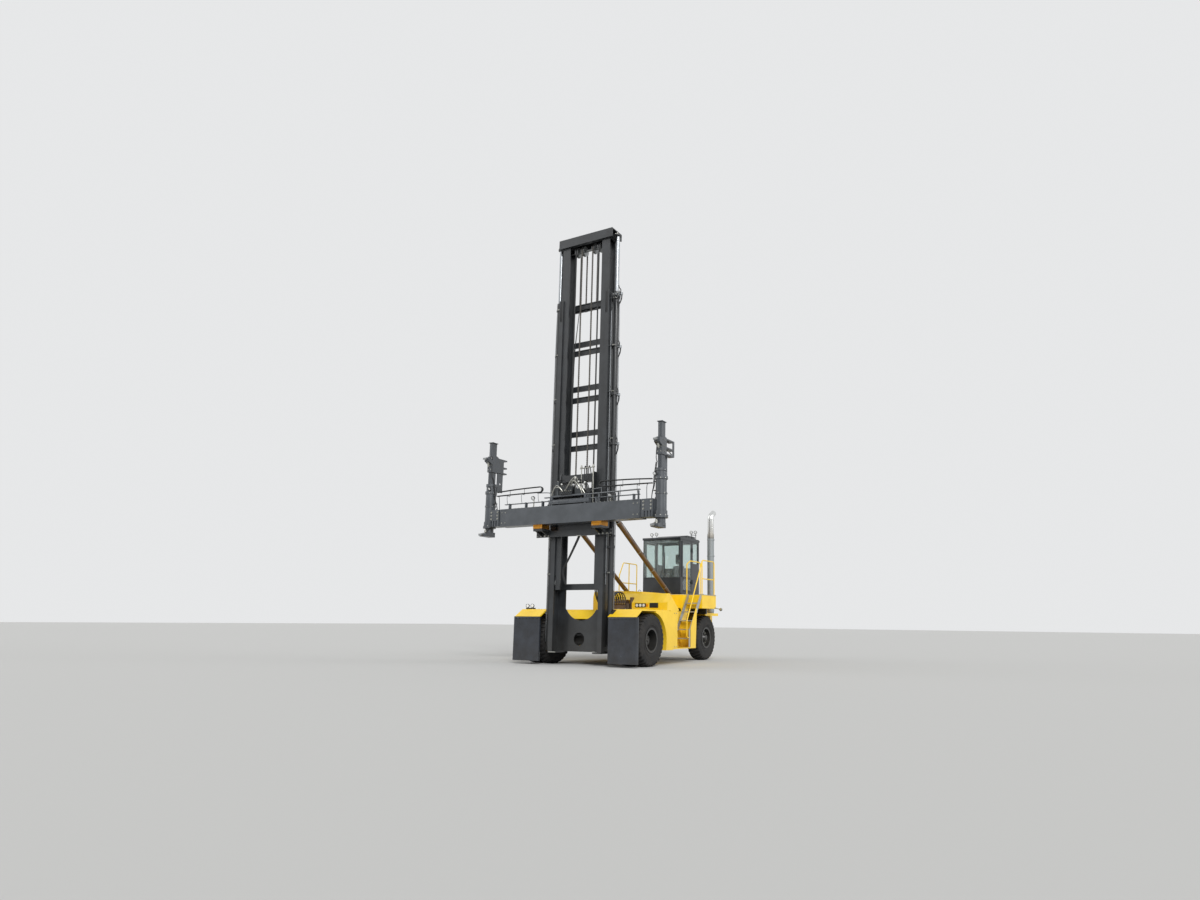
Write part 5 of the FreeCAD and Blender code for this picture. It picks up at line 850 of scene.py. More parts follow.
# folded sheet that closes the body behind the stairs, and the side lamp on its arm
sheet_back, side_lamp, side_lens = bmesh.new(), bmesh.new(), bmesh.new()
prism(sheet_back, [(0.975, 0.62), (1.03, 0.62), (1.30, 1.28), (1.52, 1.705), (0.975, 1.705)],
      "x", 1.4165, 1.4295)
slab(sheet_back, (1.385, 0.985, 1.690), (1.4165, 1.50, 1.7055), 0.002)
keep("stair_back_sheet", sheet_back, yellow, "yellow_paint", "chassis")
slab(side_lamp, (1.935, 2.44, 1.722), (1.975, 2.50, 1.762))
bar(side_lamp, (1.95, 2.47, 1.735), (2.12, 2.47, 1.700), 0.013, 12)
work_lamp(side_lamp, side_lens, (2.150, 2.500, 1.690), (0, 1, -0.15), 0.048)
keep("side_lamp_arm", side_lamp, plated, "bright_steel", "chassis")
keep("side_lamp_lens", side_lens, lens_clear, "lamp_lens", "chassis")

# tail lamps in their boxes, the jaw's drop pin and the bolts of the counterweight
tail, tail_red, edge_bolts = bmesh.new(), bmesh.new(), bmesh.new()
low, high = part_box("counterweight")
pin_y = high.y - 0.070
for s in (1, -1):
    x = s * 0.93
    slab(tail, (x - 0.10, high.y - 0.004, 1.700), (x + 0.10, high.y + 0.016, 1.800), 0.006)
    for dx in (-0.05, 0.05):
        turned(tail_red, [(0, 0), (0.038, 0), (0.036, 0.008), (0.020, 0.013), (0, 0.014)],
               (x + dx, high.y + 0.015, 1.75), (0, 1, 0), 20)
bar(tail, (0, pin_y, 0.64), (0, pin_y, 1.035), 0.024, 16)
turned(tail, [(0, 0), (0.034, 0), (0.036, 0.010), (0.030, 0.018), (0, 0.018)],
       (0, pin_y, 1.03), (0, 0, 1), 18)
lens_red = plain_metal("red_tail_lens", ("#b3161a", "#97100f"), 0.16, 0.004, metallic=0.0)
keep("tail_lamp_boxes", tail, black_cast, "black_plastic", "chassis")
keep("tail_lamp_lenses", tail_red, lens_red, "lamp_lens", "chassis")
for x in (-1.05, 1.05):
    bolts(edge_bolts, (x, high.y - 0.035, 0.80), (0, 0, 0.35), 3, FACE_BACK, big_bolt)
keep("counterweight_bolts", edge_bolts, plated, "bright_steel", "chassis")


# --- Cab --------------------------------------------------------------------
# Welded tube cab in dark grey enamel with bonded tinted glass, black gaskets, a cooler on
# the roof behind and round work lamps on short stalks; wiper on the bowed windscreen.
CAB_FRONT = 2.17
BOW_RADIUS = 3.9992
BOW_MIDDLE = CAB_FRONT + BOW_RADIUS
GLASS_PROUD = 0.0083
SCREEN_HALF = 0.737
BOW_STEPS = 14
SKIN_AT = 0.745
WIPER_BOSS = 2.735
GRILLE_SLATS = 4
cab_paint = enamel("dark_grey_cab_enamel", "#1c1f22", "#272b2f", 0.28, dust=0.05)


def tinted_glass():
    # laminated float glass with a green-grey tint, faintly dusty towards its edges
    material, tree, coat, place = base_coat("tinted_laminated_glass", {
        "Transmission Weight": 0.94, "IOR": 1.5})
    haze = add_node(tree, "ShaderNodeTexNoise", {"Vector": place, "Scale": 1 / 0.3, "Detail": 5.0})
    weather(tree, coat, haze.outputs[0], ("#eaf3f1", "#dcebe8"), dull=(0.0, 0.06), dull_from=(0.4, 0.8))
    return material


glass = tinted_glass()
dress(cab_paint, "cab_shell", "cab_door_left", "cab_door_right")
dress(glass, "cab_glass", "door_glass_left", "door_glass_right")
dress(plated, "hinge_pins")


def bow_y(x, off=0.0):
    # the windscreen's face at a given x
    r = BOW_RADIUS + GLASS_PROUD + off
    return BOW_MIDDLE - math.sqrt(r * r - x * x)


gaskets = bmesh.new()
bead_xs = [-SCREEN_HALF + k * 2 * SCREEN_HALF / BOW_STEPS for k in range(BOW_STEPS + 1)]
for z0, z1 in ((2.765, 2.790), (4.098, 4.120)):
    # rubber bead along the windscreen's lower and upper edges, following the bow
    for a, b in zip(bead_xs, bead_xs[1:]):
        prism(gaskets, [(a, bow_y(a)), (b, bow_y(b)), (b, bow_y(b, 0.006)), (a, bow_y(a, 0.006))],
              "z", z0, z1)
for s in (1, -1):
    x = s * SCREEN_HALF
    prism(gaskets, [(x - s * 0.022, bow_y(0.715)), (x, bow_y(x)), (x, bow_y(x, 0.006)),
                    (x - s * 0.022, bow_y(0.715, 0.006))], "z", 2.765, 4.120)
keep("windscreen_gasket", gaskets, seal, "black_plastic", "chassis")


def pane_gasket(bm, x, y0, y1, z0, z1, s):
    # a pane's rubber frame on the side of the cab
    for low_edge, high_edge in (((y0, z0), (y1, z0 + 0.018)), ((y0, z1 - 0.018), (y1, z1)),
                                ((y0, z0), (y0 + 0.018, z1)), ((y1 - 0.018, z0), (y1, z1))):
        slab(bm, (x, *low_edge), (x + s * 0.006, *high_edge), 0.002)


for side, s in SIDES:
    trim = bmesh.new()
    skin = SKIN_AT * s
    low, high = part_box("door_glass_" + side)
    pane_gasket(trim, skin - s * 0.012, low.y - 0.012, high.y + 0.012, 2.80, high.z + 0.012, s)
    # lower kick strip and lock barrel
    slab(trim, (skin - s * 0.002, low.y + 0.02, 2.315), (skin + s * 0.004, high.y - 0.02, 2.345), 0.002)
    cap(trim, (skin, low.y + 0.03, 2.735), (s, 0, 0), (0.016, 0.008), (0.012, 0.012))
    keep("door_trim_" + side, trim, seal, "black_plastic", "door_" + side)
fixed_trim = bmesh.new()
for s in (1, -1):
    pane_gasket(fixed_trim, s * 0.712, 3.20, 3.66, 3.305, 4.090, s)
# wiper: motor boss under the glass, sprung arm and blade
turned(fixed_trim, [(0, 0), (0.028, 0), (0.026, 0.022), (0.014, 0.030), (0, 0.030)],
       (0.0, bow_y(0.0, 0.010), WIPER_BOSS), (0, -1, 0), 18)
hose(fixed_trim, [(0.0, bow_y(0, 0.030), WIPER_BOSS), (0.02, bow_y(0.02, 0.045), 2.86),
                  (0.17, bow_y(0.17, 0.030), 3.30)], 0.007)
slab(fixed_trim, (0.160, bow_y(0.17, 0.030), 2.92), (0.180, bow_y(0.17, 0.004), 3.66), 0.004)
# slats of the cooler's grille
long_slat = prism_part("slat_long", [(-0.003, -0.010), (0.009, -0.014), (0.011, -0.010), (-0.001, 0.010)],
                       "x", 0.0, 0.90)
row_of(fixed_trim, long_slat, (0.49, 3.748, 4.232), (0, -0.011, 0.021), GRILLE_SLATS, (0, 0, math.pi))
keep("cab_trim", fixed_trim, seal, "black_plastic", "chassis")

roof_lamps, roof_lenses = bmesh.new(), bmesh.new()
for x, y, z, foot in ((-0.44, 2.30, 4.315, 4.205), (-0.25, 2.30, 4.325, 4.205),
                      (0.70, 3.17, 4.440, 4.200), (0.70, 3.51, 4.480, 4.200)):
    bar(roof_lamps, (x, y + 0.030, foot), (x, y + 0.030, z - 0.02), 0.011, 10)
    slab(roof_lamps, (x - 0.030, y, foot), (x + 0.030, y + 0.06, foot + 0.008), 0.002)
    slab(roof_lamps, (x - 0.056, y + 0.02, z - 0.012), (x + 0.056, y + 0.032, z + 0.012), 0.002)
    work_lamp(roof_lamps, roof_lenses, (x, y, z), (0, -1, -0.12), 0.052)
bar(roof_lamps, (0.70, 3.10, 4.345), (0.70, 3.58, 4.380), 0.010, 10)
keep("roof_lamp_housings", roof_lamps, black_cast, "black_plastic", "chassis")
keep("roof_lamp_lenses", roof_lenses, lens_clear, "lamp_lens", "chassis")


# --- Cab inside -------------------------------------------------------------
# Sprung seat covered in woven cloth over moulded foam, stitched in channels; steering wheel
# with a leather-grained rim, two consoles with levers, and a blank display on the right post.
YARN = 0.0032
FOAM_NET = 0.009
BLOW_FRAMES = 20
CHANNEL_HALF = 0.006
CHANNEL_DEPTH = 0.007
LEVERS = 4
moulded = plain_metal("moulded_black_polypropylene", ("#17181a", "#202124"), 0.55, 0.0015, metallic=0.0)
dress(moulded, "cab_controls")


def seat_cloth():
    # plain weave of 1.6 mm yarn in two dark greys, drawn a little coarse so that it shows
    material, tree, coat, place = base_coat("woven_seat_cloth", {
        "Roughness": 0.88, "Sheen Weight": 0.3, "Sheen Roughness": 0.5})
    warp, weft = [add_node(tree, "ShaderNodeTexWave", {"Vector": place, "Scale": 1 / YARN / 2},
                           bands_direction=way) for way in ("X", "DIAGONAL")]
    weave = add_node(tree, "ShaderNodeMath", {0: warp.outputs[1], 1: weft.outputs[1]}, operation="MULTIPLY")
    worn = add_node(tree, "ShaderNodeTexNoise", {"Vector": place, "Scale": 1 / 0.09, "Detail": 4.0})
    share = add_node(tree, "ShaderNodeMath", {0: weave.outputs[0], 1: worn.outputs[0]}, operation="MULTIPLY")
    weather(tree, coat, share.outputs[0], ("#3d4549", "#7f8a90"), relief=(weave.outputs[0], 0.5, 0.0008))
    return material


def foam_block(low, high, edge, lean=0.0):
    # the pad's starting form: a rounded block, leaning back with height
    bm = bmesh.new()
    slab(bm, low, high, edge)
    for v in bm.verts:
        v.co.y += lean * (v.co.z - low[2])
    return bm


def settled(pad):
    # the pad's mesh with its modifiers worked in
    made = bpy.data.meshes.new_from_object(pad.evaluated_get(bpy.context.evaluated_depsgraph_get()))
    pad.modifiers.clear()
    return made


def stuffed(name, bm, reach, channels, axis):
    # foam under a cloth cover: blown up a little, then drawn in along its sewn channels
    mesh = bpy.data.meshes.new(name)
    bm.to_mesh(mesh)
    bm.free()
    pad = show(name, mesh)
    net = pad.modifiers.new("net", "REMESH")
    net.mode = "VOXEL"
    net.voxel_size = FOAM_NET
    pad.data = settled(pad)
    before = [v.co.copy() for v in pad.data.vertices]
    cover = pad.modifiers.new("cover", "CLOTH")
    cover.settings.use_pressure = True
    cover.settings.uniform_pressure_force = 4.0
    cover.settings.effector_weights.gravity = 0.0
    for moment in range(1, BLOW_FRAMES + 1):
        scene.frame_set(moment)
    blown = settled(pad)
    for v, was in zip(blown.vertices, before):
        move = v.co - was
        if move.length > reach:
            v.co = was + move.normalized() * reach
    pad.data = blown
    scene.frame_set(1)
    finer = pad.modifiers.new("finer", "SUBSURF")
    finer.levels = 1
    finer.render_levels = 1
    pad.data = settled(pad)
    # the sewn side looks up on the cushion and forward on the back rest
    facing = 1 if axis == 2 else -1
    normals = [v.normal.copy() for v in pad.data.vertices]
    for v, n in zip(pad.data.vertices, normals):
        depth = sum(math.exp(-((v.co[k] - at) / CHANNEL_HALF) ** 2) for k, at in channels)
        if n[axis] * facing > 0.3:
            v.co -= n * CHANNEL_DEPTH * min(depth, 1.0)
    pad.data.shade_smooth()
    pad.data.materials.clear()
    pad.data.materials.append(cloth)
    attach(pad, "chassis")
    return pad


cloth = seat_cloth()
cushion = stuffed("seat_cushion", foam_block((-0.235, 2.925, 2.563), (0.235, 3.395, 2.668), 0.040), 0.012,
                  ((0, -0.14), (0, 0.14), (1, 3.06)), 2)
stuffed("seat_back", foam_block((-0.225, 3.425, 2.590), (0.225, 3.530, 3.295), 0.040, 0.125), 0.012,
        ((0, -0.13), (0, 0.13), (2, 2.83), (2, 3.06)), 1)
stuffed("seat_head_rest", foam_block((-0.15, 3.545, 3.335), (0.15, 3.625, 3.720), 0.034), 0.010, (), 1)
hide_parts("seat_pads")

inside = bmesh.new()
for s in (1, -1):
    # rods of the head rest and stalks of the steering column
    bar(inside, (s * 0.05, 3.575, 3.24), (s * 0.05, 3.575, 3.36), 0.007, 10)
    hose(inside, [(s * 0.03, 2.685, 2.90), (s * 0.10, 2.680, 2.915), (s * 0.165, 2.665, 2.93)], 0.006)
# gaiter of the steering column, and the pedals
turned(inside, [(0, 0), (0.085, 0), (0.080, 0.020), (0.066, 0.032), (0.074, 0.050), (0.060, 0.062),
                (0.066, 0.080), (0.052, 0.095), (0, 0.095)], (0.0, 2.555, 2.350), (0, 0.24, 0.97), 22)
for x in (-0.16, 0.14, 0.25):
    slab(inside, (x - 0.035, 2.36, 2.375), (x + 0.035, 2.385, 2.475), 0.006)
    bar(inside, (x, 2.38, 2.40), (x, 2.33, 2.30), 0.008, 8)
# lever bank on the right console and the grip on the left one
for k in range(LEVERS):
    x = -0.36 - 0.03 * k
    hose(inside, [(x, 3.02, 2.710), (x, 3.00, 2.80), (x, 2.985, 2.835)], 0.005)
    turned(inside, [(0, 0), (0.009, 0.002), (0.0125, 0.020), (0.011, 0.036), (0, 0.041)],
           (x, 2.987, 2.828), (0, -0.2, 1), 12)
hose(inside, [(0.41, 3.05, 2.85), (0.41, 3.04, 2.94), (0.405, 3.03, 3.00)], 0.016)
turned(inside, [(0, 0), (0.022, 0.004), (0.026, 0.030), (0.020, 0.060), (0, 0.068)],
       (0.405, 3.03, 2.985), (0, -0.1, 1), 16)
# arm pads on both consoles, and the display on its arm
slab(inside, (-0.50, 3.12, 2.712), (-0.33, 3.52, 2.745), 0.012)
slab(inside, (0.33, 3.12, 2.852), (0.50, 3.52, 2.885), 0.012)
hose(inside, [(-0.64, 2.62, 2.36), (-0.64, 2.62, 2.95), (-0.58, 2.60, 3.05)], 0.012)
slab(inside, (-0.665, 2.575, 3.00), (-0.475, 2.605, 3.16), 0.008)
keep("cab_fittings", inside, moulded, "black_plastic", "chassis")


# --- Mast -------------------------------------------------------------------
# Two stages of hot-rolled channel welded to plate ties and sprayed in charcoal enamel; steel
# pipes clamped beside the lift cylinders, forged rollers on stubs and bolted keeper plates.
MAST_AXIS = -2.78
LIFT_AT = 1.065
RAIL_FRONT = -3.0
TIES = 5
OUTER_TIE_STEP = 1.45
INNER_TIE_STEP = 1.53
INNER_TIE_DEPTH = 0.17
FOOT_PORT = 0.66
BARREL_HEAD = 11.02
BEAM_TOP = 13.118
charcoal = enamel("charcoal_mast_enamel", "#202224", "#2e3134", 0.38, dust=0.12)
cylinder_black = enamel("satin_black_cylinder_enamel", "#191b1d", "#242628", 0.34, dust=0.1)
rolled_steel = plain_metal("rolled_bright_steel", ("#7d7f80", "#a2a4a4"), 0.38, 0.002)
chrome = plain_metal("hard_chrome_plate", ("#85888b", "#9a9da0"), 0.34, 0.0006)
pipe_zinc = plain_metal("zinc_plated_pipe", ("#6f7275", "#8d9092"), 0.42, 0.002)
dress(charcoal, "outer_mast", "inner_mast")
dress(cylinder_black, "lift_cylinders")
dress(chrome, "lift_rods")
dress(rolled_steel, "mast_rollers", "chain_wheels", "carriage_rollers")

mast_bolts, mast_pipes, mast_hoses = bmesh.new(), bmesh.new(), bmesh.new()
clamp_heights = [10.98, 2.6] + [9.46 - OUTER_TIE_STEP * k for k in range(TIES)]
for s in (1, -1):
    # bolts of the pivot pin's keeper plate, and the port in the lift cylinder's foot
    for z in (0.48, 0.56):
        bolts(mast_bolts, (s * 0.930, -2.72, z), (0, 0.09, 0), 2, FACE_RIGHT if s < 0 else FACE_LEFT)
    fitting(mast_pipes, (s * (LIFT_AT + 0.075), MAST_AXIS, FOOT_PORT), (s, 0, 0), (0.019, 0.030),
            (0.014, 0.036, 0.055), 12)
    # gland nut with its chamfered rim
    turned(mast_pipes, [(0.060, 0), (0.089, 0.0), (0.089, 0.012), (0.082, 0.020), (0.060, 0.020)],
           (s * LIFT_AT, MAST_AXIS, 11.208), (0, 0, 1), 28)
    # pressure pipe from the foot port to the head and two thin pipes, in clamps beside the barrel
    x = s * (LIFT_AT + 0.118)
    hose(mast_pipes, [(s * (LIFT_AT + 0.10), MAST_AXIS, FOOT_PORT), (x, MAST_AXIS, FOOT_PORT + 0.10),
                      (x, MAST_AXIS, 5.5), (x, MAST_AXIS, BARREL_HEAD),
                      (s * (LIFT_AT + 0.085), MAST_AXIS, BARREL_HEAD + 0.11)], 0.011)
    for y, top in ((-2.905, BARREL_HEAD), (-2.880, BARREL_HEAD - 0.22)):
        hose(mast_pipes, [(s * 0.962, y, z) for z in (2.3, 6.0, top)], 0.009)
    for z in clamp_heights:
        slab(mast_pipes, (x + s * 0.008, MAST_AXIS - 0.020, z + 0.012),
             (x - s * 0.038, MAST_AXIS + 0.020, z + 0.056), 0.004)
        slab(mast_pipes, (s * 0.93, -2.925, z + 0.01), (s * 0.985, -2.86, z + 0.035), 0.004)
        bolts(mast_bolts, (s * (LIFT_AT - 0.04), MAST_AXIS - 0.104, z + 0.035), (s * 0.05, 0, 0), 2,
              FACE_FRONT)
    # bolts along the rail's flange pads, a pair at each tie
    for k in range(TIES):
        bolts(mast_bolts, (s * 0.60, -2.5395, 4.0 + OUTER_TIE_STEP * k), (0, 0, 0.07), 2, FACE_BACK)
    # twin hoses clipped down the inside of each rail to the foot of the mast
    for y in (-2.70, -2.665):
        hose(mast_hoses, [(s * 0.43, -2.613, 10.90), (s * 0.47, -2.66, 10.2), (s * 0.545, y, 9.3),
                          (s * 0.550, y, 5.0), (s * 0.548, y, 4.25), (s * 0.52, -2.62, 4.08),
                          (s * 0.48, -2.566, 4.02)], 0.012)
    # rubber strips that close the roller slots at the rails' heads
    slab(mast_hoses, (s * 0.807, RAIL_FRONT + 0.008, 10.535), (s * 0.883, RAIL_FRONT + 0.012, 11.226), 0.001)
for z, out in ((11.10, 1.262), (9.40, 1.252), (7.90, 1.236), (6.40, 1.236)):
    # hose saddles standing off the left-hand barrel, with a slack loop held at both ends
    slab(mast_pipes, (1.165, -2.85, z), (out, -2.78, z + 0.036), 0.004)
    turned(mast_pipes, [(0.020, 0), (0.038, 0), (0.038, 0.080), (0.020, 0.080)],
           (out, -2.815, z - 0.022), (0, 0, 1), 16)
    hose(mast_hoses, [(out, -2.815, z + 0.06), (out + 0.020, -2.82, z - 0.10), (out - 0.03, -2.83, z - 0.25),
                      (1.19, -2.83, z - 0.30)], 0.019)
    hose(mast_hoses, [(out - 0.02, -2.845, z + 0.05), (out + 0.01, -2.86, z + 0.14), (1.20, -2.87, z + 0.20),
                      (1.18, -2.86, z + 0.30)], 0.015)
# velocity fuse block on the left-hand gland, its fittings and hoses
slab(mast_pipes, (1.150, -2.875, 11.02), (1.215, -2.790, 11.20), 0.006)
slab(mast_pipes, (0.985, -2.925, 11.06), (1.150, -2.885, 11.14), 0.005)
for place, aim in (((1.18, -2.875, 11.14), (0, -1, 0)), ((1.18, -2.875, 11.07), (0, -1, 0)),
                   ((1.215, -2.83, 11.15), (1, 0, 0)), ((1.18, -2.83, 11.20), (0, 0, 1)),
                   ((1.02, -2.925, 11.10), (0, -1, 0)), ((1.10, -2.925, 11.10), (0, -1, 0))):
    fitting(mast_bolts, place, aim, (0.020, 0.020), (0.013, 0.022, 0.045))
for line in (((1.18, -2.92, 11.07), (1.185, -2.95, 11.02), (1.20, -2.90, 10.82), (1.185, -2.85, 10.62)),
             ((1.02, -2.97, 11.10), (1.015, -2.99, 11.02), (0.985, -2.96, 10.85), (0.975, -2.93, 10.60)),
             ((1.10, -2.97, 11.10), (1.10, -2.99, 11.00), (1.06, -2.93, 10.80), (1.00, -2.93, 10.66)),
             ((1.26, -2.83, 11.15), (1.285, -2.83, 11.10), (1.27, -2.83, 10.92), (1.20, -2.82, 10.80))):
    hose(mast_hoses, line, 0.014)
# wear shoes rubbed bright at the lower edges
slab(mast_bolts, (-0.905, RAIL_FRONT - 0.004, 0.353), (-0.655, RAIL_FRONT + 0.010, 0.380))
slab(mast_bolts, (0.37, -2.603, 0.356), (0.46, -2.590, 0.392))
keep("mast_bolts", mast_bolts, plated, "bright_steel", "mast")
keep("mast_pipes", mast_pipes, pipe_zinc, "bright_steel", "mast")
keep("mast_hoses", mast_hoses, hose_rubber, "black_plastic", "mast")

# Inner mast: beam end plates bolted over the rod caps, and weld beads of the cross ties, which
# stand up a few millimetres where plate meets channel.
inner_bolts, inner_welds = bmesh.new(), bmesh.new()
for s in (1, -1):
    for y in (MAST_AXIS - 0.088, MAST_AXIS + 0.088):
        bolts(inner_bolts, (s * 1.04, y, BEAM_TOP), (s * 0.055, 0, 0), 2, FACE_UP, big_bolt)
    cap(inner_bolts, (s * LIFT_AT, MAST_AXIS, BEAM_TOP - 0.003), (0, 0, 1), (0.062, 0.014),
        (0.046, 0.022), 24)
    for k in range(TIES):
        z = 4.845 + INNER_TIE_STEP * k
        for edge in (z, z + INNER_TIE_DEPTH):
            bar(inner_welds, (s * 0.615, -2.602, edge), (s * 0.585, -2.602, edge), 0.006, 8)
        bar(inner_welds, (s * 0.600, -2.604, z), (s * 0.600, -2.604, z + INNER_TIE_DEPTH), 0.006, 8)
keep("inner_mast_bolts", inner_bolts, plated, "bright_steel", "mast_inner")
keep("inner_mast_welds", inner_welds, charcoal, "charcoal_paint", "mast_inner")


# --- Lift chains ------------------------------------------------------------
# Leaf chain of stacked figure-of-eight plates on riveted pins, oiled; two strands run from the
# outer mast over the wheels under the beam to the carriage, with a pair of hoses beside each.
PITCH = 0.03175
PLATE_END = 0.0095
OUTER_PACK = (-0.0205, 0.0, 0.0205)
INNER_PACK = (-0.0103, 0.0103)
PIN_HALF = 0.0255
CHAIN_AT = 0.2
HOSE_AT = 0.43
WHEEL_AXIS = (-2.728, 12.88)
CHAIN_BEND = 0.145
BEND_LINKS = 14
HOSE_BEND = CHAIN_BEND - 0.004
HOSE_RADIUS = 0.0115
oiled_chain = plain_metal("oiled_leaf_chain", ("#4d4a46", "#7b7772"), 0.36, 0.002)


def figure_plate(bm, x, z, thick):
    # one waisted link plate standing in the plane of travel
    outline = []
    for pin, start in ((z, math.pi), (z + PITCH, 0.0)):
        for k in range(5):
            turn = math.pi * k / 4 + start
            outline.append((PLATE_END * math.cos(turn), pin + PLATE_END * math.sin(turn)))
    prism(bm, outline, "x", x - thick / 2, x + thick / 2)


def chain_unit():
    # two pitches of chain: an outer pack, an inner pack and the two pins between them
    bm = bmesh.new()
    for x in OUTER_PACK:
        figure_plate(bm, x, 0.0, 0.0070)
    for x in INNER_PACK:
        figure_plate(bm, x, PITCH, 0.0110)
    for z in (0.0, PITCH):
        bar(bm, (-PIN_HALF, 0, z), (PIN_HALF, 0, z), 0.0042, 6)
    return bm


def strand(bm, x, y, low, high):
    # a straight run, its last unit ending just short of the upper height
    count = int((high - low) / (2 * PITCH))
    row_of(bm, chain_part, (x, y, low), (0, 0, (high - low - 0.01) / count), count)


def over_wheel(radius, steps):
    # points on the half turn over the wheels, from the rear run to the front run
    return [(WHEEL_AXIS[0] + radius * math.cos(math.pi * k / steps),
             WHEEL_AXIS[1] + radius * math.sin(math.pi * k / steps)) for k in range(steps + 1)]


chain_part = pattern_part(chain_unit(), "chain_unit")
rear_run, front_run, over_run, anchors = bmesh.new(), bmesh.new(), bmesh.new(), bmesh.new()
bend = over_wheel(CHAIN_BEND, BEND_LINKS)
for x in (-CHAIN_AT, CHAIN_AT):
    strand(rear_run, x, WHEEL_AXIS[0] + CHAIN_BEND, 10.985, WHEEL_AXIS[1])
    strand(front_run, x, WHEEL_AXIS[0] - CHAIN_BEND, 5.466, WHEEL_AXIS[1])
    for y, z in bend:
        bar(over_run, (x - PIN_HALF, y, z), (x + PIN_HALF, y, z), 0.0044, 6)
    for k, ((y, z), (far_y, far_z)) in enumerate(zip(bend, bend[1:])):
        way = Vector((0, far_y - y, far_z - z)).normalized()
        w = Vector((0, -way.z, way.y)) * 0.0085
        for at in OUTER_PACK if k % 2 else INNER_PACK:
            prism(over_run, [(y + w.y, z + w.z), (far_y + w.y, far_z + w.z), (far_y - w.y, far_z - w.z),
                             (y - w.y, z - w.z)], "x", x + at - 0.0045, x + at + 0.0045)
    # threaded chain anchors with their nuts
    turned(anchors, [(0, 0), (0.014, 0), (0.014, 0.030), (0.022, 0.032), (0.022, 0.050), (0.014, 0.052),
                     (0.014, 0.09), (0, 0.09)], (x, WHEEL_AXIS[0] - CHAIN_BEND, 5.305), (0, 0, -1), 6)
rear_chains = keep("leaf_chains_rear", rear_run, oiled_chain, "bright_steel", None, "chains_rear")
front_chains = keep("leaf_chains_front", front_run, oiled_chain, "bright_steel", None, "chains_front")
keep("leaf_chains_over", over_run, oiled_chain, "bright_steel", "mast_inner")
keep("chain_anchors", anchors, plated, "bright_steel", "carrier")

hose_rear, hose_front, hose_over = bmesh.new(), bmesh.new(), bmesh.new()
for s in (1, -1):
    for off in (-0.014, 0.014):
        x = s * HOSE_AT + off
        for bm, y, foot in ((hose_rear, WHEEL_AXIS[0] + HOSE_BEND, 10.90),
                            (hose_front, WHEEL_AXIS[0] - HOSE_BEND, 5.20)):
            bar(bm, (x, y, foot), (x, y, WHEEL_AXIS[1]), HOSE_RADIUS, 12)
        hose(hose_over, [(x, y, z) for y, z in over_wheel(HOSE_BEND, 10)], HOSE_RADIUS)
rear_hoses = keep("mast_hose_rear", hose_rear, hose_rubber, "black_plastic", None)
front_hoses = keep("mast_hose_front", hose_front, hose_rubber, "black_plastic", None)
keep("mast_hose_over", hose_over, hose_rubber, "black_plastic", "mast_inner")
for piece in (rear_chains, rear_hoses):
    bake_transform(piece)
for piece in (front_chains, front_hoses):
    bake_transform(piece)


# --- Carriage ---------------------------------------------------------------
# Flame-cut plates welded into a frame that rolls in the inner mast; bronze-faced pads in bolted
# trays carry the spreader, and a black loom drops from the crossbar to the rail.
CROSS_FRONT = -3.19
POST_Y = -3.228
frame_grey = enamel("charcoal_spreader_enamel", "#3e4246", "#4e5257", 0.36, dust=0.08)
dress(charcoal, "carriage")


def pad_bronze():
    # aluminium bronze wear plate: warm brown skin, rubbed bright in streaks along the slide
    material, tree, coat, place = base_coat("aluminium_bronze_pad", {"Metallic": 1.0})
    drawn = add_node(tree, "ShaderNodeMapping", {"Vector": place, "Scale": (0.05, 1.0, 1.0)})
    rub = add_node(tree, "ShaderNodeTexNoise", {"Vector": drawn.outputs[0], "Scale": 1 / 0.03, "Detail": 5.0})
    weather(tree, coat, rub.outputs[0], ("#6b3f12", "#d99a3c"), dull=(0.55, 0.30))
    return material


bronze = pad_bronze()
dress(bronze, "slide_pads")
dress(frame_grey, "spreader_box", "arm_left", "arm_right", "head_left", "head_right")
dress(rolled_steel, "lock_lower_left", "lock_lower_right", "lock_upper_left", "lock_upper_right")

carriage_bolts, carriage_loom, loom_over = bmesh.new(), bmesh.new(), bmesh.new()
for s in (1, -1):
    bolts(carriage_bolts, (s * 0.90, CROSS_FRONT, 3.74), (s * 0.13, 0, 0), 3, FACE_FRONT, big_bolt)
    bolts(carriage_bolts, (s * 1.295, CROSS_FRONT, 3.735), (0, 0, 0.105), 2, FACE_FRONT)
    bolts(carriage_bolts, (s * 0.62, CROSS_FRONT, 4.34), (0, 0, 0.13), 2, FACE_FRONT)
    bolts(carriage_bolts, (s * 0.900, -3.555, 3.945), (s * 0.26, 0, 0), 2, FACE_FRONT)
    for z in (4.35, 5.45):
        # roller stub's cap seen on the inner side of the plate
        turned(carriage_bolts, [(0, 0), (0.060, 0), (0.055, 0.012), (0.030, 0.014), (0, 0.014)],
               (s * 0.5565, MAST_AXIS, z), (-s, 0, 0), 20)
# loom from the crossbar down to the inner mast, under its clamp
slab(carriage_bolts, (0.12, -3.205, 3.69), (0.28, -3.12, 3.715), 0.004)
for k in range(3):
    high_x = 0.028 * k
    low_x = 0.020 * k
    hose(carriage_loom, [(0.17 + high_x, -3.16, 3.72), (0.12 + high_x, -3.15, 3.62),
                         (low_x - 0.30, -3.07, 2.95), (low_x - 0.45, -3.04, 2.78),
                         (low_x - 0.47, -3.03, 2.55), (low_x - 0.36, -3.00, 2.30)], 0.015)
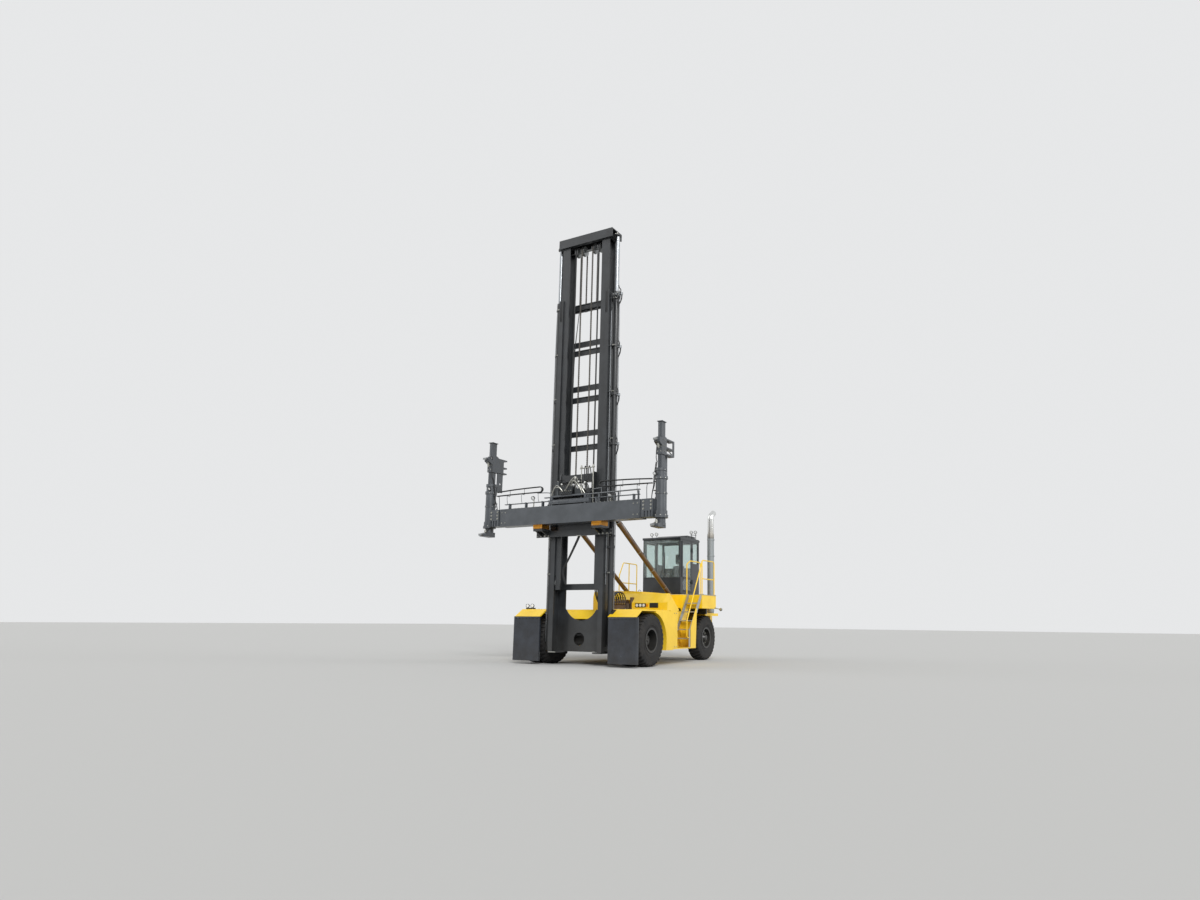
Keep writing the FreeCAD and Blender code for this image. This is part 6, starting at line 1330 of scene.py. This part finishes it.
# hose goal-post on the upper bar, with two lines led over it to the mast
for x in (0.25, 0.66):
    bar(carriage_bolts, (x, -3.208, 4.48), (x, POST_Y, 5.72), 0.015, 12)
    slab(carriage_bolts, (x - 0.035, -3.214, 4.36), (x + 0.035, -3.190, 4.50))
    turned(carriage_bolts, [(0, 0), (0.030, 0), (0.030, 0.026), (0.022, 0.032), (0.022, 0.075), (0, 0.080)],
           (x, POST_Y, 5.70), (0, 0, 1), 14)
bar(carriage_bolts, (0.20, POST_Y, 5.68), (0.71, POST_Y, 5.70), 0.017, 12)
for x in (0.36, 0.50):
    hose(loom_over, [(x, -3.20, 5.30), (x, -3.235, 5.60), (x, -3.215, 5.76), (x - 0.02, -3.12, 5.74),
                     (x - 0.05, -3.02, 5.56), (x - 0.08, -2.93, 5.42)], 0.014)
keep("carriage_bolts", carriage_bolts, plated, "bright_steel", "carrier")
keep("carriage_hoses_over", loom_over, hose_rubber, "black_plastic", "carrier")
loom = keep("carriage_loom", carriage_loom, hose_rubber, "black_plastic", None)
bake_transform(loom)


# --- Spreader ---------------------------------------------------------------
# Fabricated twin-cell box with bolted access plates; over it a hydraulic shelf with the valve
# bank, an accumulator, zinc tube runs in saddles and hairpin hoses out to the arms.
SP_FRONT = -3.58
SP_TOP = 4.58
SHELF_TOP = 4.885
TUBE_Z = 4.735
SOLENOIDS = 6
valve_iron = plain_metal("phosphated_valve_iron", ("#3c3e40", "#56595b"), 0.5, 0.003)
cap_white = plain_metal("white_nylon_cap", ("#d9dad6", "#e6e6e2"), 0.45, 0.003, metallic=0.0)
dress(valve_iron, "spreader_valves")

spreader_bolts, spreader_tubes, spreader_trim = bmesh.new(), bmesh.new(), bmesh.new()
for s in (1, -1):
    # the mouth collar's two bands and its rim stiffener
    for z0, z1 in ((4.06, 4.085), (4.545, 4.572)):
        slab(spreader_trim, (s * 2.20, SP_FRONT - 0.006, z0), (s * 2.455, SP_FRONT, z1), 0.002)
    slab(spreader_trim, (s * 2.435, SP_FRONT - 0.008, 4.055), (s * 2.458, SP_FRONT, 4.575), 0.002)
    # bolts of the wear strips, front and top, and of the access plates
    for z in (4.16, 4.47):
        bolts(spreader_bolts, (s * 2.25, SP_FRONT, z), (s * 0.13, 0, 0), 2, FACE_FRONT)
    for x, y, step, count in ((2.25, -3.50, 0.07, 3), (2.25, -3.29, 0.07, 3), (1.01, -3.54, 0.13, 9)):
        bolts(spreader_bolts, (s * x, y, SP_TOP), (s * step, 0, 0), count, FACE_UP)
    # lifting lug eyes and shelf uprights' gussets
    turned(spreader_trim, [(0.018, 0), (0.034, 0), (0.034, 0.020), (0.018, 0.020)],
           (s * 0.90, -3.245, 4.645), (0, 0, 1), 18)
    prism(spreader_trim, [(-3.50, SP_TOP), (-3.38, SP_TOP), (-3.50, 4.84)], "x", s * 0.66 - 0.006,
          s * 0.66 + 0.006)
    # lower tube run in saddles, on top of the box
    for y in (-3.47, -3.43):
        bar(spreader_tubes, (s * 0.70, y, TUBE_Z), (s * 2.38, y, TUBE_Z), 0.013, 12)
    for k in range(3):
        x = s * (0.95 + 0.62 * k)
        slab(spreader_trim, (x - 0.022, -3.495, SP_TOP), (x + 0.022, -3.405, TUBE_Z - 0.013))
        slab(spreader_trim, (x - 0.026, -3.500, TUBE_Z - 0.013), (x + 0.026, -3.400, TUBE_Z + 0.017))
# front rail of the shelf, and the dark gutter with its ribs beneath it
for y, radius, sides in ((-3.500, 0.017, 14), (-3.455, 0.013, 12)):
    bar(spreader_tubes, (-0.86, y, 4.838), (2.40, y, 4.868), radius, sides)
slab(spreader_trim, (-0.70, -3.515, 4.640), (0.72, -3.498, 4.735))
for z0, z1 in ((4.735, 4.752), (4.625, 4.640)):
    slab(spreader_trim, (-0.72, -3.520, z0), (0.74, -3.470, z1))
for k in range(5):
    slab(spreader_trim, (-0.66 + 0.32 * k, -3.522, 4.640), (-0.64 + 0.32 * k, -3.497, 4.735), 0.002)
for x in (1.05, 1.70, 2.35):
    slab(spreader_trim, (x - 0.012, -3.515, SP_TOP), (x + 0.012, -3.440, 4.840))
keep("spreader_trim", spreader_trim, frame_grey, "dark_grey_paint", "spreader")
keep("spreader_tubes", spreader_tubes, pipe_zinc, "bright_steel", "spreader")

# Valve bank: cast body, solenoid caps in a row, hex ports, and hoses that loop off to the arms.
ports, short_hoses, solenoids, white_caps, feed = [bmesh.new() for _ in range(5)]
for k in range(SOLENOIDS):
    x = -0.285 + 0.072 * k
    for y in (-3.44, -3.335):
        turned(solenoids, [(0, 0), (0.026, 0), (0.026, 0.050), (0.022, 0.056), (0.012, 0.058), (0.012, 0.072),
                           (0, 0.072)], (x, y, 5.118), (0, 0, 1), 14)
    fitting(ports, (x, -3.488, 4.99), (0, -1, 0), (0.019, 0.018), (0.012, 0.020, 0.042))
    sag = 0.025 + 0.01 * (k % 3)
    hose(short_hoses, [(x, -3.515, 4.99), (x, -3.552, 4.985), (x + 0.02, -3.560, 4.93 - sag),
                       (x + 0.05, -3.540, SHELF_TOP), (x + 0.06, -3.49, SHELF_TOP)], 0.011)
for k, top in enumerate((5.34, 5.30, 5.26, 5.24)):
    # unions at the bank's left end, each with a hose that arches over to the shelf
    x = 0.205 + 0.062 * k
    y = -3.365
    fitting(ports, (x, y, 5.048), (0, 0, 1), (0.018, 0.018), (0.012, 0.020, 0.040))
    hose(short_hoses, [(x, y, 5.088), (x, y, top - 0.06), (x + 0.04, y - 0.03, top),
                       (x + 0.18, y - 0.05, top - 0.02), (0.58 + 0.03 * k, y - 0.06, 5.05),
                       (0.585 + 0.03 * k, y - 0.06, 4.90)], 0.013)
for x0, x1, top in ((-0.32, -0.56, 5.30), (-0.22, -0.60, 5.36), (-0.12, -0.66, 5.27)):
    hose(short_hoses, [(x0, -3.30, 5.10), (x0, -3.30, top), (x1 + 0.10, -3.34, top + 0.02), (x1, -3.38, 5.10),
                       (x1, -3.40, SHELF_TOP)], 0.013)
for x in (-0.16, -0.10, 0.02, 0.10):
    # feed hoses back to the carriage
    hose(feed, [(x, -3.30, 5.10), (x + 0.01, -3.28, 5.24), (x + 0.05, -3.21, 5.30), (x + 0.10, -3.10, 5.27),
                (x + 0.14, -2.93, 5.32), (x + 0.14, -2.88, 5.36)], 0.013)
# white plastic port caps and bright elbows of the bank
for x, y, z, aim in ((-0.27, -3.46, 5.19, (0.3, -1, 0.4)), (0.18, -3.44, 5.33, (0, -0.3, 1)),
                     (0.30, -3.46, 5.24, (1, -0.6, 0.3)), (0.44, -3.44, 5.16, (1, -0.4, -0.6)),
                     (0.52, -3.45, 5.19, (0.6, -0.5, 1))):
    turned(white_caps, [(0, 0), (0.021, 0), (0.024, 0.030), (0.019, 0.052), (0, 0.056)], (x, y, z), aim, 14)
    bar(ports, (x, y + 0.05, 5.0), (x, y, z), 0.012, 8)
# braided steel lines that cross in front of the bank
for line in (((0.00, -3.50, 5.14), (0.10, -3.535, 5.30), (0.30, -3.535, 5.22), (0.52, -3.51, 4.98),
              (0.56, -3.49, SHELF_TOP)),
             ((0.10, -3.50, 5.14), (0.16, -3.545, 5.36), (0.36, -3.545, 5.14), (0.44, -3.52, 5.02),
              (0.47, -3.49, SHELF_TOP)),
             ((-0.12, -3.51, 5.00), (-0.02, -3.550, 5.10), (0.12, -3.550, 5.30), (0.24, -3.52, 5.40),
              (0.29, -3.44, 5.30), (0.30, -3.40, 5.06)),
             ((-0.22, -3.51, 5.00), (-0.30, -3.545, 5.12), (-0.42, -3.53, 5.20), (-0.56, -3.51, 5.02),
              (-0.60, -3.49, SHELF_TOP))):
    hose(ports, line, 0.016, 0.03)
# accumulator's dome nut and strap
fitting(ports, (-0.48, -3.3775, 5.30), (0, 0, 1), (0.020, 0.022), (0.012, 0.024, 0.036))
turned(ports, [(0.080, 0), (0.084, 0), (0.084, 0.024), (0.080, 0.024)], (-0.48, -3.3775, 5.12), (0, 0, 1), 24)
keep("valve_ports", ports, plated, "bright_steel", "spreader")
keep("valve_solenoids", solenoids, black_cast, "black_plastic", "spreader")
keep("valve_hoses", short_hoses, hose_rubber, "black_plastic", "spreader")
feed_hoses = keep("feed_hoses", feed, hose_rubber, "black_plastic", None)
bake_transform(feed_hoses)
keep("valve_caps", white_caps, cap_white, "light_grey_paint", "spreader")

spreader_lamps, spreader_lenses = bmesh.new(), bmesh.new()
for x, y, z in ((-1.29, -3.50, 4.86), (1.29, -3.30, 4.80)):
    slab(spreader_bolts, (x - 0.02, y + 0.045, SP_TOP), (x + 0.02, y + 0.055, z - 0.05), 0.002)
    work_lamp(spreader_lamps, spreader_lenses, (x, y, z), (0, -1, -0.5), 0.055)
keep("spreader_bolts", spreader_bolts, plated, "bright_steel", "spreader")
keep("spreader_lamp_housings", spreader_lamps, black_cast, "black_plastic", "spreader")
keep("spreader_lamp_lenses", spreader_lenses, lens_clear, "lamp_lens", "spreader")


# --- Spreader arms and heads ------------------------------------------------
# End blocks bolted to the telescopic beams, round columns in clamp rings with square posts, the
# sliding upper heads with their lock cylinders, and hairpin hoses that unroll as an arm goes out.
COLUMN_AT = (3.015, -3.39)
BLOCK_TOP = 4.575
COLUMN_RINGS = ((4.11, 0.186, 8), (4.715, 0.160, 6), (5.13, 0.172, 8), (5.365, 0.150, 8))
HAIRPIN_LOW = 5.045
HAIRPIN_HIGH = 5.205
HAIRPIN_STEPS = 8
for side, s in SIDES:
    arm = "side_arm_" + side
    head = "corner_head_" + side
    x_col = s * COLUMN_AT[0]
    arm_bolts, arm_hoses, arm_trim = bmesh.new(), bmesh.new(), bmesh.new()
    for z in (4.30, 4.40, 4.50):
        bolts(arm_bolts, (s * 2.56, -3.576, z), (s * 0.24, 0, 0), 2, FACE_FRONT, big_bolt)
    for y in (-3.50, -3.28):
        bolts(arm_bolts, (s * 2.56, y, BLOCK_TOP), (s * 0.12, 0, 0), 3, FACE_UP)
    # bolts of the clamp ring, the collar and the foot flange, round the column
    for z, r, count in COLUMN_RINGS:
        for k in range(count):
            turn = 2 * math.pi * (k + 0.5) / count
            way = (math.cos(turn), math.sin(turn), 0)
            fitting(arm_bolts, (x_col + r * way[0], COLUMN_AT[1] + r * way[1], z), way, (0.016, 0.011),
                    (0.008, 0.012, 0.016))
    # the lower lock's actuator with its guard
    fitting(arm_bolts, (x_col - s * 0.027, -3.60, 3.875), (0, 0, 1), (0.036, 0.090),
            (0.024, 0.096, 0.115), 18)
    bar(arm_bolts, (x_col - s * 0.055, -3.48, 3.90), (x_col - s * 0.055, -3.66, 3.90), 0.014, 10)
    keep("arm_bolts_" + side, arm_bolts, plated, "bright_steel", arm)

    # hoses up the column in three clips, and one down to the lower lock
    for k in range(2):
        x = x_col - s * (0.175 + 0.03 * k)
        hose(arm_hoses, [(s * 2.72, -3.40, 4.57), (s * 2.74, -3.42, 4.75), (x, -3.44, 4.95), (x, -3.45, 5.20),
                         (x + s * 0.05, -3.46, 5.42), (x + s * 0.075, -3.465, 5.60)], 0.012)
    hose(arm_hoses, [(s * 2.80, -3.36, 4.57), (x_col - s * 0.19, -3.33, 4.72),
                     (x_col - s * 0.175, -3.33, 4.35), (x_col - s * 0.15, -3.45, 4.02),
                     (x_col - s * 0.03, -3.57, 3.97)], 0.012)
    for z in (4.42, 4.80, 5.05):
        slab(arm_trim, (x_col - s * 0.215, -3.475, z), (x_col - s * 0.150, -3.315, z + 0.018))
    # guard rib beside the slots, the post's rack strip, and the hose guide horn on the block
    slab(arm_trim, (s * 2.84, -3.585, 4.075), (s * 2.86, -3.480, 4.56))
    slab(arm_trim, (x_col - 0.018, -3.498, 5.44), (x_col + 0.018, -3.489, 6.70), 0.002)
    hose(arm_trim, [(s * 2.60, -3.45, 4.57), (s * 2.60, -3.47, 4.90), (s * 2.62, -3.47, 5.02),
                    (s * 2.76, -3.47, 5.03)], 0.010)
    keep("arm_hoses_" + side, arm_hoses, hose_rubber, "black_plastic", arm)
    keep("arm_trim_" + side, arm_trim, frame_grey, "dark_grey_paint", arm)
    arm_lamp, arm_lens = bmesh.new(), bmesh.new()
    x = x_col - s * 0.10
    slab(arm_lamp, (x - 0.015, -3.56, 5.19), (x + 0.015, -3.53, 5.24), 0.002)
    work_lamp(arm_lamp, arm_lens, (x, -3.60, 5.25), (0, -1, -0.6), 0.042)
    keep("arm_lamp_housing_" + side, arm_lamp, black_cast, "black_plastic", arm)
    keep("arm_lamp_lens_" + side, arm_lens, lens_clear, "lamp_lens", arm)

    # hairpin: two runs at the height of the horn, joined by a half turn near the middle
    hairpin, cradle = bmesh.new(), bmesh.new()
    turns = [math.pi * k / HAIRPIN_STEPS for k in range(HAIRPIN_STEPS + 1)]
    for y in (-3.43, -3.385):
        way_in = [(s * 2.75, y, 5.03), (s * 2.0, y, HAIRPIN_LOW), (s * 1.2, y, HAIRPIN_LOW)]
        bend = [(s * (1.10 - 0.09 * math.sin(turn)), y, 5.125 - 0.08 * math.cos(turn)) for turn in turns]
        way_out = [(s * 1.2, y, HAIRPIN_HIGH), (s * 1.6, y, 5.200), (s * 2.2, y, 5.185), (s * 2.74, y, 5.150)]
        hose(hairpin, way_in + bend + way_out, 0.0155)
    hairpin_hoses = keep("hairpin_hoses_" + side, hairpin, hose_rubber, "black_plastic", None)
    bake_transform(hairpin_hoses)
    for x, z in ((1.12, 5.02), (1.75, 5.02), (2.30, 5.00)):
        hose(cradle, [(s * x, -3.43, 4.76), (s * x, -3.475, 4.80), (s * x, -3.475, z)], 0.007)
        hose(cradle, [(s * x, -3.475, z), (s * x, -3.34, z)], 0.007)
        hose(cradle, [(s * x, -3.34, z), (s * x, -3.34, z + 0.20)], 0.007)
    hose(cradle, [(s * 0.62, -3.36, 4.90), (s * 0.70, -3.38, 4.99), (s * 0.92, -3.40, 5.02),
                  (s * 1.2, -3.405, 5.02)], 0.014)
    keep("hairpin_cradle_" + side, cradle, pipe_zinc, "bright_steel", "spreader")

    # upper head: cover bolts, the lock cylinder under its nose, its links and their pin
    head_bolts, head_lines, post_line = bmesh.new(), bmesh.new(), bmesh.new()
    for z in (5.88, 6.02, 6.18):
        bolts(head_bolts, (x_col - 0.05, -3.52, z), (0.10, 0, 0), 2, FACE_FRONT)
    for z in (5.90, 6.05, 6.22):
        bolts(head_bolts, (s * 3.105, -3.44, z), (0, 0.10, 0), 2, FACE_LEFT if s > 0 else FACE_RIGHT)
    fitting(head_bolts, (x_col, -3.60, 6.09), (0, 0.25, -1), (0.034, 0.11), (0.022, 0.118, 0.135), 18)
    bar(head_bolts, (x_col - s * 0.05, -3.33, 6.29), (x_col - s * 0.05, -3.05, 6.16), 0.017, 10)
    bar(head_bolts, (x_col + s * 0.03, -3.22, 6.04), (x_col + s * 0.03, -2.86, 5.90), 0.017, 10)
    turned(head_bolts, [(0, 0), (0.040, 0), (0.040, 0.022), (0, 0.022)],
           (x_col - 0.011, -3.12, 6.27), (1, 0, 0), 16)
    keep("head_bolts_" + side, head_bolts, plated, "bright_steel", head)
    hose(head_lines, [(x_col - s * 0.075, -3.50, 6.10), (x_col - s * 0.095, -3.53, 5.95),
                      (x_col - s * 0.095, -3.52, 5.72)], 0.011)
    hose(head_lines, [(x_col, -3.36, 6.30), (x_col, -3.33, 6.37), (x_col + 0.01, -3.14, 6.33),
                      (x_col + 0.01, -3.0, 6.20)], 0.012)
    keep("head_lines_" + side, head_lines, hose_rubber, "black_plastic", head)
    # the line that runs on from the head down the post
    hose(post_line, [(x_col - s * 0.095, -3.52, 5.75), (x_col - s * 0.10, -3.525, 5.66),
                     (x_col - s * 0.092, -3.465, 5.60)], 0.012)
    tip = keep("post_line_" + side, post_line, hose_rubber, "black_plastic", None)
    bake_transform(tip)
    head_lamp, head_lens = bmesh.new(), bmesh.new()
    x = x_col - s * 0.085
    work_lamp(head_lamp, head_lens, (x, -3.56, 6.235), (0, -1, -0.8), 0.034)
    slab(head_lamp, (x - 0.010, -3.545, 6.19), (x + 0.010, -3.49, 6.215), 0.002)
    keep("head_lamp_housing_" + side, head_lamp, black_cast, "black_plastic", head)
    keep("head_lamp_lens_" + side, head_lens, lens_clear, "lamp_lens", head)


# --- Tilt cylinders ---------------------------------------------------------
# Honed barrels in golden-brown enamel with screwed glands, chromed rods darkened by oil, and a
# counterbalance valve with its two hoses clipped along the barrel.
tilt_coat = enamel("golden_brown_cylinder_enamel", "#6a4a20", "#4b3524", 0.30, dust=0.08)
oiled_rod = plain_metal("oiled_chrome_rod", ("#3f3a45", "#77727d"), 0.2, 0.0008)
dress(tilt_coat, "tilt_barrel_left", "tilt_barrel_right")
dress(oiled_rod, "tilt_rod_left", "tilt_rod_right")
TILT_AT = 0.78
GLAND_BOLTS = 8
FOOT_EYE = Vector((0, 2.11, 1.72))
ROD_EYE = Vector((0, -2.44, 4.47))
along = (ROD_EYE - FOOT_EYE).normalized()
above = Vector((0, along.z, -along.y))
reach = (ROD_EYE - FOOT_EYE).length


def by_barrel(s, travel, lift=0.0):
    # a place so far up a barrel from its foot eye, and so high above its axis
    return FOOT_EYE + along * travel + Vector((s * TILT_AT, 0, 0)) + above * lift


for side, s in SIDES:
    tilt_bolts, tilt_hoses, eye_trim = bmesh.new(), bmesh.new(), bmesh.new()
    gland = by_barrel(s, reach - 0.51)
    turned(tilt_bolts, [(0.050, 0), (0.080, 0), (0.080, 0.016), (0.066, 0.020), (0.050, 0.020)],
           gland, along, 24)
    for k in range(GLAND_BOLTS):
        turn = 2 * math.pi * k / GLAND_BOLTS
        off = (Vector((math.cos(turn), 0, 0)) + above * math.sin(turn)) * 0.068
        turned(tilt_bolts, [(0, 0), (0.009, 0), (0.009, 0.010), (0, 0.010)],
               gland + off + along * 0.014, along, 6)
    # counterbalance valve block near the foot and the port at the gland, with their hoses
    block = by_barrel(s, 0.42, 0.095)
    half = Vector((0.035, 0.075, 0.030))
    slab(tilt_bolts, block - half, block + half, 0.004)
    fitting(tilt_bolts, by_barrel(s, reach - 0.62, 0.078), above, (0.020, 0.020), (0.013, 0.022, 0.040))
    hose(tilt_hoses, [by_barrel(s, travel, lift) + Vector((s * 0.012, 0, 0)) for travel, lift in (
        (0.42, 0.125), (0.62, 0.105), (1.6, 0.092), (3.2, 0.092), (reach - 0.72, 0.115),
        (reach - 0.62, 0.120))], 0.010)
    hose(tilt_hoses, [block + Vector((s * 0.02, 0.07, 0)), block + Vector((0, 0.16, -0.06)),
                      (s * 0.70, 2.32, 1.90), (s * 0.58, 2.36, 1.74)], 0.012)
    for travel in (1.3, 2.3, 3.3):
        # clips that hold the hose off the barrel
        place = by_barrel(s, travel)
        turned(tilt_bolts, [(0.072, -0.012), (0.0765, -0.012), (0.0765, 0.012), (0.072, 0.012)],
               place, along, 24)
        bar(tilt_bolts, place + above * 0.074, place + above * 0.112, 0.008, 8)
    turned(eye_trim, [(0.052, -0.024), (0.058, -0.020), (0.058, 0.020), (0.052, 0.024), (0.046, 0.024),
                      (0.046, -0.024)], by_barrel(s, reach - 0.10), along, 20)
    keep("tilt_fittings_" + side, tilt_bolts, plated, "bright_steel", "tilt_tube_" + side)
    keep("tilt_hoses_" + side, tilt_hoses, hose_rubber, "black_plastic", "tilt_tube_" + side)
    keep("tilt_eye_trim_" + side, eye_trim, oiled_rod, "chrome_rod", "tilt_piston_" + side)
